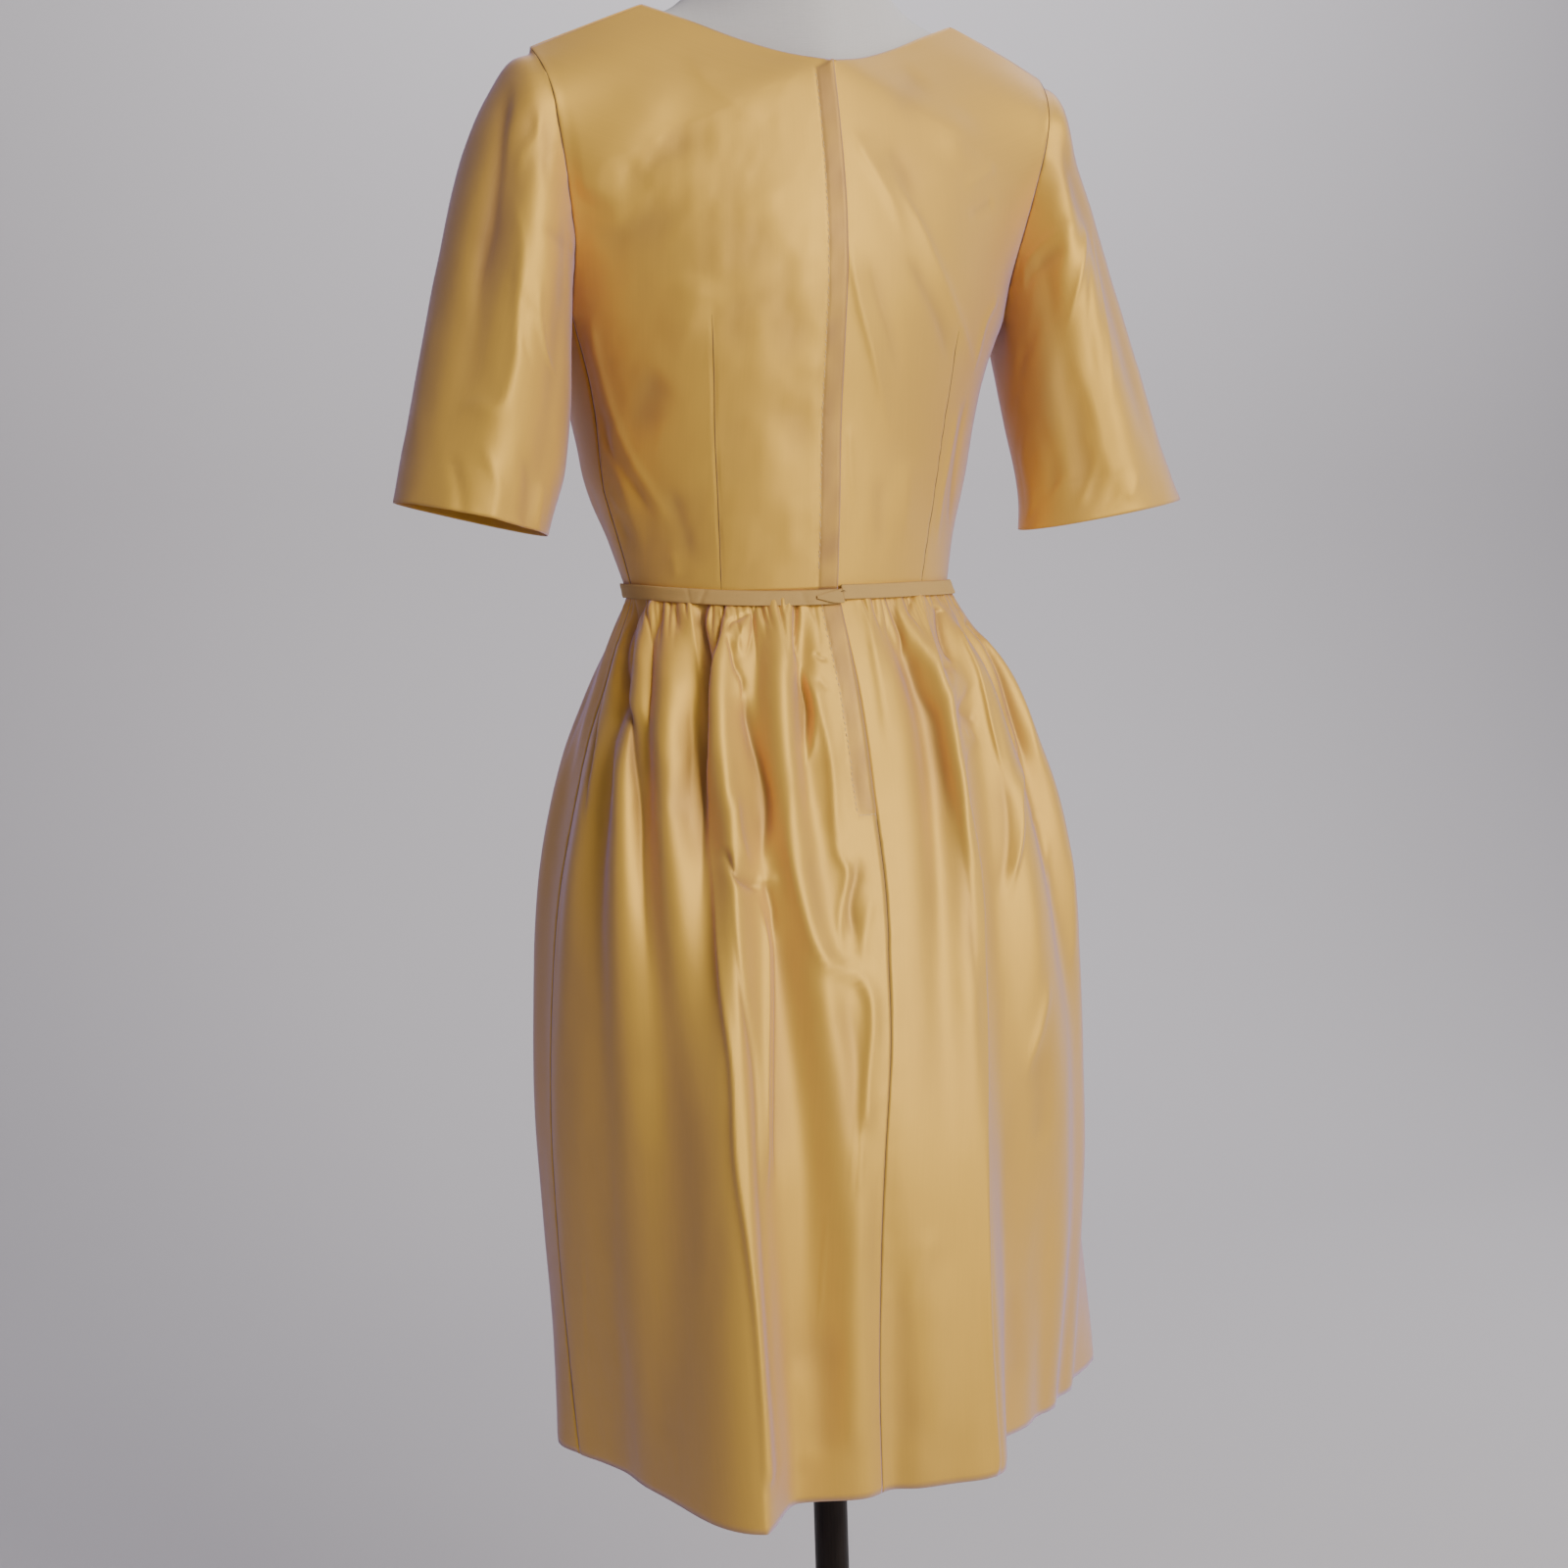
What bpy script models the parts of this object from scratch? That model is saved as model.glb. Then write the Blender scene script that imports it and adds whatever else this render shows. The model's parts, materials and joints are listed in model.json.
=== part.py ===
"""Cocktail dress with a gathered skirt, on a limbless dress form with a pole and a round base.

Frame: the origin is on the floor under the pole, +Z is up, the front faces -Y, the back faces +Y and the
wearer's left is +X. Heights and sizes in the tables are centimetres and angles are degrees. They become
metres where the meshes are made.
"""
import math

import bmesh
import bpy
import numpy as np

CM = 0.01

# Driving dimensions
WALL = 0.18             # cloth wall
SEAM = 0.03             # space between two pieces that are sewn together
WAIST_HEIGHT = 104.0    # waist seam above the floor
UNDERARM_HEIGHT = 123.0
NECK_BACK_HEIGHT = 139.0
NECK_FRONT_HEIGHT = 138.0
HEM_HEIGHT = 44.0
LAP_WIDTH = 1.4         # the fold over the zip
LAP_RISE = 0.12
ZIP_END_HEIGHT = 88.8   # lower end of the zip, 15 cm under the waist
ZIP_WIDTH = 2.4
ZIP_THICKNESS = 0.12
ZIP_ROOM = 0.07         # tape to cloth
ZIP_TOP = 0.8           # neckline to the top of the tape
BELT_HEIGHT = 1.02
BELT_THICKNESS = 0.15
BELT_EASE = 0.05
BELT_SEGMENTS = 72
BELT_OPENING = 0.6      # degrees from the centre back to each end of the band
GATHERS = 60            # gathers all round the waist
GATHER_HEIGHT = 0.2
SLEEVE_CLEAR = 0.15     # sleeve to the side of the bodice
FORM_EASE = 0.08        # form to cloth where the dress rests on it
FORM_LOOSE = 0.35       # more room where the cloth stands off the form
POLE_RADIUS = 1.25

# Grid of the bodice: rows from the waist to the shoulder, as a share of the panel's height
UNDERARM_SHARE = 0.5
NECK_SHARE = 0.75
ROWS = np.concatenate([np.linspace(0.0, UNDERARM_SHARE, 7), np.linspace(UNDERARM_SHARE, 1.0, 13)[1:]])
PANEL_COLUMNS = np.linspace(0.0, 1.0, 9)
LAP_COLUMNS = np.array([0.0, 1.3, 1.6])     # distances from the centre back, before the even columns
LAP_SHARE = 0.3                             # the row where those distances are exact

# Bodice sections: height, half width, y of the widest line, y of the centre back, y of the centre front
BODICE_SECTIONS = (
    (104.0, 12.00, -2.3, 5.85, -11.2),
    (107.8, 12.90, -3.2, 6.40, -12.9),
    (111.6, 14.10, -3.7, 6.80, -14.3),
    (115.0, 14.75, -3.7, 7.15, -15.2),
    (119.0, 15.65, -3.2, 7.90, -15.6),
    (123.0, 17.10, -2.5, 8.65, -15.2),
)

# Centre lines: height, y of the centre back, y of the centre front
CENTRE_LINES = (
    (104.0, 5.85, -11.2),
    (110.0, 6.65, -13.8),
    (115.4, 7.20, -15.2),
    (120.5, 8.17, -15.6),
    (125.6, 8.97, -14.7),
    (129.0, 9.05, -13.3),
    (134.2, 8.48, -10.6),
    (139.0, 7.60, -7.6),
)

# Back neckline from the centre to the neck corner: share, x, y, height
NECK_BACK = (
    (0.00, 0.0, 7.60, 139.0),
    (0.25, 2.9, 6.35, 139.6),
    (0.50, 5.8, 5.10, 140.6),
    (0.75, 8.6, 3.92, 141.8),
    (1.00, 11.5, 2.60, 143.0),
)

# Front neckline from the centre to the neck corner: share, x, y, height
NECK_FRONT = (
    (0.00, 0.0, -8.20, 138.0),
    (0.25, 3.4, -7.50, 138.4),
    (0.50, 6.6, -5.20, 139.6),
    (0.75, 9.4, -1.70, 141.4),
    (1.00, 11.5, 2.60, 143.0),
)

# Armhole seam on the back, from the underarm to the shoulder tip: share, x, y, height
ARMHOLE_BACK = (
    (0.00, 16.50, 0.37, 123.0),
    (0.12, 16.55, 1.20, 125.2),
    (0.25, 16.65, 2.25, 127.2),
    (0.40, 17.10, 3.05, 129.6),
    (0.55, 17.60, 3.80, 132.2),
    (0.70, 18.15, 4.27, 134.9),
    (0.82, 18.45, 4.20, 136.9),
    (0.92, 18.80, 3.15, 138.7),
    (1.00, 19.10, 1.85, 139.9),
)

# Armhole seam on the front, from the underarm to the shoulder tip: share, x, y, height
ARMHOLE_FRONT = (
    (0.00, 16.50, 0.37, 123.0),
    (0.12, 16.85, -1.60, 123.6),
    (0.25, 16.65, -3.50, 125.5),
    (0.40, 16.20, -4.90, 128.6),
    (0.55, 16.30, -5.10, 131.8),
    (0.70, 16.90, -4.00, 134.6),
    (0.85, 17.90, -1.60, 137.4),
    (1.00, 19.10, 1.85, 139.9),
)

# How far each row turns, from the centre to the side: share of the panel's height, back angle, front angle.
# Up to the underarm the two add up to half a turn, because the side seam lies there.
TURN = (
    (0.00, 88.0, 92.0),
    (0.15, 83.0, 97.0),
    (0.30, 77.5, 102.5),
    (0.50, 75.0, 105.0),
    (0.62, 70.0, 96.0),
    (0.75, 60.0, 80.0),
    (0.88, 42.0, 52.0),
    (1.00, 14.0, 14.0),
)

BUST_POINT = (8.6, 119.5)       # x and height of the bust point
BUST_RADIUS = 5.2
BUST_HEIGHT = 1.1

# Sleeves, from the armhole to the hem: x and height of the outer edge, x and height of the inner edge, y of the
# back, y of the front. The right one is given as its mirror image, and hangs a little wider at the hem.
SLEEVE_LEFT = (
    (19.10, 139.90, 16.50, 123.00, 4.30, -5.00),
    (20.40, 139.40, 16.75, 121.80, 4.90, -5.20),
    (21.40, 138.00, 16.85, 120.20, 5.20, -5.30),
    (22.60, 135.50, 16.90, 118.40, 5.30, -5.30),
    (23.90, 131.80, 16.95, 116.80, 5.30, -5.20),
    (25.10, 127.20, 17.10, 115.20, 5.20, -5.10),
    (26.30, 122.40, 17.30, 113.60, 5.10, -5.00),
    (27.40, 117.80, 17.65, 111.80, 5.05, -4.80),
    (28.40, 113.80, 18.30, 109.90, 5.00, -4.60),
    (29.20, 110.60, 18.90, 108.10, 5.00, -4.40),
)
SLEEVE_RIGHT = (
    (19.10, 139.90, 16.50, 123.00, 4.30, -5.00),
    (20.30, 139.40, 16.75, 121.80, 4.90, -5.20),
    (21.00, 138.00, 16.90, 120.20, 5.20, -5.30),
    (21.75, 135.50, 17.00, 118.40, 5.30, -5.30),
    (23.20, 131.80, 17.15, 116.80, 5.30, -5.20),
    (24.75, 127.20, 17.40, 115.20, 5.20, -5.10),
    (26.40, 122.40, 17.70, 113.60, 5.10, -5.00),
    (27.90, 117.80, 18.00, 111.80, 5.05, -4.80),
    (29.35, 113.50, 18.15, 109.75, 5.00, -4.60),
    (30.90, 109.80, 18.00, 107.75, 5.00, -4.40),
)
SLEEVE_FRONT_DROP = 0.9         # how much lower the left sleeve's hem is in front
SLEEVE_HEAD_FADE = (0.0, 0.25, 0.55, 0.85, 1.0)     # how soon the armhole's shape becomes the sleeve's own

# Sleeve folds: angle round the sleeve from the underarm by way of the back, first row, last row, height, width
SLEEVE_FOLDS = (
    (60.0, 2, 8, -0.30, 14.0),
    (95.0, 3, 9, 0.30, 16.0),
    (125.0, 1, 7, -0.35, 14.0),
    (250.0, 2, 8, -0.30, 16.0),
    (300.0, 3, 8, 0.25, 15.0),
)

# Skirt sections: height, left half width, right half width, back depth, front depth, y of the widest line,
# squareness of the outline
SKIRT_SECTIONS = (
    (44.0, 18.7, 21.6, 16.2, 16.0, 0.0, 2.2),
    (52.0, 19.1, 20.9, 16.0, 16.0, 0.0, 2.2),
    (60.0, 19.6, 20.3, 15.8, 16.0, -0.2, 2.2),
    (68.0, 19.9, 19.9, 15.2, 16.0, -0.3, 2.2),
    (76.0, 19.5, 19.8, 13.8, 15.8, -0.5, 2.3),
    (84.0, 18.5, 19.7, 11.9, 15.2, -0.7, 2.5),
    (90.0, 17.0, 18.7, 10.5, 14.2, -1.0, 2.6),
    (94.0, 15.8, 17.0, 10.2, 13.2, -1.3, 2.6),
    (98.0, 14.2, 15.1, 9.7, 11.9, -1.6, 2.5),
    (101.0, 13.1, 13.4, 9.0, 10.4, -1.9, 2.2),
    (104.0, 12.00, 12.00, 8.15, 8.9, -2.3, 2.0),
)

# Drift of the centre back seam round the skirt: height, angle
CENTRE_SEAM_DRIFT = ((44.0, 9.5), (51.0, 8.9), (58.5, 7.0), (66.0, 4.6), (75.0, 1.0), (80.0, 0.0), (104.0, 0.0))

# Large folds of the skirt. Angles run round from the centre back, plus to the wearer's left. Each fold has its
# angle and its height at four levels (waist 102, hip 90, thigh 72, hem 44), and its width in degrees at the
# waist and the hem on its left and right side. A trough has a height below zero.
FOLD_LEVELS = (102.0, 90.0, 72.0, 44.0)
FOLDS = (
    # angles                       heights                   left widths    right widths
    ((88.0, 84.0, 86.0, 95.0), (0.3, 0.5, 0.2, 0.8), (5.0, 7.0), (5.0, 7.0)),
    ((81.0, 74.0, 68.0, 76.0), (-0.4, -0.9, -0.5, -0.9), (4.0, 11.0), (3.0, 9.0)),
    ((73.0, 64.0, 58.0, 62.0), (0.4, 0.6, 0.4, -0.1), (4.0, 9.0), (4.0, 9.0)),
    ((68.0, 55.0, 48.0, 48.0), (-0.4, -0.8, -0.5, 0.0), (3.0, 8.0), (3.0, 8.0)),
    ((60.0, 47.0, 40.0, 40.0), (0.4, 0.6, 0.3, 0.0), (5.0, 9.0), (5.0, 9.0)),
    ((49.0, 34.5, 38.0, 42.0), (-0.5, -1.0, -0.2, 0.0), (4.5, 8.0), (3.0, 4.0)),
    ((39.0, 29.5, 31.0, 32.0), (0.5, 1.0, 1.9, 4.5), (4.0, 18.0), (4.0, 3.0)),
    ((26.0, 19.5, 19.0, 22.0), (-0.3, -0.7, -1.0, -0.2), (4.0, 6.0), (3.5, 7.0)),
    ((18.0, 14.0, 12.0, 12.0), (0.3, 0.5, 0.3, 0.2), (4.0, 6.0), (3.0, 5.0)),
    ((12.5, 8.5, 6.0, 6.0), (-0.5, -0.4, -0.1, -0.7), (2.5, 4.0), (2.5, 4.0)),
    ((-6.0, -4.0, -2.0, 0.0), (0.2, 0.2, 0.1, 0.2), (4.0, 6.0), (4.0, 6.0)),
    ((-14.0, -11.5, -8.0, -8.0), (-0.5, -0.7, -0.1, 0.5), (3.0, 5.0), (3.5, 5.0)),
    ((-22.0, -16.5, -13.5, -13.0), (0.4, 0.6, 0.5, 0.7), (3.0, 6.0), (4.0, 3.0)),
    ((-34.0, -26.0, -24.0, -25.0), (-0.3, -0.3, -0.8, -3.6), (5.0, 7.0), (6.0, 18.0)),
    ((-45.0, -34.0, -36.0, -44.0), (0.3, 0.6, 0.3, -2.6), (5.0, 10.0), (5.0, 18.0)),
    ((-53.0, -45.0, -52.0, -58.0), (-0.5, -0.8, -0.3, -1.9), (4.0, 8.0), (4.0, 8.0)),
    ((-62.0, -56.0, -60.0, -70.0), (0.4, 0.6, 0.4, -1.6), (5.0, 9.0), (5.0, 9.0)),
    ((-76.0, -74.0, -74.0, -76.0), (-0.4, -0.7, -0.3, -1.1), (4.0, 8.0), (4.0, 8.0)),
    ((-92.0, -91.0, -90.0, -91.0), (0.3, 0.6, 0.4, 1.2), (5.0, 6.0), (5.0, 6.0)),
    ((-106.0, -104.0, -103.0, -102.0), (-0.4, -0.8, -0.7, -1.0), (4.0, 8.0), (4.0, 8.0)),
    ((-122.0, -120.0, -119.0, -118.0), (0.4, 0.9, 1.1, 1.6), (5.0, 9.0), (5.0, 7.0)),
    ((-139.0, -137.0, -134.0, -134.0), (-0.5, -0.9, -1.0, -1.4), (4.0, 8.0), (4.0, 9.0)),
    ((-156.0, -154.0, -152.0, -152.0), (0.4, 0.8, 1.2, 1.9), (5.0, 9.0), (4.0, 8.0)),
    ((-172.0, -172.0, -170.0, -170.0), (-0.4, -0.7, -0.8, -1.1), (4.0, 8.0), (4.0, 8.0)),
    ((-187.0, -188.0, -188.0, -188.0), (0.4, 0.8, 1.0, 1.2), (4.0, 9.0), (5.0, 9.0)),
    ((-203.0, -204.0, -206.0, -206.0), (-0.5, -0.9, -1.1, -1.5), (4.0, 8.0), (4.0, 8.0)),
    ((-220.0, -222.0, -223.0, -224.0), (0.4, 0.9, 1.2, 1.8), (5.0, 9.0), (4.0, 8.0)),
    ((-238.0, -240.0, -241.0, -242.0), (-0.4, -0.8, -0.8, -1.2), (4.0, 8.0), (4.0, 8.0)),
    ((-255.0, -257.0, -258.0, -258.0), (0.3, 0.7, 0.6, 0.9), (5.0, 9.0), (5.0, 9.0)),
)

# Skirt rows under the waist seam: the gathered rows carry a few points for each gather, the others fewer
GATHERED_HEIGHTS = (103.985, 103.1, 102.1, 99.0)
GATHER_STRENGTH = (0.1, 0.2, 1.0, 0.75)
PLAIN_HEIGHTS = (94.0, 90.5, 86.5, 82.0, 77.0, 71.5, 66.0, 60.0, 54.0, 49.0, 44.0)
QUARTER_COLUMNS = 21

# How far the belt lies above or below the waist seam: angle from the centre back to the left, height
BELT_SAG = (
    (0.0, -0.50), (12.0, -0.50), (35.0, -0.34), (60.0, -0.02), (88.0, 0.28), (120.0, 0.28), (180.0, 0.05),
    (240.0, 0.0), (272.0, -0.15), (330.0, -0.20), (360.0, -0.20),
)

# Folded end of the belt: angle, lower edge and upper edge as shares of the belt's height, thickness
BELT_END = (
    (-0.4, 0.08, 1.04, 0.24),
    (1.3, 0.09, 0.98, 0.22),
    (3.0, 0.12, 0.90, 0.20),
    (4.6, 0.20, 0.82, 0.18),
    (6.3, 0.31, 0.72, 0.15),
    (8.0, 0.42, 0.62, 0.12),
)

# Hips of the form under the dress: height, half width, y of the widest line, back depth, front depth
HIPS = (
    (98.0, 12.6, -2.0, 8.0, 9.2),
    (91.0, 14.2, -1.2, 8.6, 10.2),
    (84.0, 15.2, -0.8, 9.0, 10.6),
    (79.0, 14.9, -0.6, 8.8, 10.2),
)
TORSO_FLOOR = 78.0

# Neck of the form, from the neckline up: share of the way in to the neck, height, half width, y of the middle,
# half depth
NECK = (
    (0.30, 142.6, 8.6, 1.3, 5.6),
    (0.62, 144.2, 6.6, 1.0, 5.6),
    (1.00, 146.8, 5.7, 0.6, 5.6),
    (1.00, 151.5, 5.4, 0.2, 5.5),
)

# Turned pieces of the form: radius, height from the piece's own foot or top
CAP_PROFILE = (
    (0.0, 0.0), (5.0, 0.0), (5.3, 0.4), (5.1, 0.9), (2.2, 1.3), (0.9, 1.6), (1.1, 2.6), (0.7, 3.3), (0.0, 3.5),
)
UNDERSIDE_THICKNESS = 0.9
UNDERSIDE_PROFILE = ((0.0, 0.0), (12.6, 0.0), (12.6, -UNDERSIDE_THICKNESS), (0.0, -UNDERSIDE_THICKNESS))
UNDERSIDE_SQUASH = (1.0, 0.72)
UNDERSIDE_MIDDLE = (0.0, -1.3)
COLLAR_HEIGHT = 3.6
COLLAR_PROFILE = ((0.0, 0.0), (3.6, 0.0), (3.6, -0.5), (2.1, -0.9), (1.9, -COLLAR_HEIGHT), (0.0, -COLLAR_HEIGHT))
BASE_PROFILE = (
    (0.0, 0.0), (18.6, 0.0), (19.0, 0.4), (18.7, 0.9), (14.0, 1.5), (4.0, 2.4), (2.6, 3.4), (2.2, 5.4), (0.0, 5.4),
)


def smooth(rows, at):
    """Values of a table at one or more keys. The first column is the key, and the curve is smooth."""
    table = np.asarray(rows, float)
    keys = table[:, 0]
    values = table[:, 1:]
    slopes = np.gradient(values, keys, axis=0)
    at = np.asarray(at, float)
    low = np.clip(np.searchsorted(keys, at, side="right") - 1, 0, len(keys) - 2)
    span = keys[low + 1] - keys[low]
    u = np.clip((at - keys[low]) / span, 0.0, 1.0)[..., None]
    span = span[..., None]
    return (
        values[low] * (2 * u**3 - 3 * u**2 + 1)
        + values[low + 1] * (3 * u**2 - 2 * u**3)
        + slopes[low] * span * (u**3 - 2 * u**2 + u)
        + slopes[low + 1] * span * (u**3 - u**2)
    )


def unit(vectors):
    """Vectors of length one."""
    length = np.linalg.norm(vectors, axis=-1, keepdims=True)
    return vectors / np.maximum(length, 1e-9)


def soft_step(value, low, high):
    """0 under low, 1 over high, and smooth between."""
    u = np.clip((value - low) / (high - low), 0.0, 1.0)
    return u * u * (3 - 2 * u)


def grid_normals(grid, middle, closed=False):
    """Outward directions on a grid of points, where middle is a point or line inside it."""
    if closed:
        across = np.roll(grid, -1, axis=1) - np.roll(grid, 1, axis=1)
    else:
        across = np.gradient(grid, axis=1)
    along = np.gradient(grid, axis=0)
    normals = unit(np.cross(across, along))
    inward = np.sum(normals * (grid - middle), axis=-1, keepdims=True) < 0
    return np.where(inward, -normals, normals)


def finish(name, builder, colour, roughness, metallic=0.0):
    """Object from a bmesh in centimetres, with its own material."""
    bmesh.ops.recalc_face_normals(builder, faces=builder.faces)
    bmesh.ops.scale(builder, vec=(CM, CM, CM), verts=builder.verts)
    mesh = bpy.data.meshes.new(name)
    builder.to_mesh(mesh)
    builder.free()
    mesh.shade_smooth()
    piece = bpy.data.objects.new(name, mesh)
    bpy.context.scene.collection.objects.link(piece)
    material = bpy.data.materials.new(name)
    material.use_nodes = True
    shader = material.node_tree.nodes["Principled BSDF"]
    shader.inputs["Base Color"].default_value = (*colour, 1.0)
    shader.inputs["Roughness"].default_value = roughness
    shader.inputs["Metallic"].default_value = metallic
    mesh.materials.append(material)
    return piece


def zip_rows(builder, low, high, closed):
    """Triangles between two rows of points. Rows of one length are joined point to point by the shorter diagonal."""
    if len(low) == len(high):
        for k in range(len(low) - 1 + closed):
            after = (k + 1) % len(low)
            a, b, c, d = low[k], low[after], high[after], high[k]
            if (a.co - c.co).length <= (b.co - d.co).length:
                builder.faces.new((a, b, c))
                builder.faces.new((a, c, d))
            else:
                builder.faces.new((a, b, d))
                builder.faces.new((b, c, d))
        return
    low_share = np.linspace(0, 1, len(low) + closed)
    high_share = np.linspace(0, 1, len(high) + closed)
    i = j = 0
    while i < len(low_share) - 1 or j < len(high_share) - 1:
        a, b = low[i % len(low)], high[j % len(high)]
        step_low = j == len(high_share) - 1
        if not step_low and i < len(low_share) - 1:
            step_low = low_share[i + 1] <= high_share[j + 1]
        if step_low:
            i += 1
            builder.faces.new((a, low[i % len(low)], b))
        else:
            j += 1
            builder.faces.new((a, high[j % len(high)], b))


def wall(outer, inner, closed=False, builder=None, joined_rows=0):
    """Closed wall between two lists of rows of points, the outer face and the inner face of the cloth.

    A half that is joined to its mirror image has no rim along the first rows of its start.
    """
    builder = builder or bmesh.new()
    sides = [[[builder.verts.new(point) for point in row] for row in side] for side in (outer, inner)]
    for side in sides:
        for low, high in zip(side, side[1:]):
            zip_rows(builder, low, high, closed)
    for row in (0, -1):
        zip_rows(builder, sides[0][row], sides[1][row], closed)
    if not closed:
        for column, first in ((0, joined_rows), (-1, 0)):
            edges = [[row[column] for row in side[first:]] for side in sides]
            zip_rows(builder, edges[0], edges[1], False)
    return builder


def step_back(grid, amount, edges):
    """Moves the named edges of a grid back from the seam, along the cloth and square to the edge."""
    moved = grid.copy()
    for edge in edges:
        turned_grid = grid if edge in ("bottom", "top") else grid.swapaxes(0, 1)
        last = edge in ("top", "end")
        line, next_line = (turned_grid[-1], turned_grid[-2]) if last else (turned_grid[0], turned_grid[1])
        along = unit(np.gradient(line, axis=0))
        away = next_line - line
        away = unit(away - along * np.sum(away * along, axis=-1, keepdims=True))
        target = moved if edge in ("bottom", "top") else moved.swapaxes(0, 1)
        target[-1 if last else 0] += away * amount
    return moved


def mirrored(grid):
    """The same points on the wearer's other side."""
    return grid * np.array([-1.0, 1.0, 1.0])


# Bodice
def centre_edge(share, back):
    """Point of a panel's inner edge: the centre line, then the neckline."""
    if share <= NECK_SHARE:
        top = NECK_BACK_HEIGHT if back else NECK_FRONT_HEIGHT
        height = WAIST_HEIGHT + (top - WAIST_HEIGHT) * share / NECK_SHARE
        y = smooth(CENTRE_LINES, height)[0 if back else 1]
        return np.array([0.0, y, height])
    return smooth(NECK_BACK if back else NECK_FRONT, (share - NECK_SHARE) / (1 - NECK_SHARE))


def side_edge(share, back):
    """Point of a panel's outer edge: the side seam, then the armhole."""
    if share <= UNDERARM_SHARE:
        height = WAIST_HEIGHT + (UNDERARM_HEIGHT - WAIST_HEIGHT) * share / UNDERARM_SHARE
        half, widest, y_back, _ = smooth(BODICE_SECTIONS, height)
        turn = math.radians(smooth(TURN, share)[0])
        return np.array([half * math.sin(turn), widest + (y_back - widest) * math.cos(turn), height])
    return smooth(ARMHOLE_BACK if back else ARMHOLE_FRONT, (share - UNDERARM_SHARE) / (1 - UNDERARM_SHARE))


def bodice_row(share, columns, back):
    """Points of one row of a left panel, from the centre to the side, on an arc of an ellipse."""
    start = centre_edge(share, back)
    end = side_edge(share, back)
    turn = math.radians(smooth(TURN, share)[0 if back else 1])
    across = np.sin(columns * turn) / math.sin(turn)
    deep = (np.cos(columns * turn) - math.cos(turn)) / (1 - math.cos(turn))
    x = start[0] + (end[0] - start[0]) * across
    y = end[1] + (start[1] - end[1]) * deep
    z = start[2] + (end[2] - start[2]) * np.clip(across, 0.0, 1.0)
    return np.stack([x, y, z], axis=-1)


def bodice_panel(back, columns=PANEL_COLUMNS):
    """Left half of the front or the back, as a grid of points on the outer face."""
    grid = np.array([bodice_row(share, columns, back) for share in ROWS])
    if not back:
        away = (grid[..., 0] - BUST_POINT[0]) ** 2 + (grid[..., 2] - BUST_POINT[1]) ** 2
        grid[..., 1] -= BUST_HEIGHT * np.exp(-away / BUST_RADIUS**2)
    return grid


def lap_columns():
    """Columns of the left back: two close ones at the lap, then even ones."""
    half_turn = math.radians(smooth(TURN, LAP_SHARE)[0])
    half_width = side_edge(LAP_SHARE, True)[0] / math.sin(half_turn)
    near = np.arcsin(LAP_COLUMNS / half_width) / half_turn
    return np.concatenate([near, np.linspace(near[-1], 1.0, len(PANEL_COLUMNS))[1:]])


def bodice_middle(grid):
    """Points on the line inside the body, for telling out from in."""
    middle = grid.copy()
    middle[..., 0] *= 0.3
    middle[..., 1] = -2.0
    middle[..., 2] -= 1.5
    return middle


def bodice_normals(columns_back):
    """Outward directions of the left back and the left front, shared where the two are sewn together."""
    back = bodice_panel(True, columns_back)
    front = bodice_panel(False)
    normal_back = grid_normals(back, bodice_middle(back))
    normal_front = grid_normals(front, bodice_middle(front))
    sewn = ROWS <= UNDERARM_SHARE + 1e-6
    side = unit(normal_back[sewn, -1] + normal_front[sewn, -1])
    normal_back[sewn, -1] = side
    normal_front[sewn, -1] = side
    for grid in (normal_back, normal_front):
        grid[ROWS <= NECK_SHARE, 0, 0] = 0.0
    share = np.linspace(0, 1, 21)
    shoulder_back = np.stack([np.interp(share, columns_back, normal_back[-1, :, k]) for k in range(3)], -1)
    shoulder_front = np.stack([np.interp(share, PANEL_COLUMNS, normal_front[-1, :, k]) for k in range(3)], -1)
    shared = unit(shoulder_back + shoulder_front)
    for normals, columns in ((normal_back, columns_back), (normal_front, PANEL_COLUMNS)):
        normals[-1] = unit(np.stack([np.interp(columns, share, shared[:, k]) for k in range(3)], -1))
    return unit(normal_back), unit(normal_front)


def armhole_loop():
    """Left armhole seam: up the back from the underarm, over the shoulder and down the front."""
    above = ROWS[ROWS >= UNDERARM_SHARE - 1e-6]
    back = [side_edge(share, True) for share in above]
    front = [side_edge(share, False) for share in above[::-1]]
    return np.array(back + front[1:-1])


def sleeve_ring(section, count):
    """Oval ring of a sleeve section, from its inner edge by way of the back."""
    outer_x, outer_z, inner_x, inner_z, y_back, y_front = section
    angle = np.linspace(0, 2 * math.pi, count, endpoint=False)
    swing = np.cos(angle)
    x = (outer_x + inner_x) / 2 - (outer_x - inner_x) / 2 * swing
    z = (outer_z + inner_z) / 2 - (outer_z - inner_z) / 2 * swing
    half = (y_back - y_front) / 2
    y = (y_back + y_front) / 2 + half * np.sin(angle)
    return np.stack([x, y, z], axis=-1)


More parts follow.
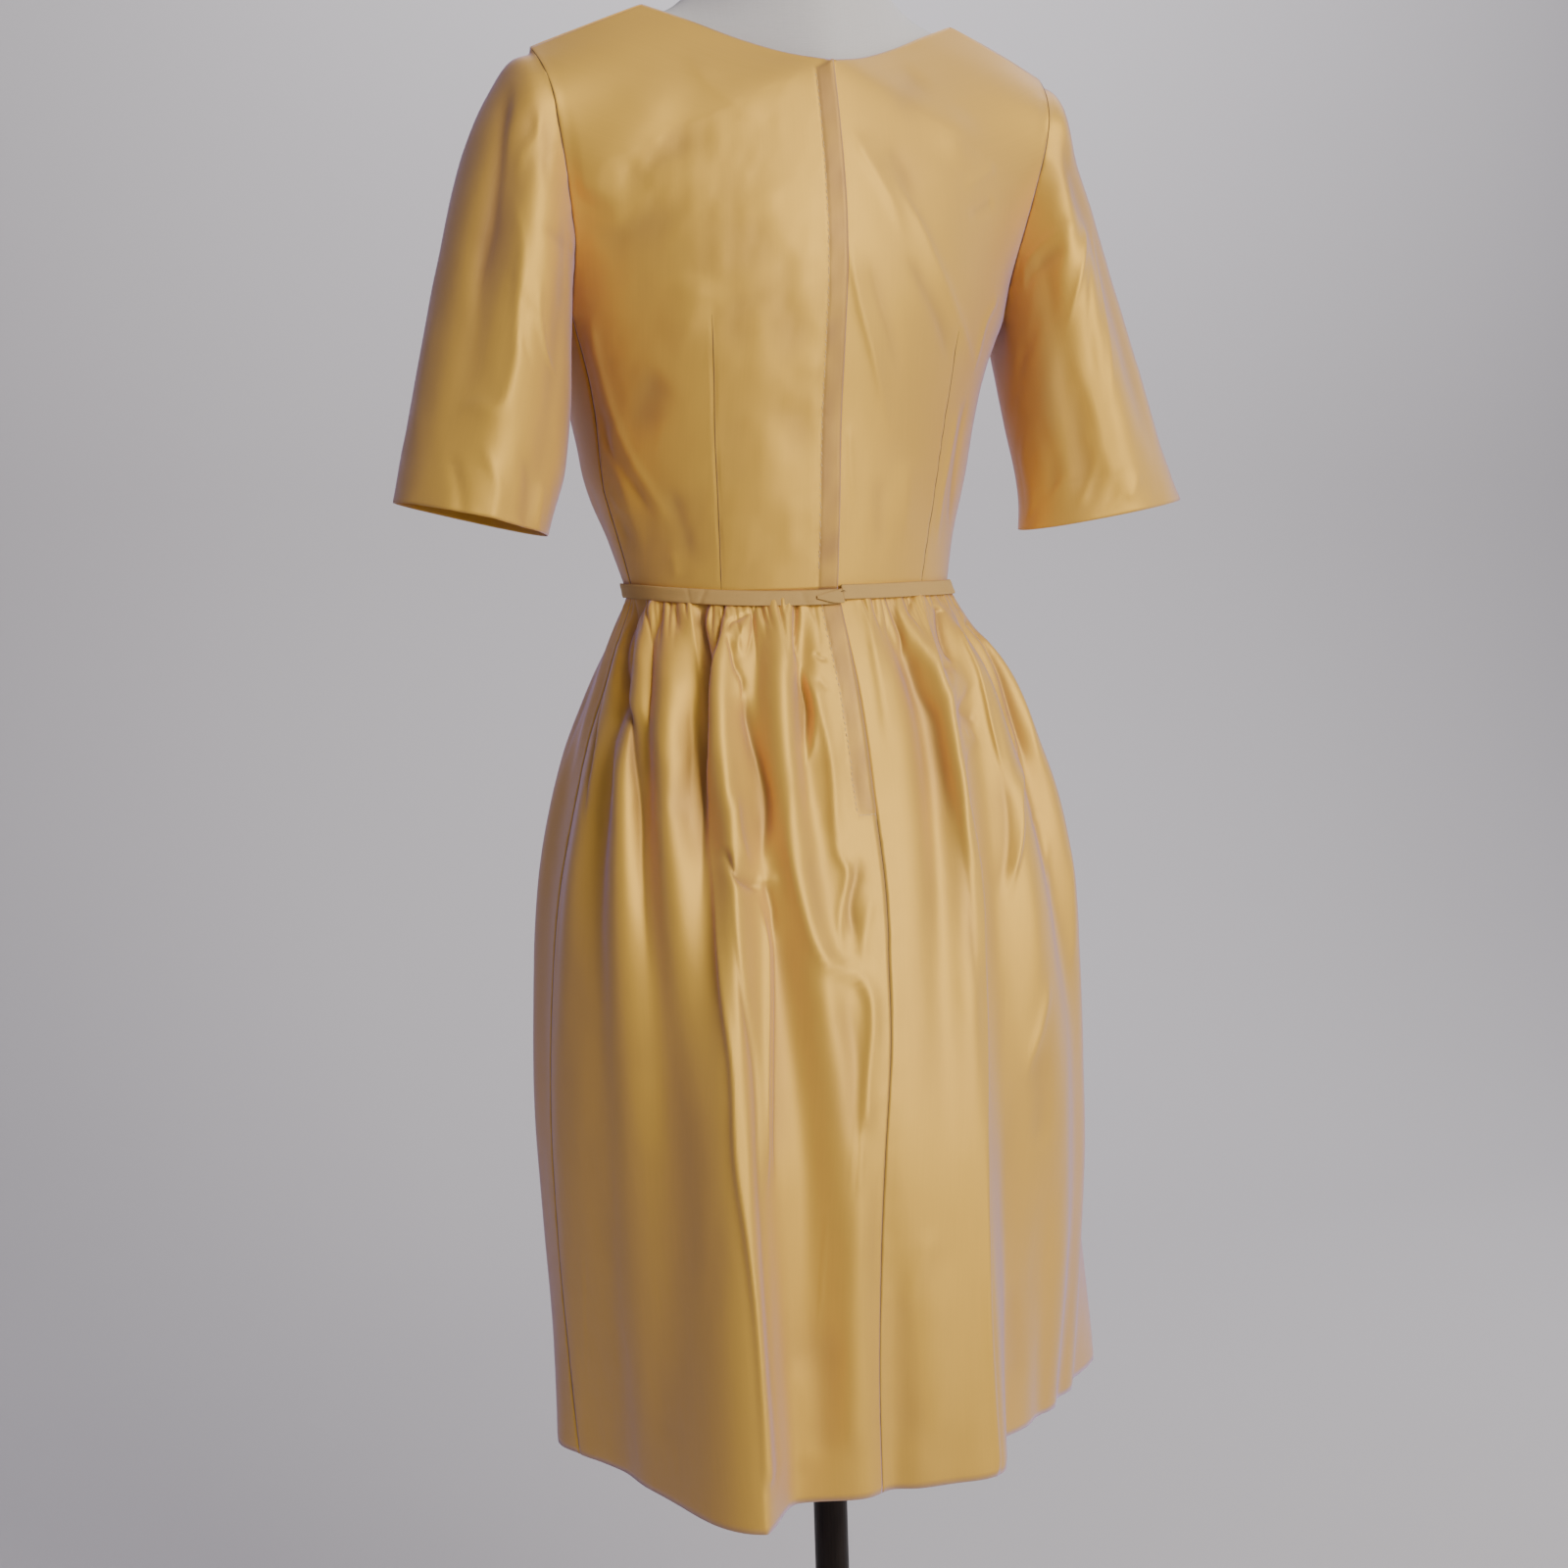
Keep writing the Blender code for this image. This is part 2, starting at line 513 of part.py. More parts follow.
def sleeve_grid(on_right):
    """Outer face of a sleeve, from the armhole to the hem. The right one is given as its mirror image."""
    loop = armhole_loop()
    count = len(loop)
    sections = SLEEVE_RIGHT if on_right else SLEEVE_LEFT
    first = sleeve_ring(sections[0], count)
    rings = []
    for row, section in enumerate(sections):
        own = SLEEVE_HEAD_FADE[min(row, len(SLEEVE_HEAD_FADE) - 1)]
        ring = sleeve_ring(section, count)
        if not on_right:
            in_front = (section[4] - ring[:, 1]) / (section[4] - section[5])
            ring[:, 2] -= SLEEVE_FRONT_DROP * in_front**2 * soft_step(row, len(sections) - 5, len(sections) - 1)
        rings.append(ring + (loop - first) * (1 - own))
    grid = np.array(rings)
    half, widest, y_back, y_front = np.moveaxis(smooth(BODICE_SECTIONS, np.minimum(grid[..., 2], UNDERARM_HEIGHT)), -1, 0)
    depth = np.where(grid[..., 1] > widest, y_back - widest, widest - y_front)
    body = half * np.sqrt(np.clip(1 - ((grid[..., 1] - widest) / depth) ** 2, 0.0, 1.0))
    beside = soft_step(UNDERARM_HEIGHT + 1.5 - grid[..., 2], 0.0, 1.5) * soft_step(np.arange(len(grid)), 0.0, 1.0)[:, None]
    grid[..., 0] += np.maximum(body + SLEEVE_CLEAR - grid[..., 0], 0.0) * beside
    normals = grid_normals(grid, grid.mean(axis=1, keepdims=True), closed=True)
    angle = np.linspace(0, 360, count, endpoint=False)
    for row in range(1, len(grid)):
        for fold_angle, first_row, last_row, height, width in SLEEVE_FOLDS:
            fade = soft_step(row, first_row - 1.5, first_row + 1.0) * (1 - soft_step(row, last_row - 1.0, last_row + 1.5))
            away = (angle - fold_angle + 180) % 360 - 180
            grid[row] += normals[row] * (height * fade * np.exp(-((away / width) ** 2)))[:, None]
    return grid


def make_bodice():
    """The three bodice panels and the two sleeves."""
    columns_back = lap_columns()
    left_back = bodice_panel(True, columns_back)
    front = bodice_panel(False)
    plain_back = bodice_panel(True)
    normal_left, normal_front = bodice_normals(columns_back)
    normal_right, _ = bodice_normals(PANEL_COLUMNS)
    sleeves = [sleeve_grid(on_right) for on_right in (False, True)]
    sleeve_normals = [grid_normals(grid, grid.mean(axis=1, keepdims=True), closed=True) for grid in sleeves]
    above = np.where(ROWS >= UNDERARM_SHARE - 1e-6)[0]
    around = np.concatenate([above, above[::-1][1:-1]])
    on_back = np.arange(len(around)) < len(above)
    for index, (row, is_back) in enumerate(zip(around, on_back)):
        panel_normals = (normal_left, normal_right) if is_back else (normal_front,)
        own = panel_normals[0][row, -1]
        other = sleeve_normals[0][0, index]
        agree = float(soft_step(own @ other, -0.2, 0.5))
        for normals in sleeve_normals:
            normals[0, index] = unit(other + own * agree)
        for normals in panel_normals:
            normals[row, -1] = unit(own + other * agree)
    for row in (above[0], above[-1]):
        normal_front[row, -1] = normal_left[row, -1]

    lap = (columns_back <= columns_back[1] + 1e-6)[None, :] * (ROWS <= NECK_SHARE + 1e-6)[:, None]
    raised = left_back + normal_left * (lap * LAP_RISE)[..., None]
    for name, outer, normals in (
        ("bodice_back_left", raised, normal_left),
        ("bodice_back_right", plain_back, normal_right),
    ):
        pair = [step_back(side, SEAM / 2, ("start", "end", "top", "bottom")) for side in (outer, outer - normals * WALL)]
        if name == "bodice_back_right":
            pair = [mirrored(side) for side in pair]
        finish(name, wall(*pair), DRESS, 0.34)

    pair = [step_back(side, SEAM / 2, ("end", "top", "bottom")) for side in (front, front - normal_front * WALL)]
    for side in pair:
        side[ROWS <= NECK_SHARE + 1e-6, 0, 0] = 0.0
    below_neck = int(np.sum(ROWS < NECK_SHARE - 1e-6))
    builder = wall(*pair, joined_rows=below_neck)
    wall(*[mirrored(side) for side in pair], builder=builder, joined_rows=below_neck)
    bmesh.ops.remove_doubles(builder, verts=builder.verts, dist=0.001)
    finish("bodice_front", builder, DRESS, 0.34)

    for name, grid, normals in zip(("sleeve_left", "sleeve_right"), sleeves, sleeve_normals):
        pair = [step_back(side, SEAM, ("bottom",)) for side in (grid, grid - normals * WALL)]
        if name == "sleeve_right":
            pair = [mirrored(side) for side in pair]
        finish(name, wall(*pair, closed=True), DRESS, 0.34)


# Skirt
def skirt_outline(angles, height):
    """Plain outline of the skirt at one height, without folds. Angles are degrees from the centre back."""
    left, right, back, front, widest, square = np.moveaxis(smooth(SKIRT_SECTIONS, height), -1, 0)
    sine = np.sin(np.radians(angles))
    cosine = np.cos(np.radians(angles))
    x = np.where(sine > 0, left, right) * np.sign(sine) * np.abs(sine) ** (2 / square)
    y = widest + np.where(cosine > 0, back, front) * np.sign(cosine) * np.abs(cosine) ** (2 / square)
    return np.stack([x, y], axis=-1)


def fold_height(angles, height):
    """How far the large folds stand out from the plain outline."""
    total = np.zeros_like(angles)
    level = np.array(FOLD_LEVELS[::-1])
    down = (FOLD_LEVELS[0] - height) / (FOLD_LEVELS[0] - FOLD_LEVELS[-1])
    down = min(max(down, 0.0), 1.0)
    for at, heights, left, right in FOLDS:
        rows = np.column_stack([level, at[::-1], heights[::-1]])
        centre, size = smooth(rows, height)
        away = (angles - centre + 180) % 360 - 180
        wide_left = left[0] + (left[1] - left[0]) * down
        wide_right = right[0] + (right[1] - right[0]) * down
        total += size * np.exp(-((away / np.where(away > 0, wide_left, wide_right)) ** 2))
    return total * soft_step(WAIST_HEIGHT - height, BELT_HEIGHT / 2, 4.5)


def skirt_surface(angles, height):
    """Points and outward directions of the folded skirt in plan, without the small gathers."""
    step = 0.6
    spread = np.stack([angles - step, angles, angles + step])
    flat = spread.ravel()
    outline = skirt_outline(flat, height)
    before = skirt_outline(flat - step, height)
    after = skirt_outline(flat + step, height)
    along = unit(after - before)
    normal = np.stack([-along[:, 1], along[:, 0]], axis=-1)
    folded = (outline + normal * fold_height(flat, height)[:, None]).reshape(3, -1, 2)
    along = unit(folded[2] - folded[0])
    return folded[1], np.stack([-along[:, 1], along[:, 0]], axis=-1)


def hem_columns(start, end, count):
    """Angles from start to end, evenly spaced along the folded hem."""
    fine = np.linspace(start, end, 400)
    points, _ = skirt_surface(fine, HEM_HEIGHT)
    length = np.concatenate([[0], np.cumsum(np.linalg.norm(np.diff(points, axis=0), axis=1))])
    even = np.linspace(0, length[-1], count)
    return (np.interp(even, length, fine) - start) / (end - start)


def gather_columns(count, chance):
    """Uneven gathers across a panel: the share of each column, and how far it stands out."""
    widths = chance.uniform(0.6, 1.4, count)
    edges = np.concatenate([[0], np.cumsum(widths)]) / widths.sum()
    shares = []
    heights = []
    for left, right in zip(edges, edges[1:]):
        crest = chance.uniform(0.6, 1.3)
        for part, level in ((0.0, -0.8), (0.38, 0.7), (0.72, 1.0)):
            shares.append(left + (right - left) * part)
            heights.append(level * crest)
    shares.append(1.0)
    heights.append(0.0)
    heights[0] = 0.0
    return np.array(shares), np.array(heights)


def skirt_panel(name, start, end, gathers, seed):
    """One skirt panel between two seams. Its seams are angles, or None for the centre back seam."""
    chance = np.random.default_rng(seed)
    fine, crests = gather_columns(gathers, chance)
    drift = smooth(CENTRE_SEAM_DRIFT, HEM_HEIGHT)[0]
    hem_start, hem_end = (drift if side is None else side for side in (start, end))
    quarters = abs(hem_end - hem_start) / 90.0
    coarse = hem_columns(hem_start, hem_end, round(QUARTER_COLUMNS * quarters) + 1)
    outer = []
    inner = []
    rows = [(height, fine, crests * strength) for height, strength in zip(GATHERED_HEIGHTS, GATHER_STRENGTH)]
    rows += [(height, coarse, np.zeros_like(coarse)) for height in PLAIN_HEIGHTS]
    for height, shares, crest in rows:
        centre = smooth(CENTRE_SEAM_DRIFT, height)[0]
        low, high = (centre if side is None else side for side in (start, end))
        angles = low + (high - low) * shares
        points, normals = skirt_surface(angles, height)
        rise = crest * GATHER_HEIGHT
        if name == "skirt_back_left" and height > ZIP_END_HEIGHT:
            from_seam = np.linalg.norm(points - points[0], axis=1)
            on_lap = 1 - soft_step(from_seam, LAP_WIDTH - 0.1, LAP_WIDTH + 0.2)
            rise = rise * (1 - on_lap) + LAP_RISE * on_lap
        elif name == "skirt_back_right" and height > ZIP_END_HEIGHT:
            from_seam = np.linalg.norm(points - points[0], axis=1)
            rise = rise * soft_step(from_seam, ZIP_WIDTH / 2, ZIP_WIDTH / 2 + 0.6)
        for side, depth in ((outer, 0.0), (inner, WALL)):
            flat = points + normals * (rise - depth)[:, None]
            flat[0] += unit(flat[1] - flat[0]) * SEAM / 2
            flat[-1] += unit(flat[-2] - flat[-1]) * SEAM / 2
            side.append(np.column_stack([flat, np.full(len(flat), height)]))
    return finish(name, wall(outer, inner), DRESS, 0.34)


def make_skirt():
    """The three gathered panels."""
    quarter = GATHERS // 4
    skirt_panel("skirt_back_left", None, 90.0, quarter, 3)
    skirt_panel("skirt_back_right", None, -90.0, quarter, 5)
    skirt_panel("skirt_front", 90.0, 270.0, GATHERS - 2 * quarter, 7)


# Belt and zip
def waist_outline(angles, height):
    """Outline of the dress in plan near the waist: the skirt's under the seam and the bodice's above it."""
    half, widest, y_back, y_front = np.moveaxis(smooth(BODICE_SECTIONS, np.maximum(height, WAIST_HEIGHT)), -1, 0)
    cosine = np.cos(np.radians(angles))
    depth = np.where(cosine > 0, y_back - widest, widest - y_front)
    bodice = np.stack([half * np.sin(np.radians(angles)), widest + depth * cosine], axis=-1)
    skirt = skirt_outline(angles, np.minimum(height, WAIST_HEIGHT))
    return np.where((height > WAIST_HEIGHT)[:, None], bodice, skirt)


def belt_line(angles, height, ease):
    """Line round the waist in plan, clear of the cloth, with room for the lap beside the centre back."""
    points = waist_outline(angles, height)
    along = unit(waist_outline(angles + 0.5, height) - points)
    normal = np.stack([-along[:, 1], along[:, 0]], axis=-1)
    wrapped = (angles + 180) % 360 - 180
    on_lap = soft_step(wrapped, -6.0, -1.0) * (1 - soft_step(wrapped, 8.0, 13.0))
    return points + normal * (ease + LAP_RISE * on_lap)[:, None], normal


def belt_layer(angles, lower, upper, room, thick):
    """Outer and inner rows of the belt, straight from its lower to its upper edge, or of a part of its height."""
    low = WAIST_HEIGHT - BELT_HEIGHT / 2 + smooth(BELT_SAG, np.maximum(angles, 0.0))[:, 0]
    ease = BELT_EASE + GATHER_HEIGHT * GATHER_STRENGTH[1] + room
    low_line, low_normal = belt_line(angles, low, ease)
    high_line, high_normal = belt_line(angles, low + BELT_HEIGHT, ease)
    outer = []
    inner = []
    for share in (lower[:, None], upper[:, None]):
        height = low[:, None] + BELT_HEIGHT * share
        line = low_line * (1 - share) + high_line * share
        normal = unit(low_normal * (1 - share) + high_normal * share)
        inner.append(np.hstack([line, height]))
        outer.append(np.hstack([line + normal * thick[:, None], height]))
    return outer, inner


def make_belt():
    """Flat band round the waist, open at the centre back, and the folded end that lies on it."""
    end_angles, lower, upper, end_thickness = np.array(BELT_END).T
    angles = np.linspace(BELT_OPENING, 360.0 - BELT_OPENING, BELT_SEGMENTS)
    angles = np.unique(np.concatenate([angles, end_angles[end_angles > BELT_OPENING]]))
    whole = np.ones(len(angles))
    finish("belt_band", wall(*belt_layer(angles, 0 * whole, whole, 0.0, BELT_THICKNESS * whole)), BELT, 0.55)
    layer = belt_layer(end_angles, lower, upper, BELT_THICKNESS + SEAM, end_thickness)
    finish("belt_end", wall(*layer), BELT, 0.55)


def make_zip():
    """Tape of the zip, under the lap from the neckline to below the waist, row by row inside the cloth."""
    offsets = np.linspace(-ZIP_WIDTH / 2, ZIP_WIDTH / 2, 5)
    side = np.sign(offsets)
    rows = []
    for height in (ZIP_END_HEIGHT, *PLAIN_HEIGHTS[1::-1], *GATHERED_HEIGHTS[:0:-1]):
        angles = np.linspace(-15.0, 15.0, 61)
        points, normals = skirt_surface(angles, height)
        y = np.interp(offsets, points[:, 0], points[:, 1])
        normal = np.stack([np.interp(offsets, points[:, 0], normals[:, k]) for k in range(2)], -1)
        rows.append((np.column_stack([offsets, y, np.full(len(offsets), height)]),
                     np.column_stack([normal, np.zeros(len(offsets))])))
    grid = bodice_panel(True)
    grid_normal, _ = bodice_normals(PANEL_COLUMNS)
    for row in np.where(ROWS <= NECK_SHARE + 1e-6)[0]:
        line = [np.interp(np.abs(offsets), grid[row, :, 0], grid[row, :, k]) for k in range(3)]
        normal = [np.interp(np.abs(offsets), grid[row, :, 0], grid_normal[row, :, k]) for k in range(3)]
        rows.append((np.column_stack([offsets, line[1], line[2]]), np.column_stack([normal[0] * side, *normal[1:]])))
    points = np.array([line for line, _ in rows])
    normals = unit(np.array([normal for _, normal in rows]))
    outer = step_back(points - normals * (WALL + ZIP_ROOM), ZIP_TOP, ("top",))
    finish("zip_tape", wall(outer, outer - normals * ZIP_THICKNESS), TAPE, 0.6)


# Dress form
def form_points(back):
    """Left half of the form's skin under the bodice: the cloth's points moved in."""
    grid = bodice_panel(back)
    normal_back, normal_front = bodice_normals(PANEL_COLUMNS)
    normals = normal_back if back else normal_front
    share = ROWS[:, None]
    column = PANEL_COLUMNS[None, :]
    loose = soft_step(share, 0.02, 0.2) * (1 - soft_step(share, 0.62, 0.9))
    near_zip = (1 - soft_step(column, 0.12, 0.35)) * (1 - soft_step(share, NECK_SHARE, 0.95)) if back else 0.0 * column
    room = WALL * 1.05 + FORM_EASE + FORM_LOOSE * loose + (ZIP_THICKNESS + ZIP_ROOM + 0.03) * near_zip
    points = grid - normals * room[..., None]
    points[ROWS <= NECK_SHARE, 0, 0] = 0.0
    return points


def oval(count_quarter, half, middle, back, front, height):
    """Closed ring of points from the centre back by way of the left side."""
    angle = np.linspace(0, 2 * math.pi, 4 * count_quarter, endpoint=False)
    x = half * np.sin(angle)
    y = middle + np.where(np.cos(angle) > 0, back, front) * np.cos(angle)
    return np.stack([x, y, np.full(len(x), height)], axis=-1)


def make_form():
    """Covered torso with neck, its underside, neck cap, collar, pole and base."""
    builder = bmesh.new()
    back = form_points(True)
    front = form_points(False)
    front[0, -1] = back[0, -1]
    for row in range(len(ROWS)):
        if ROWS[row] <= UNDERARM_SHARE + 1e-6:
            middle = (back[row, -1] + front[row, -1]) / 2
            back[row, -1] = middle
            front[row, -1] = middle
    ridge = (back[-1] + front[-1]) / 2
    back[-1] = ridge
    front[-1] = ridge

    def add_grid(rows, closed=False):
        made = [[builder.verts.new(point) for point in row] for row in rows]
        for low, high in zip(made, made[1:]):
            zip_rows(builder, low, high, closed)

    for grid in (back, front):
        add_grid(grid)
        add_grid(mirrored(grid))

    above = np.where(ROWS >= UNDERARM_SHARE - 1e-6)[0]
    armhole = np.concatenate([back[above, -1], front[above[::-1][1:-1], -1]])
    centre = armhole.mean(axis=0) + np.array([0.25, 0.0, 0.0])
    plate = [armhole, centre + (armhole - centre) * 0.45, centre + (armhole - centre) * 0.02]
    for flip in (False, True):
        rings = [mirrored(ring) if flip else ring for ring in plate]
        add_grid(rings, closed=True)
        builder.faces.new([builder.verts.new(point) for point in rings[-1]])

    neck_rows = np.where(ROWS >= NECK_SHARE - 1e-6)[0]
    back_edge = back[neck_rows, 0]
    front_edge = front[neck_rows, 0]
    left_loop = np.concatenate([back_edge, front_edge[::-1][1:]])
    right_loop = mirrored(left_loop)[1:-1][::-1]
    loop = np.concatenate([left_loop, right_loop])
    ring_angle = np.linspace(0, 2 * math.pi, len(loop), endpoint=False)
    rings = [loop]
    for share, height, half, middle, depth in NECK:
        own = np.stack([half * np.sin(ring_angle), middle + depth * np.cos(ring_angle),
                        np.full(len(loop), height)], axis=-1)
        rings.append(loop * (1 - share) + own * share)
    add_grid(rings, closed=True)
    builder.faces.new([builder.verts.new(point) for point in rings[-1]])

    waist = np.concatenate([back[0], front[0][::-1][1:]])
    waist = np.concatenate([waist, mirrored(waist)[1:-1][::-1]])
    rings = [waist]
    quarter = len(waist) // 4
    for height, half, middle, depth_back, depth_front in HIPS:
        rings.append(oval(quarter, half, middle, depth_back, depth_front, height))
    low = oval(quarter, HIPS[-1][1] - 0.8, HIPS[-1][2], HIPS[-1][3] - 0.8, HIPS[-1][4] - 0.8, TORSO_FLOOR)
    rings.append(low)
    add_grid(rings, closed=True)
    builder.faces.new([builder.verts.new(point) for point in rings[-1]])
    bmesh.ops.remove_doubles(builder, verts=builder.verts, dist=0.001)
    finish("form_torso", builder, LINEN, 0.9)

    neck_middle = (0.0, NECK[-1][3])
    turned("form_neck_cap", CAP_PROFILE, NECK[-1][1] + SEAM, WOOD, 0.45, middle=neck_middle)
    turned("form_underside", UNDERSIDE_PROFILE, TORSO_FLOOR - SEAM, WOOD, 0.5, squash=UNDERSIDE_SQUASH,
           middle=UNDERSIDE_MIDDLE)
    collar_top = TORSO_FLOOR - UNDERSIDE_THICKNESS - 2 * SEAM
    turned("form_collar", COLLAR_PROFILE, collar_top, METAL, 0.4, metallic=0.8)
    pole_top = collar_top - COLLAR_HEIGHT - SEAM
    pole_floor = BASE_PROFILE[-1][1] + SEAM
    pole = [(0.0, pole_floor), (POLE_RADIUS, pole_floor), (POLE_RADIUS, pole_top), (0.0, pole_top)]
    turned("form_pole", pole, 0.0, METAL, 0.4, metallic=0.8)
    turned("form_base", BASE_PROFILE, 0.0, METAL, 0.5, metallic=0.6)


def turned(name, profile, height, colour, roughness, metallic=0.0, squash=(1.0, 1.0), middle=(0.0, 0.0)):
    """Turned piece: a profile of radius and height, spun round the upright line through the middle."""
    steps = 32
    angle = np.linspace(0, 2 * math.pi, steps, endpoint=False)
    builder = bmesh.new()
    rings = []
    for radius, level in profile:
        if radius == 0.0:
            rings.append([builder.verts.new((middle[0], middle[1], height + level))])
            continue
        x = middle[0] + radius * squash[0] * np.sin(angle)
        y = middle[1] + radius * squash[1] * np.cos(angle)
        rings.append([builder.verts.new((a, b, height + level)) for a, b in zip(x, y)])
    for low, high in zip(rings, rings[1:]):
        for k in range(steps):
            corners = [low[k % len(low)], low[(k + 1) % len(low)], high[(k + 1) % len(high)], high[k % len(high)]]
            builder.faces.new(list(dict.fromkeys(corners)))
    piece = finish(name, builder, colour, roughness, metallic)
    piece.data.set_sharp_from_angle(angle=math.radians(40))
    return piece


# Colours
DRESS = (0.62, 0.42, 0.14)
BELT = (0.50, 0.38, 0.17)
TAPE = (0.45, 0.32, 0.13)
LINEN = (0.72, 0.70, 0.66)
WOOD = (0.16, 0.09, 0.05)
METAL = (0.03, 0.025, 0.025)

for old in list(bpy.data.objects):
    bpy.data.objects.remove(old)

make_bodice()
make_skirt()
make_belt()
make_zip()
make_form()
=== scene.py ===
# %% [markdown]
# # A cocktail dress in shot satin, on a limbless dress form
#
# The dress is cut from a crisp gold satin: a fitted bodice, sleeves to the elbow, a narrow belt and a skirt
# gathered at the waist. A lap in the centre back covers the zip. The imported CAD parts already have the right
# size and place, so they are loaded first and every new piece is made in the same frame: the origin is on the
# floor, +Z is up, the back of the dress faces +Y and the wearer's left is +X.

import json
import math

import bmesh
import bpy
import numpy as np
from mathutils import Matrix, Vector

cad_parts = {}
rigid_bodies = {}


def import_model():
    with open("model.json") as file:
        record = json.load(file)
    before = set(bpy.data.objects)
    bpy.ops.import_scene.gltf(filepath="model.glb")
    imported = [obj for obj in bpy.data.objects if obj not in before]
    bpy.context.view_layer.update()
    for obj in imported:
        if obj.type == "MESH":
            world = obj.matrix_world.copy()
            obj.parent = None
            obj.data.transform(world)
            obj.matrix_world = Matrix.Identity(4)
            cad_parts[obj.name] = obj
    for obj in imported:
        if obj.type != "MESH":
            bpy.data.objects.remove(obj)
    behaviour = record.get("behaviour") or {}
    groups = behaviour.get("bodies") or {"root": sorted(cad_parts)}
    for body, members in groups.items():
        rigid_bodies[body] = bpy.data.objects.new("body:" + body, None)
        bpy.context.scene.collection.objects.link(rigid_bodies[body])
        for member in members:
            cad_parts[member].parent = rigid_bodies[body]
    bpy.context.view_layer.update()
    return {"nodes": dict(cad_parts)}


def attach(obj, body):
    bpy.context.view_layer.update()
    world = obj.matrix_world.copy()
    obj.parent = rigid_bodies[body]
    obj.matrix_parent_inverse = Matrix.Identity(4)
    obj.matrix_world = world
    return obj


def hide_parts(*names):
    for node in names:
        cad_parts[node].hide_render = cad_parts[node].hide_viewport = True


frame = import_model()
CM = 0.01

# %% [markdown]
# The photograph was taken from behind, 24 degrees to the wearer's left, at waist height and looking slightly
# down. A camera is easiest to set by its own three directions: the way it looks, its right and its up. The
# small roll is the lean of the picture.

# %% Camera
CAMERA_DISTANCE = 1.571
CAMERA_HEIGHT = 1.061
CAMERA_ROUND = math.radians(24.0)
CAMERA_TURN = math.radians(-0.64)
CAMERA_PITCH = math.radians(5.8)
CAMERA_ROLL = math.radians(-1.81)
FOCAL_IN_PIXELS = 2249
PICTURE_PIXELS = 1600

heading = CAMERA_ROUND + CAMERA_TURN
looks = Vector((-math.sin(heading), -math.cos(heading), 0)) * math.cos(CAMERA_PITCH)
looks -= Vector((0, 0, math.sin(CAMERA_PITCH)))
level_right = looks.cross(Vector((0, 0, 1))).normalized()
level_up = level_right.cross(looks)
right = level_right * math.cos(CAMERA_ROLL) + level_up * math.sin(CAMERA_ROLL)
up = level_up * math.cos(CAMERA_ROLL) - level_right * math.sin(CAMERA_ROLL)

lens = bpy.data.cameras.new("camera")
lens.sensor_width = 36
lens.lens = FOCAL_IN_PIXELS / PICTURE_PIXELS * lens.sensor_width
camera = bpy.data.objects.new("camera", lens)
bpy.context.scene.collection.objects.link(camera)
turn = Matrix((right, up, -looks)).transposed().to_4x4()
stand = Vector((math.sin(CAMERA_ROUND) * CAMERA_DISTANCE, math.cos(CAMERA_ROUND) * CAMERA_DISTANCE, CAMERA_HEIGHT))
camera.matrix_world = Matrix.Translation(stand) @ turn
bpy.context.scene.camera = camera
print("camera at", [round(v, 3) for v in stand], "lens", round(lens.lens, 1), "mm")

# %% [markdown]
# Materials are made of nodes, and pieces by operators. Both take the same few steps each time, so the steps are
# functions: `feed` sets or links a node's inputs, `add_node` makes a node with its settings, and `joined` makes
# one piece of several.

# %% Helpers for nodes and pieces
def feed(tree, node, inputs):
    """Gives a node's inputs their values, or links them to the sockets of other nodes."""
    for label, value in dict(inputs).items():
        if isinstance(value, bpy.types.NodeSocket):
            tree.links.new(value, node.inputs[label])
        else:
            node.inputs[label].default_value = value


def add_node(tree, kind, inputs=(), **settings):
    """A shader node with its settings and inputs."""
    node = tree.nodes.new("ShaderNode" + kind)
    for setting, value in settings.items():
        setattr(node, setting, value)
    feed(tree, node, inputs)
    return node


def new_material(name):
    """A new material, its node tree and its shader."""
    material = bpy.data.materials.new(name)
    material.use_nodes = True
    return material, material.node_tree, material.node_tree.nodes["Principled BSDF"]


def colour_ramp(tree, factor, dark, light, low=0.0, high=1.0):
    """A colour between two, chosen by a factor."""
    ramp = add_node(tree, "ValToRGB", {"Fac": factor})
    for element, position, colour in zip(ramp.color_ramp.elements, (low, high), (dark, light)):
        element.position = position
        element.color = (*colour, 1)
    return ramp.outputs["Color"]


def ranged(tree, value, low, high):
    """A value from 0 to 1, spread from low to high."""
    return add_node(tree, "MapRange", {"Value": value, "To Min": low, "To Max": high}).outputs["Result"]


def bumped(tree, height, distance, strength):
    """The direction of a surface with fine relief."""
    inputs = {"Height": height, "Distance": distance, "Strength": strength}
    return add_node(tree, "Bump", inputs).outputs["Normal"]


def nothing_selected():
    """Leaves every object unselected, so that an operator acts only on what comes next."""
    if bpy.context.object and bpy.context.object.mode != "OBJECT":
        bpy.ops.object.mode_set(mode="OBJECT")
    bpy.ops.object.select_all(action="DESELECT")


def joined(pieces, name):
    """The pieces as one, with the given name."""
    nothing_selected()
    for piece in pieces:
        piece.select_set(True)
    bpy.context.view_layer.objects.active = pieces[0]
    bpy.ops.object.join()
    bpy.context.object.name = name
    return bpy.context.object


# %% [markdown]
# A studio is a floor that curves up into a wall, so no corner shows behind the dress. It is one long strip: a
# plane whose far edge is extruded upwards, with a bevel for the curve.

# %% Floor and backdrop
FLOOR_SIZE = 7.0
FLOOR_SHIFT = 0.9
WALL_RISE = 3.6
CURVE_RADIUS = 1.2
BACKDROP_COLOUR = (0.56, 0.545, 0.565)

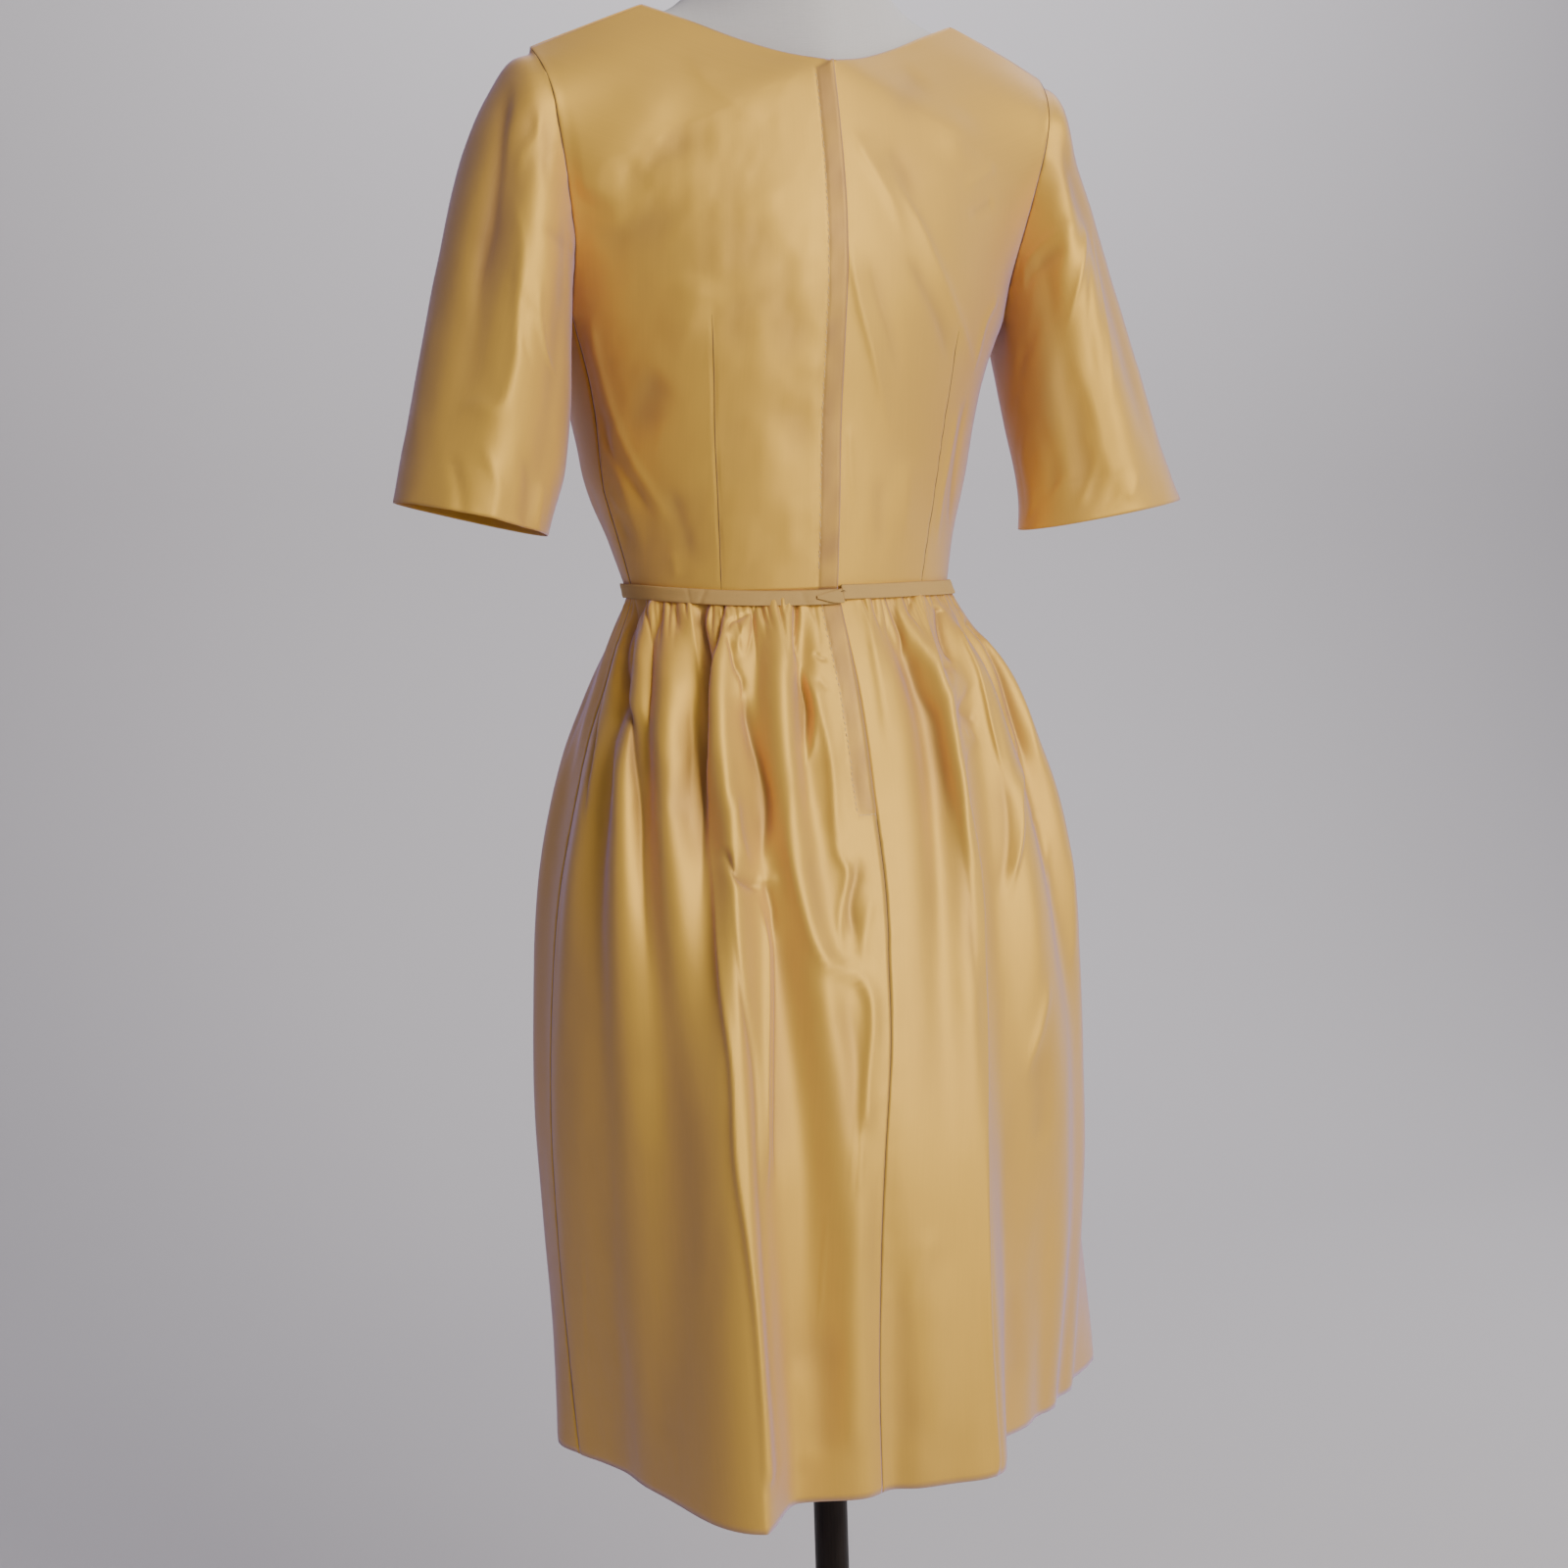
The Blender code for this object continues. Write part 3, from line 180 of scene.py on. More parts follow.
backdrop, tree, shader = new_material("studio_pale")
place = add_node(tree, "TexCoord").outputs["Object"]
noise = add_node(tree, "TexNoise", {"Scale": 1.5, "Vector": place}).outputs["Fac"]
faint = colour_ramp(tree, noise, [c * 0.97 for c in BACKDROP_COLOUR], BACKDROP_COLOUR)
feed(tree, shader, {"Base Color": faint, "Roughness": 0.8})

nothing_selected()
bpy.ops.mesh.primitive_plane_add(size=FLOOR_SIZE, location=(0, 0, 0))
studio = bpy.context.object
studio.name = "studio_floor"
bpy.ops.object.mode_set(mode="EDIT")
shape = bmesh.from_edit_mesh(studio.data)
for edge in shape.edges:
    edge.select = all(v.co.y < 0.5 - FLOOR_SIZE / 2 for v in edge.verts)
bmesh.update_edit_mesh(studio.data)
bpy.ops.mesh.select_mode(type="EDGE")
bpy.ops.mesh.extrude_edges_move(TRANSFORM_OT_translate={"value": (0, 0, WALL_RISE)})
bpy.ops.object.mode_set(mode="OBJECT")
curve = studio.modifiers.new("curve", "BEVEL")
curve.width = CURVE_RADIUS
curve.segments = 16
curve.angle_limit = math.radians(60)
bpy.ops.object.modifier_apply(modifier=curve.name)
bpy.ops.object.shade_smooth()
studio.data.transform(Matrix.Translation((0.0, FLOOR_SHIFT, 0.0)))
studio.data.materials.append(backdrop)
print("studio faces:", len(studio.data.polygons))

# %% [markdown]
# Satin shows its folds through long soft reflections, so the light has to be large. A tall window-like light
# stands behind the camera on its right, and a narrow one beyond the dress on the right draws the bright edges.
# A weak one on the left fills the shade with violet. One light hangs over the dress, one over the backdrop, and
# the world itself gives the shade its cool tone.

# %% Lights
LIGHTS = (
    # name, place, target, width, height, watts, colour
    ("window", (-0.95, 2.55, 1.9), (0.0, 0.0, 1.05), 1.7, 2.0, 87.0, (1.0, 0.955, 0.845)),
    ("rim", (-2.5, -0.2, 1.3), (0.0, 0.0, 1.0), 0.7, 2.0, 8.0, (1.0, 0.98, 1.0)),
    ("left_fill", (2.6, 0.1, 1.0), (0.0, 0.0, 0.8), 1.6, 2.0, 5.0, (0.66, 0.55, 1.0)),
    ("ceiling", (-0.3, 1.4, 3.2), (0.0, 0.0, 1.0), 2.2, 1.4, 7.0, (1.0, 1.0, 1.0)),
    ("behind", (-1.5, -0.9, 3.2), (-1.8, -2.2, 0.9), 3.0, 1.0, 78.0, (0.98, 0.97, 1.0)),
)

for name, place, target, wide, tall, watts, colour in LIGHTS:
    source = bpy.data.lights.new(name, "AREA")
    source.shape = "RECTANGLE"
    source.size = wide
    source.size_y = tall
    source.energy = watts
    source.color = colour
    lamp = bpy.data.objects.new(name, source)
    bpy.context.scene.collection.objects.link(lamp)
    lamp.location = place
    lamp.rotation_euler = (Vector(target) - Vector(place)).to_track_quat("-Z", "Y").to_euler()

world = bpy.data.worlds.new("studio")
world.use_nodes = True
feed(world.node_tree, world.node_tree.nodes["Background"], {"Color": (0.80, 0.74, 1.0, 1.0), "Strength": 0.13})
bpy.context.scene.world = world
print("lights:", [row[0] for row in LIGHTS])

# %% [markdown]
# ## Cloth, from a table to a shell
#
# Cloth is a thin sheet, so each panel is a grid of points on the same curves as its CAD solid, only much finer.
# Three helpers do most of the work. `smooth` reads a table between its rows, `outward` finds which way the
# cloth faces, and `panel` turns a grid into a mesh with its own UV map. The UV map is the way round and the way
# up in metres, so a weave keeps its size. A Solidify modifier then gives the thickness.

# %% Reading tables and making panels
def smooth(rows, at):
    """Values of a table at one or more keys. The first column is the key, and the curve is smooth."""
    table = np.asarray(rows, float)
    keys = table[:, 0]
    values = table[:, 1:]
    slopes = np.gradient(values, keys, axis=0)
    at = np.asarray(at, float)
    low = np.clip(np.searchsorted(keys, at, side="right") - 1, 0, len(keys) - 2)
    span = keys[low + 1] - keys[low]
    u = np.clip((at - keys[low]) / span, 0.0, 1.0)[..., None]
    span = span[..., None]
    return (
        values[low] * (2 * u**3 - 3 * u**2 + 1)
        + values[low + 1] * (3 * u**2 - 2 * u**3)
        + slopes[low] * span * (u**3 - 2 * u**2 + u)
        + slopes[low + 1] * span * (u**3 - u**2)
    )


def unit(vectors):
    """Vectors of length one."""
    return vectors / np.maximum(np.linalg.norm(vectors, axis=-1, keepdims=True), 1e-9)


def soft_step(value, low, high):
    """0 under low, 1 over high, and smooth between."""
    u = np.clip((value - low) / (high - low), 0.0, 1.0)
    return u * u * (3 - 2 * u)


def bell(away, width):
    """1 in the middle, falling to almost nothing at two widths."""
    return np.exp(-((away / width) ** 2))


def lengths_along(points):
    """How far each point of a line lies from the first, along the line."""
    return np.concatenate([[0], np.cumsum(np.linalg.norm(np.diff(points, axis=0), axis=1))])


def point_at(key, keys, points):
    """Point of a line at a key, or the three coordinates of several points at several keys."""
    return np.array([np.interp(key, keys, points[:, k]) for k in range(3)])


def outward(grid, middle, closed=False):
    """Directions that the cloth faces, where middle is a point or line inside it."""
    if closed:
        across = np.roll(grid, -1, axis=1) - np.roll(grid, 1, axis=1)
    else:
        across = np.gradient(grid, axis=1)
    normals = unit(np.cross(across, np.gradient(grid, axis=0)))
    inward = np.sum(normals * (grid - middle)) < 0
    return -normals if inward else normals


def relaxed(grid, times, closed=False, mirror_rows=()):
    """The grid with its inner points evened out, so no row or column shows as a line in the sheen.

    The rows in mirror_rows start on the middle plane, and are evened out with their mirror image.
    """
    grid = grid.copy()
    low, high = (min(mirror_rows) + 1, max(mirror_rows)) if len(mirror_rows) else (0, 0)
    for _ in range(times):
        if closed:
            sides = np.roll(grid, 1, axis=1) + np.roll(grid, -1, axis=1)
            grid[1:-1] = (grid[:-2] + grid[2:] + sides[1:-1]) / 4
        else:
            grid[1:-1, 1:-1] = (grid[:-2, 1:-1] + grid[2:, 1:-1] + grid[1:-1, :-2] + grid[1:-1, 2:]) / 4
        if high > low:
            middle = (grid[low - 1:high - 1, 0] + grid[low + 1:high + 1, 0] + 2 * grid[low:high, 1]) / 4
            grid[low:high, 0, 1:] = middle[:, 1:]
    return grid


def round_way(grid):
    """How far each point lies from the first column, along its row, in centimetres."""
    return np.array([lengths_along(row) for row in grid])


def down_way(grid):
    """How far each point lies from the first row, along its column, in centimetres."""
    return round_way(grid.swapaxes(0, 1)).swapaxes(0, 1)


def corner_list(index):
    """The four corners of every square of a grid of numbered points."""
    return np.stack([index[:-1, :-1], index[:-1, 1:], index[1:, 1:], index[1:, :-1]], axis=-1).reshape(-1, 4)


def panel(name, grid, normals, uv, closed=False, thickness=0.08, values=None):
    """Mesh of a grid of points in centimetres, with a UV map, soft shading and the cloth's thickness.

    A closed grid is a tube: its UV map has one more column than its points.
    """
    rows, columns = grid.shape[:2]
    index = np.arange(rows * columns).reshape(rows, columns)
    if closed:
        index = np.concatenate([index, index[:, :1]], axis=1)
    corners = corner_list(index)
    uv_corners = corner_list(np.arange(index.size).reshape(index.shape))
    points = grid.reshape(-1, 3)
    first = points[corners[:, 0]]
    facing = np.cross(points[corners[:, 1]] - first, points[corners[:, 3]] - first)
    if np.sum(facing * normals.reshape(-1, 3)[corners[:, 0]]) < 0:
        corners, uv_corners = corners[:, ::-1], uv_corners[:, ::-1]
    mesh = bpy.data.meshes.new(name)
    mesh.from_pydata((points * CM).tolist(), [], corners.tolist())
    layer = mesh.uv_layers.new(name="cloth")
    layer.data.foreach_set("uv", (uv.reshape(-1, 2) * CM)[uv_corners.ravel()].astype(np.float32).ravel())
    # The values are painted shade in folds and under the arm, and a browner tone on the lap
    if values is not None:
        kept = mesh.attributes.new("painted_shade_and_lap_tone", "FLOAT", "POINT")
        kept.data.foreach_set("value", values.ravel().astype(np.float32))
    mesh.shade_smooth()
    piece = bpy.data.objects.new(name, mesh)
    bpy.context.scene.collection.objects.link(piece)
    if thickness:
        cloth = piece.modifiers.new("thickness", "SOLIDIFY")
        cloth.thickness = thickness * CM
        cloth.offset = -1
    print(name, len(corners), "faces,", round(float(np.linalg.norm(facing, axis=1).sum() / 1e4), 4), "square metres")
    return piece


# %% [markdown]
# ## Folds
#
# Every main fold is a line drawn on the cloth: how far round from the centre back it lies and how high,
# in centimetres. The cloth rises or sinks along the line, and each side of the line has its own width, so a
# narrow side gives the sharp edge that satin shows and a wide side gives a soft slope. A crisp cloth doesn't
# bend in waves: its sides stay almost flat and only the crest is round, so a fold falls off in that way. On
# top of these comes the small unevenness of real cloth, a smooth random field with a fixed seed.

# %% Folds along drawn lines
CREST = 0.35     # how round the top of a narrow fold is: 0 is a knife edge, 1 is a soft wave


def drawn(points, steps=10):
    """A smooth line through the drawn points."""
    points = np.asarray(points, float)
    key = lengths_along(points)
    if len(points) == 2:
        return points[0] + (points[1] - points[0]) * np.linspace(0, 1, steps)[:, None]
    return smooth(np.column_stack([key, points]), np.linspace(0, key[-1], steps * (len(points) - 1)))


def fold(way, height, rise, left, right, fade_in, fade_out, points):
    """How far the cloth stands out beside one drawn line. Left and right are the widths of its two sides."""
    line = drawn(points)
    reach = 3 * max(left, right)
    low, high = line.min(axis=0) - reach, line.max(axis=0) + reach
    near = (way > low[0]) & (way < high[0]) & (height > low[1]) & (height < high[1])
    x, y = way[near], height[near]
    best = np.full(len(x), 1e9)
    share = np.zeros(len(x))
    side = np.zeros(len(x))
    for k, (a, b) in enumerate(zip(line, line[1:])):
        step = b - a
        t = np.clip(((x - a[0]) * step[0] + (y - a[1]) * step[1]) / (step @ step), 0, 1)
        dx = x - a[0] - t * step[0]
        dy = y - a[1] - t * step[1]
        away = dx * dx + dy * dy
        closer = away < best
        best = np.where(closer, away, best)
        share = np.where(closer, (k + t) / (len(line) - 1), share)
        side = np.where(closer, step[0] * dy - step[1] * dx, side)
    width = np.where(side > 0, left, right)
    fade = soft_step(share, -1e-6, fade_in) * (1 - soft_step(share, 1 - fade_out, 1 + 1e-6))
    share_of_width = np.sqrt(best) / width
    crest = CREST + 0.8 * soft_step(min(left, right), 0.4, 1.0)
    shape = np.exp(-1.5 * (np.sqrt(share_of_width**2 + crest**2) - crest))
    total = np.zeros_like(way)
    total[near] = rise * fade * shape * np.clip(1 - (share_of_width / 3) ** 2, 0.0, 1.0)
    return total


def folds(way, height, table):
    """All the folds of a table together."""
    total = np.zeros_like(way)
    for row in table:
        total += fold(way, height, *row)
    return total


def uneven(way, height, size_round, size_up, seed):
    """A smooth random field between about -1 and 1, with lumps of the given size in centimetres."""
    chance = np.random.default_rng(seed)
    lattice = chance.uniform(-1, 1, (64, 64))
    x = way / size_round
    y = height / size_up
    i, j = np.floor(x).astype(int), np.floor(y).astype(int)
    u, v = x - i, y - j
    u, v = u * u * (3 - 2 * u), v * v * (3 - 2 * v)

    def at(a, b):
        return lattice[(i + a) % 64, (j + b) % 64]

    low = at(0, 0) * (1 - u) + at(1, 0) * u
    high = at(0, 1) * (1 - u) + at(1, 1) * u
    return low * (1 - v) + high * v

# %% [markdown]
# ## Finishes
#
# Shot satin is woven from gold threads one way and paler, cooler threads the other. Seen square on it is gold;
# seen along the surface the cross threads give a lilac, almost white sheen. The Principled shader has that
# sheen built in, so it is set there. What changes over the surface comes from one node group, `threads`: fine
# ribs along the warp, slubs where a thread is thicker, and a soft unevenness of tone.

# %% Node groups for threads, grain and wear
def node_group(name, inputs, outputs):
    """An empty shader node group with named sockets, and its two end nodes."""
    tree = bpy.data.node_groups.new(name, "ShaderNodeTree")
    for label, kind, value in inputs:
        socket = tree.interface.new_socket(label, in_out="INPUT", socket_type="NodeSocket" + kind)
        if value is not None:
            socket.default_value = value
    for label, kind in outputs:
        tree.interface.new_socket(label, in_out="OUTPUT", socket_type="NodeSocket" + kind)
    return tree, tree.nodes.new("NodeGroupInput"), tree.nodes.new("NodeGroupOutput")


def calculate(tree, operation, *values):
    """The result of a Math node, fed with sockets or numbers."""
    return add_node(tree, "Math", enumerate(values), operation=operation).outputs[0]


def stretched_noise(tree, vector, scale, detail=2.0):
    """Noise whose lumps are stretched: scale is lumps in a metre along each direction."""
    stretched = add_node(tree, "Mapping", {"Vector": vector, "Scale": scale}).outputs["Vector"]
    return add_node(tree, "TexNoise", {"Vector": stretched, "Scale": 1.0, "Detail": detail}).outputs["Fac"]


def ribs(tree, across, count):
    """Waves across one direction, so many in a metre."""
    turns = calculate(tree, "MULTIPLY", calculate(tree, "MULTIPLY", across, count), 2 * math.pi)
    return calculate(tree, "SINE", turns)


def make_threads():
    """Warp and weft threads on a cloth's UV map, which is in metres."""
    tree, start, end = node_group(
        "threads",
        [("Vector", "Vector", None), ("Warp", "Float", 2800.0), ("Weft", "Float", 2200.0), ("Slub", "Float", 0.5)],
        [("Height", "Float"), ("Tone", "Float"), ("Streak", "Float")],
    )
    given = start.outputs
    split = add_node(tree, "SeparateXYZ", {"Vector": given["Vector"]}).outputs
    warp = ribs(tree, split["X"], given["Warp"])
    weft = ribs(tree, split["Y"], given["Weft"])
    over_weft = calculate(tree, "MULTIPLY", weft, 0.35)
    crossing = calculate(tree, "MULTIPLY_ADD", calculate(tree, "MULTIPLY", warp, weft), 0.3, over_weft)
    slubs = stretched_noise(tree, given["Vector"], (90.0, 1400.0, 1.0), 1.0)
    streak = stretched_noise(tree, given["Vector"], (700.0, 22.0, 1.0), 2.0)
    tone = stretched_noise(tree, given["Vector"], (9.0, 7.0, 1.0), 3.0)
    height = calculate(tree, "MULTIPLY_ADD", slubs, given["Slub"], crossing)
    height = calculate(tree, "MULTIPLY_ADD", streak, 0.2, height)
    feed(tree, end, {"Height": height, "Tone": tone, "Streak": streak})
    return tree


THREADS = make_threads()
print("group", THREADS.name, "with outputs", [s.name for s in THREADS.interface.items_tree if s.in_out == "OUTPUT"])

# %% [markdown]
# Each cloth then gets its own material. Deep folds of a gold cloth look darker, because the light there has
# bounced from gold to gold several times. That shade is also painted into the colour: each panel keeps an
# attribute with how deep in a fold each point lies, and the colour leans to a duller brown gold with it, as
# painted shade.

# %% Cloth materials
SHEEN_ROUGHNESS = 0.46
THREAD_RELIEF = 0.0001     # height of the weave in metres
TONE_RANGE = (0.90, 1.08)
GLOSS_SPREAD = 0.05


def cloth_material(
    name, colour, deep, roughness, sheen, tint, warp, weft, slub, bump, metallic=0.0, specular=0.5, along="UV"
):
    """Cloth with threads, a soft unevenness of tone, painted shade as a deeper colour in hollows, and a sheen."""
    material, tree, shader = new_material(name)
    place = add_node(tree, "TexCoord").outputs[along]
    turn = (math.pi / 2 if along == "Object" else 0.0, 0.0, 0.0)
    turned = add_node(tree, "Mapping", {"Vector": place, "Rotation": turn}).outputs["Vector"]
    counts = {"Vector": turned, "Warp": warp, "Weft": weft, "Slub": slub}
    threads = add_node(tree, "Group", counts, node_tree=THREADS).outputs

    # The attribute mixes the colour towards deep: painted shade in folds and under the arm, and a browner lap
    painted_shade_and_lap_tone = add_node(tree, "Attribute", attribute_name="painted_shade_and_lap_tone").outputs["Fac"]
    colours = {"Factor": painted_shade_and_lap_tone, "A": (*colour, 1), "B": (*deep, 1)}
    mixed = add_node(tree, "Mix", colours, data_type="RGBA").outputs["Result"]
    broad = calculate(tree, "MULTIPLY", threads["Tone"], 0.65)
    both = calculate(tree, "MULTIPLY_ADD", threads["Streak"], 0.35, broad)
    tones = {"Factor": 1.0, "A": mixed, "B": ranged(tree, both, *TONE_RANGE)}
    feed(tree, shader, {
        "Base Color": add_node(tree, "Mix", tones, data_type="RGBA", blend_type="MULTIPLY").outputs["Result"],
        "Roughness": ranged(tree, threads["Tone"], roughness - GLOSS_SPREAD, roughness + GLOSS_SPREAD),
        "Normal": bumped(tree, threads["Height"], THREAD_RELIEF, bump),
        "Metallic": metallic,
        "Specular IOR Level": specular,
        "Sheen Weight": sheen,
        "Sheen Roughness": SHEEN_ROUGHNESS,
        "Sheen Tint": (*tint, 1),
    })
    return material


# Each has a name, its colour on the level and its painted shade colour in hollows, roughness, sheen and its tint,
# warp and weft threads in a metre, and the slubs and relief of the weave
SATIN = cloth_material(
    "gold_satin", (0.84, 0.500, 0.074), (0.50, 0.28, 0.085), 0.48, 1.0, (0.66, 0.53, 0.95), 2800, 2200, 0.5, 0.30,
    metallic=0.35, specular=0.2,
)
BELTING = cloth_material(
    "belt_fabric", (0.56, 0.35, 0.11), (0.40, 0.24, 0.07), 0.66, 0.15, (0.85, 0.78, 0.72), 1500, 1500, 0.9, 0.60,
    specular=0.3,
)
TAPE = cloth_material(
    "zip_tape_cloth", (0.50, 0.34, 0.12), (0.35, 0.2, 0.06), 0.75, 0.15, (0.9, 0.85, 0.8), 1300, 1300, 0.3, 0.70,
)
FORM_LINEN = cloth_material(
    "form_linen_cloth", (0.66, 0.64, 0.65), (0.55, 0.53, 0.52), 0.88, 0.15, (0.95, 0.95, 1.0), 1100, 1000, 1.4, 0.85,
    along="Object",
)
print("cloths:", [m.name for m in (SATIN, BELTING, TAPE, FORM_LINEN)])

# %% [markdown]
# ## Bodice
#
# The bodice is one front and two backs. Each row of a panel is an arc of an ellipse from the centre line, or
# the neckline, to the side seam, or the armhole. The tables are the CAD part's own, so the fine panels lie on
# the solids that they replace.

# %% Tables of the bodice
WAIST_HEIGHT = 104.0
UNDERARM_HEIGHT = 123.0
NECK_BACK_HEIGHT = 139.0
NECK_FRONT_HEIGHT = 138.0
HEM_HEIGHT = 44.0
UNDERARM_SHARE = 0.5
NECK_SHARE = 0.75
LAP_WIDTH = 1.4     # from the lap's folded edge to its stitches
LAP_RISE = 0.12

# Sections: height, half width, y of the widest line, y of the centre back, y of the centre front
BODICE_SECTIONS = (
    (104, 12, -2.3, 5.85, -11.2),
    (107.8, 12.9, -3.2, 6.4, -12.9),
    (111.6, 14.1, -3.7, 6.8, -14.3),
    (115, 14.75, -3.7, 7.15, -15.2),
    (119, 15.65, -3.2, 7.9, -15.6),
    (123, 17.1, -2.5, 8.65, -15.2),
)
# Centre lines: height, y of the centre back, y of the centre front
CENTRE_LINES = (
    (104, 5.85, -11.2), (110, 6.65, -13.8), (115.4, 7.2, -15.2), (120.5, 8.17, -15.6),
    (125.6, 8.97, -14.7), (129, 9.05, -13.3), (134.2, 8.48, -10.6), (139, 7.6, -7.6),
)
# Necklines from the centre to the neck corner: share, x, y, height
NECK_BACK = (
    (0, 0, 7.6, 139), (0.25, 2.9, 6.35, 139.6), (0.5, 5.8, 5.1, 140.6), (0.75, 8.6, 3.92, 141.8),
    (1, 11.5, 2.6, 143),
)
NECK_FRONT = (
    (0, 0, -8.2, 138), (0.25, 3.4, -7.5, 138.4), (0.5, 6.6, -5.2, 139.6), (0.75, 9.4, -1.7, 141.4),
    (1, 11.5, 2.6, 143),
)
# Armhole seams from the underarm to the shoulder tip: share, x, y, height
ARMHOLE_BACK = (
    (0, 16.5, 0.37, 123), (0.12, 16.55, 1.2, 125.2), (0.25, 16.65, 2.25, 127.2), (0.4, 17.1, 3.05, 129.6),
    (0.55, 17.6, 3.8, 132.2), (0.7, 18.15, 4.27, 134.9), (0.82, 18.45, 4.2, 136.9), (0.92, 18.8, 3.15, 138.7),
    (1, 19.1, 1.85, 139.9),
)
ARMHOLE_FRONT = (
    (0, 16.5, 0.37, 123), (0.12, 16.85, -1.6, 123.6), (0.25, 16.65, -3.5, 125.5), (0.4, 16.2, -4.9, 128.6),
    (0.55, 16.3, -5.1, 131.8), (0.7, 16.9, -4, 134.6), (0.85, 17.9, -1.6, 137.4), (1, 19.1, 1.85, 139.9),
)
# How far each row turns from the centre to the side: share of the panel's height, back angle, front angle
TURN = (
    (0, 88, 92), (0.15, 83, 97), (0.3, 77.5, 102.5), (0.5, 75, 105), (0.62, 70, 96),
    (0.75, 60, 80), (0.88, 42, 52), (1, 14, 14),
)
BUST_POINT = (8.6, 119.5)
BUST_RADIUS = 5.2
BUST_HEIGHT = 1.1

# %% Panels of the bodice
def centre_edge(share, back):
    """Point of a panel's inner edge: the centre line, then the neckline."""
    if share <= NECK_SHARE:
        top = NECK_BACK_HEIGHT if back else NECK_FRONT_HEIGHT
        height = WAIST_HEIGHT + (top - WAIST_HEIGHT) * share / NECK_SHARE
        return np.array([0.0, smooth(CENTRE_LINES, height)[0 if back else 1], height])
    return smooth(NECK_BACK if back else NECK_FRONT, (share - NECK_SHARE) / (1 - NECK_SHARE))


def side_edge(share, back):
    """Point of a panel's outer edge: the side seam, then the armhole."""
    if share <= UNDERARM_SHARE:
        height = WAIST_HEIGHT + (UNDERARM_HEIGHT - WAIST_HEIGHT) * share / UNDERARM_SHARE
        half, widest, y_back, _ = smooth(BODICE_SECTIONS, height)
        angle = math.radians(smooth(TURN, share)[0])
        return np.array([half * math.sin(angle), widest + (y_back - widest) * math.cos(angle), height])
    return smooth(ARMHOLE_BACK if back else ARMHOLE_FRONT, (share - UNDERARM_SHARE) / (1 - UNDERARM_SHARE))


def bodice_row(share, columns, back):
    """Points of one row of a left panel, from the centre to the side, on an arc of an ellipse."""
    start = centre_edge(share, back)
    end = side_edge(share, back)
    angle = math.radians(smooth(TURN, share)[0 if back else 1])
    across = np.sin(columns * angle) / math.sin(angle)
    deep = (np.cos(columns * angle) - math.cos(angle)) / (1 - math.cos(angle))
    x = start[0] + (end[0] - start[0]) * across
    y = end[1] + (start[1] - end[1]) * deep
    z = start[2] + (end[2] - start[2]) * np.clip(across, 0.0, 1.0)
    return np.stack([x, y, z], axis=-1)


def bodice_grid(rows, columns, back):
    """Left half of the front or the back, as a grid of points on the outer face."""
    grid = np.array([bodice_row(share, columns, back) for share in rows])
    if not back:
        away = (grid[..., 0] - BUST_POINT[0]) ** 2 + (grid[..., 2] - BUST_POINT[1]) ** 2
        grid[..., 1] -= BUST_HEIGHT * np.exp(-away / BUST_RADIUS**2)
    return grid


def body_middle(grid):
    """Points on the line inside the body, for telling out from in."""
    middle = grid.copy()
    middle[..., 0] *= 0.3
    middle[..., 1] = -2.0
    middle[..., 2] -= 1.5
    return middle


BODICE_ROWS = np.concatenate([np.linspace(0, UNDERARM_SHARE, 91), np.linspace(UNDERARM_SHARE, 1, 101)[1:]])
BACK_COLUMNS = np.concatenate([np.linspace(0, 0.12, 26), np.linspace(0.12, 1.0, 91)[1:]])
FRONT_COLUMNS = np.linspace(0.0, 1.0, 65)
back_grid = relaxed(bodice_grid(BODICE_ROWS, BACK_COLUMNS, True), times=30)
rows_to_neck = np.flatnonzero(BODICE_ROWS <= NECK_SHARE)
front_grid = relaxed(bodice_grid(BODICE_ROWS, FRONT_COLUMNS, False), times=30, mirror_rows=rows_to_neck)
BELOW_NECK = BODICE_ROWS <= NECK_SHARE + 1e-6
print("back grid", back_grid.shape[:2], "front grid", front_grid.shape[:2])

# %% [markdown]
# The backs carry the main creases of the photograph: a slack diagonal from the underarm to the waist, the
# darts, and the lap. A dart is a thin groove with the cloth a little proud on one side, where the fold is
# pressed, and it runs out to nothing at its point with a small pucker.

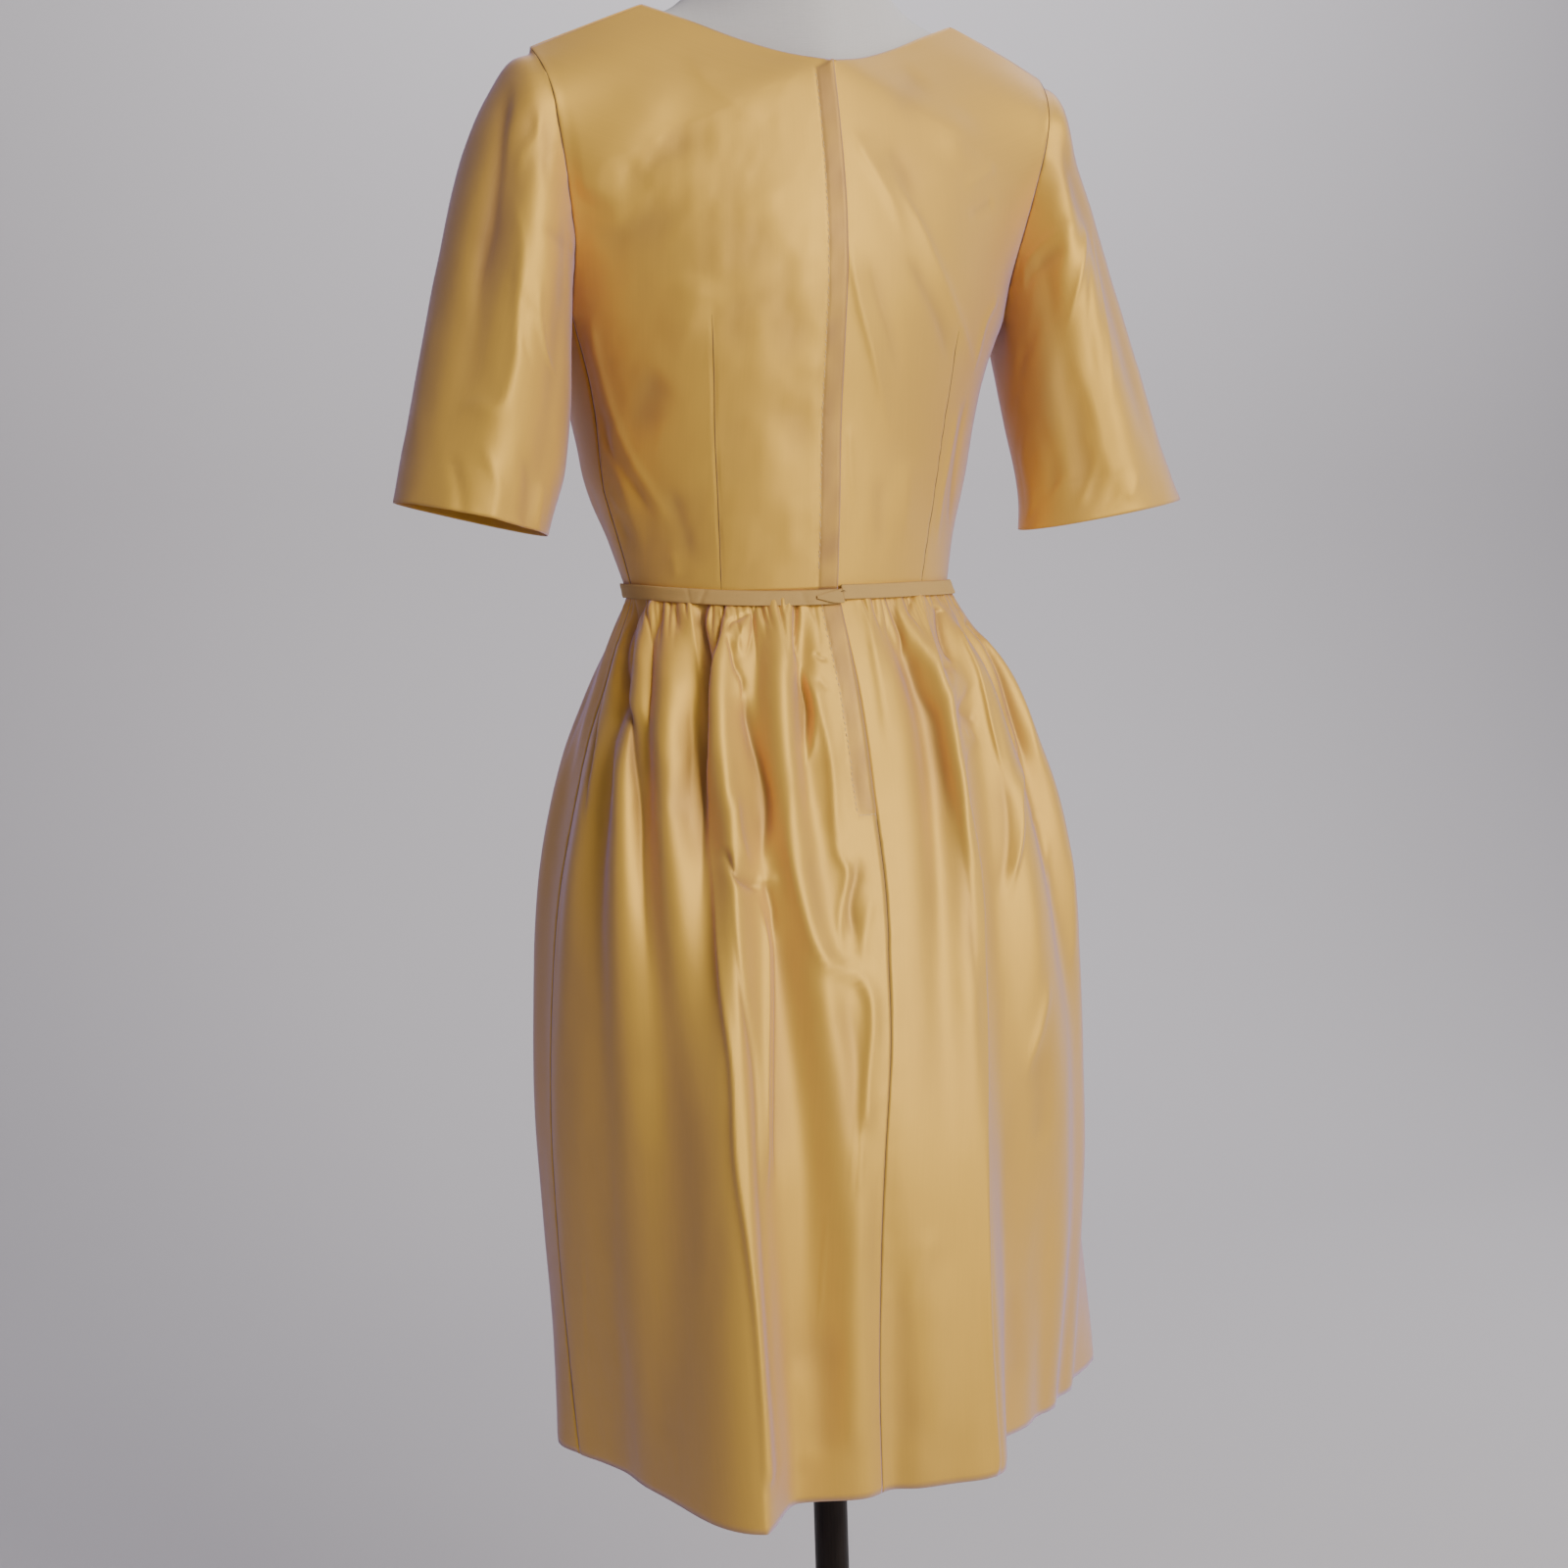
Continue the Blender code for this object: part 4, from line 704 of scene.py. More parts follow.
# %% Creases of the bodice
# rise, width on its left, width on its right, fade in, fade out, points (way round from the centre back, height)
BACK_LEFT_FOLDS = (
    # on the shoulder blade
    (0.289, 1.35, 1.8, 0.1, 0.4, ((18.4, 129.6), (17.2, 132), (15.5, 133.5), (13.5, 135.1), (11.7, 136.8),
     (9.9, 138.6))),
    (-0.199, 1.12, 1.8, 0.3, 0.4, ((17, 129.8), (15.2, 131.1), (12.9, 132.7), (10.5, 134), (8.6, 134.7))),
    (0.155, 1.12, 1.35, 0.2, 0.4, ((18, 128), (16.2, 129.7), (13.9, 130.9), (11.3, 131.5), (8.7, 131.6))),
    (-0.133, 1.12, 1.35, 0.3, 0.4, ((17.7, 126.4), (15.4, 127.8), (12.9, 128.6), (10.9, 128.5))),
    (0.078, 0.68, 1.01, 0.3, 0.4, ((9.5, 139.7), (8.8, 137.3), (7, 135.6), (5.1, 134.4))),
    # between the dart and the lap
    (0.088, 1.1, 1, 0.3, 0.4, ((6.3, 123.5), (6.1, 121), (6, 118.2), (6.2, 116))),
    (-0.088, 1.2, 1.2, 0.3, 0.4, ((7.6, 124.2), (7.4, 121.7), (7.4, 119.1))),
    (0.105, 1.2, 0.9, 0.3, 0.4, ((3.2, 127.5), (3.4, 124.2), (3.5, 120.8))),
    (-0.105, 1.1, 1, 0.3, 0.4, ((4.5, 127.3), (4.3, 123.5), (4.1, 120.4), (4.2, 117.7))),
    (0.08, 1, 0.8, 0.3, 0.4, ((2.3, 120.4), (2.2, 117.2), (2.3, 114.3))),
    (-0.073, 1, 1, 0.3, 0.4, ((3.2, 117.2), (3.3, 114.7), (3.2, 112.1))),
    (0.105, 1.6, 1.6, 0.3, 0.4, ((5, 116), (5.2, 113.4), (4.9, 110.2), (4.5, 107.8))),
    (-0.08, 1, 1.2, 0.3, 0.4, ((7, 116), (7.2, 113.5), (7.2, 110.2))),
    (0.064, 0.8, 0.8, 0.3, 0.3, ((3.6, 110.8), (3.4, 108.2), (3.1, 105.5))),
    (0.073, 1.4, 1.2, 0.3, 0.4, ((5.8, 131.1), (5.3, 128.8), (4.7, 126.6))),
    (-0.064, 1.2, 1.4, 0.3, 0.4, ((7.3, 128.9), (6.7, 126.7), (6.3, 124.5))),
    (0.048, 0.8, 1, 0.3, 0.3, ((7.5, 109.6), (7.5, 107.2), (7.4, 105.1))),
    # beside the dart and under the arm
    (0.229, 1.39, 1.13, 0.3, 0.4, ((10.2, 125.1), (10.7, 123.3), (11.4, 121.6), (12.4, 119.9))),
    (-0.208, 1.39, 1.13, 0.3, 0.4, ((12.4, 118.8), (13.4, 117.4), (13.8, 115.7), (13.2, 114))),
    (0.208, 1.13, 0.44, 0.15, 0.3, ((18.6, 123.4), (18.2, 121), (17.4, 118.1), (16.1, 115.2), (14.5, 112.6),
     (12.9, 110.3), (11.3, 108))),
    (-0.208, 0.44, 1.01, 0.2, 0.3, ((18.1, 117.2), (17.7, 115.2), (16.2, 112.9), (14.4, 110.8), (12.9, 108.7))),
    (0.146, 0.63, 0.63, 0.3, 0.3, ((17, 116.5), (16.7, 114.4), (15.9, 111.9), (14.9, 109.2), (14, 106.8))),
    (-0.125, 0.63, 0.63, 0.3, 0.3, ((12.4, 111.8), (11.5, 110), (10.7, 107.7), (10.2, 105.7))),
    (0.083, 0.51, 0.63, 0.2, 0.4, ((17.6, 111.3), (16.4, 110.2), (14.7, 109.3))),
    (-0.073, 0.51, 0.63, 0.2, 0.4, ((17.1, 109.3), (16.2, 108.3), (14.5, 107.7))),
    (0.073, 0.51, 0.51, 0.3, 0.2, ((11.9, 107.1), (11.5, 106), (11.4, 105))),
)
BACK_RIGHT_FOLDS = (
    (0.16, 1.2, 0.5, 0.2, 0.4, ((1, 134.6), (1.4, 133.2), (2.6, 131.3), (3.8, 129.3), (4.7, 126.9))),
    (-0.1, 0.9, 0.9, 0.3, 0.4, ((3.7, 134), (5.1, 132), (6.6, 130))),
    (0.16, 0.45, 0.9, 0.3, 0.3, ((2.9, 132.8), (4.3, 130.8), (6, 128.4), (7.8, 125.4), (10, 122.5),
     (12.1, 120.2), (15.1, 118.4))),
    (-0.14, 1, 0.5, 0.3, 0.3, ((4.5, 126.8), (6.3, 124.4), (8.1, 121.9), (9.9, 119))),
    (0.16, 0.9, 0.4, 0.2, 0.4, ((0.5, 127.7), (0.3, 126), (0.9, 123.2), (2.1, 119.8), (3.5, 115.7),
     (4.3, 113.3))),
    (-0.11, 0.6, 0.6, 0.3, 0.4, ((1.4, 126.6), (2.5, 123.6), (3.8, 120.5), (4.9, 117.3))),
    (0.06, 0.4, 0.3, 0.2, 0.4, ((0.6, 115.3), (0.8, 112), (1.2, 108.7))),
    (0.1, 0.9, 0.8, 0.3, 0.4, ((5.9, 113.3), (5.7, 110), (5.5, 106.6))),
    (-0.08, 0.8, 0.7, 0.3, 0.4, ((3.3, 112), (3.3, 108.7), (3.6, 105.6))),
    (0.14, 0.4, 0.5, 0.2, 0.3, ((15.9, 124.4), (14, 122.3), (13.6, 120.3), (13.2, 118.6))),
    (-0.14, 0.5, 0.6, 0.2, 0.3, ((12.9, 117.6), (12, 114.4), (11.5, 110.7), (12.1, 107.2))),
    (0.15, 0.5, 0.5, 0.2, 0.3, ((11.6, 116.8), (10.6, 113.4), (9.7, 109.6), (9.6, 106.1))),
    (-0.08, 0.5, 0.4, 0.2, 0.4, ((14.4, 130.6), (12.6, 129.9), (10.8, 129.2))),
    (0.08, 0.5, 0.4, 0.2, 0.4, ((14.7, 133), (12.8, 132), (10.5, 131.1))),
    (0.12, 1.4, 1.4, 0.4, 0.4, ((11.6, 136.8), (10.6, 134.6), (9.6, 132.4))),
    (-0.08, 1.2, 1, 0.3, 0.4, ((7.9, 139.3), (6.3, 137.2), (5.3, 135.1))),
)
# rise, width on its left, width on its right, fade in, fade out, points
LEFT_DART = (
    (-0.075, 0.07, 0.07, 0.1, 0, ((9.5, 122.3), (9.1, 118), (8.6, 111.5), (8.1, 104))),
    (0.022, 0.45, 0.1, 0.1, 0, ((9.62, 122.3), (9.22, 118), (8.72, 111.5), (8.22, 104))),
    (-0.05, 0.5, 0.5, 0.5, 0.5, ((9.5, 123.6), (9.4, 122.4), (9.3, 120.8))),
)
RIGHT_DART = (
    (-0.06, 0.07, 0.07, 0.1, 0, ((10.3, 121.5), (9.9, 117.3), (8.9, 111), (7.6, 104))),
    (0.02, 0.1, 0.45, 0.1, 0, ((10.18, 121.5), (9.78, 117.3), (8.78, 111), (7.48, 104))),
    (-0.05, 0.5, 0.5, 0.5, 0.5, ((10.4, 122.8), (10.2, 121.4), (10, 120))),
)

FRONT_FOLDS = (
    (-0.06, 0.08, 0.08, 0.1, 0, ((6.9, 112.6), (6.4, 108), (6, 104))),
    (0.04, 0.45, 0.1, 0.1, 0, ((7.02, 112.6), (6.52, 108), (6.12, 104))),
    (-0.06, 0.08, 0.08, 0.15, 0, ((11.4, 118.9), (15, 118.2), (19.6, 117.4))),
    (0.04, 0.4, 0.1, 0.15, 0, ((11.4, 119.05), (15, 118.35), (19.6, 117.55))),
    (0.12, 1.2, 1, 0.4, 0.4, ((4, 133), (6, 128), (8, 124))),
    (-0.1, 1, 1.2, 0.4, 0.4, ((12.8, 128), (13.4, 124), (15, 120.5))),
    (0.1, 0.9, 0.8, 0.3, 0.4, ((19.4, 114.4), (16.4, 111), (14.4, 108))),
    (-0.1, 0.9, 0.8, 0.3, 0.4, ((19.8, 112), (17.2, 109.2), (15.4, 106.2))),
    (0.08, 0.8, 0.8, 0.4, 0.4, ((3.6, 114), (3.2, 110), (3.4, 106.4))),
)


# The bodice's random unevenness: rise, slant, size round, size up
BODICE_LUMPS = ((0.05, 0.3, 4.2, 6.0), (0.006, -0.8, 2.8, 2.8), (0.0015, 0.4, 0.5, 0.9))
FAR = 99.0     # a distance at which nothing of a seam or an edge is left

# %% [markdown]
# Where a panel ends, its cloth turns in. So each edge gets a groove and puckers, and beside the zip the cloth
# rises to the lap. The colour leans to its duller tone on the lap, and as painted shade in hollows and under the
# arm.

# %% Edges, lap, and tone with painted shade
def edge_groove(away, width=0.10, depth=0.025):
    """How far the cloth dips where it turns into a seam, by its distance from the seam."""
    return -depth * bell(away, width)


def seam_puckers(along, away, seed, reach=0.9, rise=0.03):
    """Small uneven puckers that run out from a line of stitches."""
    return rise * uneven(along, away * 0.3, 0.55, 0.7, seed) * np.exp(-away / reach) * soft_step(away, 0.0, 0.3)


def lap_shape(away, along, seed):
    """The lap over the zip: it slopes up from its stitches to its folded edge, with puckers between them."""
    slope = np.clip(1 - away / LAP_WIDTH, 0.0, 1.0)
    rise = (LAP_RISE + 0.06) * slope
    rise -= 0.09 * bell(away, 0.10)
    rise -= 0.035 * bell(away - LAP_WIDTH, 0.09)
    pucker = bell(away - LAP_WIDTH, 0.45)
    rise += 0.014 * uneven(along + 0.6 * away, away, 0.42, 0.7, seed) * pucker
    rise += 0.020 * uneven(along + 0.4 * away, away, 1.3, 0.9, seed + 1) * soft_step(away, 0.1, 0.5)
    return rise


def dressed_bodice(grid, table, sign, seed, lapped=False):
    """A bodice panel with its creases, seams and small unevenness. Sign is -1 for the wearer's right half."""
    normals = outward(grid, body_middle(grid))
    normals[BELOW_NECK, 0, 0] = 0.0
    normals = unit(normals)
    way = round_way(grid)
    height = grid[..., 2]
    to_side = way[:, -1:] - way
    up = down_way(grid)
    to_top = up[-1:] - up
    to_neck = np.where(BELOW_NECK[:, None], FAR, way)
    from_centre = way + grid[:, :1, 0]
    rise = sum(
        size * uneven(sign * way + slant * height, height, wide, tall, seed + k)
        for k, (size, slant, wide, tall) in enumerate(BODICE_LUMPS)
    )
    rise += folds(from_centre, height, table)
    rise *= soft_step(to_side, 0.0, 1.2)
    rise += edge_groove(to_side) + seam_puckers(height, to_side, seed + 3)
    rise += edge_groove(to_neck, width=0.16, depth=0.06) + edge_groove(to_top)
    rise += 0.02 * uneven(way, height, 1.3, 1.6, seed + 4) * np.exp(-to_neck / 1.2)
    rise *= 1 - 0.8 * bell(height - WAIST_HEIGHT, 0.7)
    if lapped:
        beside = rise * soft_step(way, LAP_WIDTH, LAP_WIDTH + 0.8) + lap_shape(way, height, seed + 5)
        rise = np.where(BELOW_NECK[:, None], beside, rise)
    return grid + normals * rise[..., None], normals, way, rise


def painted_fold_shade(rise, depth=0.35):
    """Painted shade: 0 on ridges and level cloth, rising to 1 in the deepest hollows."""
    return np.clip(-rise / depth, 0.0, 1.0)


def lap_tone(away, along, seed):
    """The lap is made browner than the cloth beside it, unevenly."""
    strip = soft_step(away, -0.01, 0.06) * (1 - soft_step(away, LAP_WIDTH - 0.06, LAP_WIDTH + 0.02))
    return strip * (0.75 + 0.25 * uneven(along + 0.5 * away, away, 1.6, 1.2, seed))


def under_arm_painted_shade(away, height):
    """Painted shade for the cloth between the arm and the side, which lies as deep as in a fold: it is duller there.
    """
    level = soft_step(height, 108.0, 116.0) * (1 - soft_step(height, 123.0, 128.0))
    return 0.75 * (1 - soft_step(away, 0.5, 4.5)) * level


kept_panels = {}     # each panel's points, directions and ways round, for stitches and seams on it


def bodice_half(name, grid, table, sign, seed, lapped=False):
    """One half panel as a mesh on the wearer's left, for sign 1, or right, for sign -1."""
    shaped, normals, way, rise = dressed_bodice(grid, table, sign, seed, lapped)
    kept_panels[name] = (shaped, normals, way)
    side = np.array([sign, 1.0, 1.0])
    uv = np.stack([way * sign, grid[..., 2]], axis=-1)
    # Painted shade in the folds and between the arm and the side
    tone = np.maximum(painted_fold_shade(rise), under_arm_painted_shade(way[:, -1:] - way, grid[..., 2]))
    if lapped:
        tone = np.maximum(tone, lap_tone(way, grid[..., 2], seed + 7) * BELOW_NECK[:, None])
    return panel(name, shaped * side, normals * side, uv, values=tone)


back_left = bodice_half("back_left_panel", back_grid, BACK_LEFT_FOLDS + LEFT_DART, sign=1, seed=11, lapped=True)
back_right = bodice_half("back_right_panel", back_grid, BACK_RIGHT_FOLDS + RIGHT_DART, sign=-1, seed=23)

# %% The front, joined down its middle
front_panel = bodice_half("front_panel", front_grid, FRONT_FOLDS, sign=1, seed=37)
front_right_half = bodice_half("front_right_half", front_grid, FRONT_FOLDS, sign=-1, seed=37)
front_panel = joined([front_panel, front_right_half], "front_panel")
bpy.ops.object.mode_set(mode="EDIT")
bpy.ops.mesh.select_all(action="SELECT")
bpy.ops.mesh.remove_doubles(threshold=0.00002)
bpy.ops.object.mode_set(mode="OBJECT")
for piece, node in (
    (back_left, "bodice_back_left"), (back_right, "bodice_back_right"), (front_panel, "bodice_front"),
):
    piece.data.materials.append(SATIN)
    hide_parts(node)
    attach(piece, "root")

# %% [markdown]
# ## Sleeves
#
# A set-in sleeve starts on the armhole seam and soon becomes an oval tube that hangs from the shoulder. Its
# rings are given by a table, from the armhole to the hem. The cloth bunches a little at the elbow end and under
# the arm, so the drawn folds run down and across. Their points are given by the angle round the sleeve, from
# its inner edge by way of the back, and the centimetres down from the armhole.

# %% Tables of the sleeves
# Outer edge x and height, inner edge x and height, y of the back, y of the front, from the armhole to the hem
SLEEVE_LEFT = (
    (19.1, 139.9, 16.5, 123, 4.3, -5),
    (20.4, 139.4, 16.75, 121.8, 4.9, -5.2),
    (21.4, 138, 16.85, 120.2, 5.2, -5.3),
    (22.6, 135.5, 16.9, 118.4, 5.3, -5.3),
    (23.9, 131.8, 16.95, 116.8, 5.3, -5.2),
    (25.1, 127.2, 17.1, 115.2, 5.2, -5.1),
    (26.3, 122.4, 17.3, 113.6, 5.1, -5),
    (27.4, 117.8, 17.65, 111.8, 5.05, -4.8),
    (28.4, 113.8, 18.3, 109.9, 5, -4.6),
    (29.2, 110.6, 18.9, 108.1, 5, -4.4),
)
SLEEVE_RIGHT = (
    (19.1, 139.9, 16.5, 123, 4.3, -5),
    (20.3, 139.4, 16.75, 121.8, 4.9, -5.2),
    (21, 138, 16.9, 120.2, 5.2, -5.3),
    (21.75, 135.5, 17, 118.4, 5.3, -5.3),
    (23.2, 131.8, 17.15, 116.8, 5.3, -5.2),
    (24.75, 127.2, 17.4, 115.2, 5.2, -5.1),
    (26.4, 122.4, 17.7, 113.6, 5.1, -5),
    (27.9, 117.8, 18, 111.8, 5.05, -4.8),
    (29.35, 113.5, 18.15, 109.75, 5, -4.6),
    (30.9, 109.8, 18, 107.75, 5, -4.4),
)
SLEEVE_FRONT_DROP = -0.3      # how much lower the left sleeve's hem is in front: under zero it is higher
# How far a ring has left the armhole's shape for its own: row of the table, share
SLEEVE_HEAD_FADE = ((0, 0), (1, 0.25), (2, 0.55), (3, 0.85), (4, 1), (5, 1), (9, 1))
SLEEVE_CLEAR = 0.15           # room between the sleeve and the body
SLEEVE_ROWS = np.linspace(0, 9, 136)
SLEEVE_HEM_STITCHES = 3.0     # height of the hem's stitches over its edge
DEGREE = 0.092                # centimetres round a sleeve in one degree
# Large folds: angle, first row, last row, height, width in degrees
SLEEVE_FOLDS = (
    (60, 2, 8, -0.3, 14), (95, 3, 9, 0.3, 16), (125, 1, 7, -0.35, 14), (250, 2, 8, -0.3, 16),
    (300, 3, 8, 0.25, 15),
)
# rise, widths of the two sides, fade in, fade out, points (angle, centimetres down from the armhole)
LEFT_SLEEVE_CREASES = (
    (-0.27, 0.6, 0.9, 0.15, 0.4, ((163, 2.2), (149, 4), (138, 5.9), (132, 8.6), (132, 12.9),
     (127, 16.3))),
    (0.234, 0.8, 0.45, 0.25, 0.3, ((124, 5.5), (107, 7.1), (101, 10.3), (96, 13.5), (101, 17.5),
     (121, 20), (132, 23.3))),
    (0.135, 0.5, 0.5, 0.2, 0.4, ((138, 0.8), (124, 1.6), (124, 3.9), (121, 5.9))),
    (-0.108, 0.5, 0.5, 0.2, 0.4, ((127, 0.4), (110, 1.3), (107, 3.2))),
    (-0.108, 0.3, 0.5, 0.1, 0.4, ((51, 1), (82, 4), (101, 5.6))),
    (0.126, 0.4, 0.25, 0.3, 0.3, ((87, 7.2), (84, 9.4), (73, 10.5), (53, 10.1))),
    (-0.108, 0.4, 0.6, 0.3, 0.3, ((93, 9.2), (93, 11.8), (82, 13))),
    (0.126, 0.6, 0.6, 0.3, 0.1, ((110, 20.6), (93, 21.2), (88, 24))),
    (-0.135, 0.6, 0.7, 0.3, 0.1, ((129, 23.3), (115, 24.7), (108, 27.5))),
    (-0.126, 0.7, 0.7, 0.3, 0.1, ((84, 17.5), (68, 18.5), (60, 21))),
    (0.09, 0.5, 0.5, 0.3, 0.1, ((53, 16.6), (48, 19.5))),
    (0.09, 0.8, 1, 0.3, 0.3, ((166, 17.8), (169, 23.4), (160, 28))),
)
RIGHT_SLEEVE_CREASES = (
    (0.165, 0.63, 0.37, 0.1, 0.3, ((39, 0.5), (68, 1.8), (93, 3.6), (118, 5.6))),
    (-0.15, 0.53, 0.95, 0.15, 0.3, ((39, 1.6), (68, 2.9), (93, 4.9))),
    (0.15, 0.53, 0.37, 0.1, 0.4, ((121, 6.3), (101, 6.6), (84, 7.4), (68, 8.4))),
    (0.112, 0.53, 0.53, 0.3, 0.2, ((70, 9), (73, 12.2), (76, 15), (76, 17.6), (82, 21.6))),
    (0.09, 0.21, 0.42, 0.1, 0.3, ((132, 7.5), (121, 8.9), (110, 11), (101, 13.6), (90, 15.8),
     (82, 17))),
    (-0.105, 0.42, 0.42, 0.2, 0.3, ((107, 7.1), (96, 8.8), (87, 11), (84, 14))),
    (-0.09, 0.84, 0.84, 0.3, 0.3, ((48, 3.9), (34, 5.2), (11, 4.9))),
    (0.105, 0.63, 0.63, 0.3, 0.1, ((8, 9), (6, 11.5), (11, 15.2))),
    (-0.105, 0.73, 0.63, 0.3, 0.1, ((25, 10.1), (34, 13), (34, 16.2))),
    (0.09, 0.53, 0.53, 0.3, 0.1, ((65, 14.4), (68, 18.1), (51, 19.3))),
    (0.09, 0.53, 0.53, 0.3, 0.1, ((101, 22.4), (87, 22.8))),
    (-0.075, 0.53, 0.53, 0.3, 0.1, ((82, 20.1), (76, 21.6))),
    (-0.075, 0.16, 0.16, 0, 0.5, ((31, 0.5), (45, 1.2))),
    (-0.045, 0.84, 0.84, 0.3, 0.3, ((127, 0.3), (104, 0.6), (82, 0.6))),
)
HIDDEN_SLEEVE_CREASES = (
    (-0.16, 0.7, 0.5, 0.3, 0.3, ((238, 7), (250, 13), (256, 20))),
    (0.16, 0.6, 0.8, 0.3, 0.4, ((275, 9), (268, 15), (272, 22), (280, 27))),
    (-0.14, 0.6, 0.6, 0.3, 0.3, ((300, 8), (312, 10.5), (330, 12))),
    (0.13, 0.6, 0.6, 0.3, 0.3, ((310, 16), (300, 20), (296, 26))),
    (0.12, 0.9, 0.7, 0.3, 0.3, ((225, 20), (232, 25), (236, 29))),
    (-0.1, 0.6, 0.7, 0.3, 0.3, ((195, 12), (200, 18), (198, 24))),
)

# %% Sleeves on the armhole
def armhole_loop(rows):
    """Left armhole seam: up the back from the underarm, over the shoulder and down the front."""
    back = [side_edge(share, True) for share in rows]
    front = [side_edge(share, False) for share in rows[::-1]]
    return np.array(back + front[1:-1])


def sleeve_ring(section, count):
    """Oval ring of a sleeve section, from its inner edge by way of the back."""
    outer_x, outer_z, inner_x, inner_z, y_back, y_front = section
    angle = np.linspace(0, 2 * math.pi, count, endpoint=False)
    x = (outer_x + inner_x) / 2 - (outer_x - inner_x) / 2 * np.cos(angle)
    z = (outer_z + inner_z) / 2 - (outer_z - inner_z) / 2 * np.cos(angle)
    y = (y_back + y_front) / 2 + (y_back - y_front) / 2 * np.sin(angle)
    return np.stack([x, y, z], axis=-1)


def sleeve_grid(sections, front_drop):
    """Outer face of a sleeve, from the armhole to the hem, as on the wearer's left."""
    loop = armhole_loop(np.linspace(UNDERARM_SHARE, 1.0, 65))
    count = len(loop)
    table = np.column_stack([np.arange(len(sections)), sections])
    first = sleeve_ring(sections[0], count)
    rings = []
    for row in SLEEVE_ROWS:
        section = smooth(table, row)
        ring = sleeve_ring(section, count)
        in_front = (section[4] - ring[:, 1]) / (section[4] - section[5])
        ring[:, 2] -= front_drop * in_front**2 * soft_step(row, len(sections) - 5, len(sections) - 1)
        own = smooth(SLEEVE_HEAD_FADE, row)[0]
        rings.append(ring + (loop - first) * (1 - own))
    grid = relaxed(np.array(rings), times=12, closed=True)
    grid[0] = loop
    sections_here = np.moveaxis(smooth(BODICE_SECTIONS, np.minimum(grid[..., 2], UNDERARM_HEIGHT)), -1, 0)
    half, widest, y_back, y_front = sections_here
    depth = np.where(grid[..., 1] > widest, y_back - widest, widest - y_front)
    body = half * np.sqrt(np.clip(1 - ((grid[..., 1] - widest) / depth) ** 2, 0.0, 1.0))
    beside = soft_step(UNDERARM_HEIGHT + 1.5 - grid[..., 2], 0.0, 1.5) * soft_step(SLEEVE_ROWS, 0.0, 1.0)[:, None]
    grid[..., 0] += np.maximum(body + SLEEVE_CLEAR - grid[..., 0], 0.0) * beside
    return grid


def make_sleeve(name, sections, front_drop, creases, sign, seed):
    """A sleeve with its folds, armhole groove and turned hem."""
    grid = sleeve_grid(sections, front_drop)
    middle = grid.mean(axis=1, keepdims=True)
    normals = outward(grid, middle, closed=True)
    count = grid.shape[1]
    angle = np.linspace(0, 360, count, endpoint=False)[None, :] * np.ones((len(grid), 1))
    down = down_way(grid)
    rise = np.zeros(grid.shape[:2])
    row = SLEEVE_ROWS[:, None]
    for at, first_row, last_row, height, width in SLEEVE_FOLDS:
        fade = soft_step(row, first_row - 1.5, first_row + 1.0) * (1 - soft_step(row, last_row - 1.0, last_row + 1.5))
        away = (angle - at + 180) % 360 - 180
        rise += height * fade * bell(away, width)
    round_cm = angle * DEGREE
    drawn_in_cm = [(*line[:5], tuple((a * DEGREE, d) for a, d in line[5])) for line in creases]
    fine = folds(round_cm, down, drawn_in_cm)
    turn_cos, turn_sin = np.cos(np.radians(angle)), np.sin(np.radians(angle))
    fine += 0.06 * uneven(2.2 * turn_cos + 40, down + 7 * turn_sin, 1.0, 5.0, seed)
    fine += 0.020 * uneven(5.0 * turn_cos + 40, down + 5.0 * turn_sin, 1.0, 1.8, seed + 1)
    fine *= soft_step(down, 0.0, 2.0)
    to_hem = down[-1:] - down
    fine += edge_groove(down) + edge_groove(to_hem, width=0.10, depth=0.04)
    fine += 0.14 * uneven(2.5 * turn_cos + 20, 2.5 * turn_sin + 20, 1.0, 1.0, seed + 5) * np.exp(-to_hem / 2.0)
    fine += 0.03 * uneven(round_cm, down * 0.3, 0.6, 0.7, seed + 2) * np.exp(-down / 1.1)
    stitched = 0.6 + 0.4 * uneven(round_cm, down, 1.5, 3.0, seed + 3)
    fine -= 0.02 * bell(to_hem - SLEEVE_HEM_STITCHES, 0.12) * stitched
    shaped = grid + normals * (rise + fine)[..., None]
    # Painted shade on the sleeve's inner side near the armpit, and in its folds
    inner = soft_step(turn_cos, 0.1, 0.9) * (1 - soft_step(down, 9.0, 17.0))
    tone = np.maximum(painted_fold_shade(fine + 0.5 * rise), 0.75 * inner)
    side = np.array([sign, 1.0, 1.0])
    uv = np.stack([round_cm * sign, -down], axis=-1)
    uv = np.concatenate([uv, uv[:, :1] + np.array([360 * DEGREE * sign, 0.0])], axis=1)
    sleeve = panel(name, shaped * side, normals * side, uv, closed=True, values=tone)
    sleeve.data.materials.append(SATIN)
    return sleeve


left_creases = LEFT_SLEEVE_CREASES + HIDDEN_SLEEVE_CREASES
right_creases = RIGHT_SLEEVE_CREASES + HIDDEN_SLEEVE_CREASES
left_sleeve = make_sleeve("left_sleeve", SLEEVE_LEFT, SLEEVE_FRONT_DROP, left_creases, sign=1, seed=51)
right_sleeve = make_sleeve("right_sleeve", SLEEVE_RIGHT, 0.0, right_creases, sign=-1, seed=61)
for sleeve, node in ((left_sleeve, "sleeve_left"), (right_sleeve, "sleeve_right")):
    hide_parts(node)
    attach(sleeve, "root")

# %% [markdown]
# ## Skirt
#
# The skirt is straight cloth drawn up on a thread at the waist, so three sizes of fold lie on one another. The
# large ones come down to the hem, as in the CAD solids, and some on the left are a little shallower here. The
# drawn ones are the creases that the photograph shows, and the hidden front gets similar ones from a fixed seed.
# The small ones are the gathers themselves, which start at the waist seam and run out within a few centimetres.

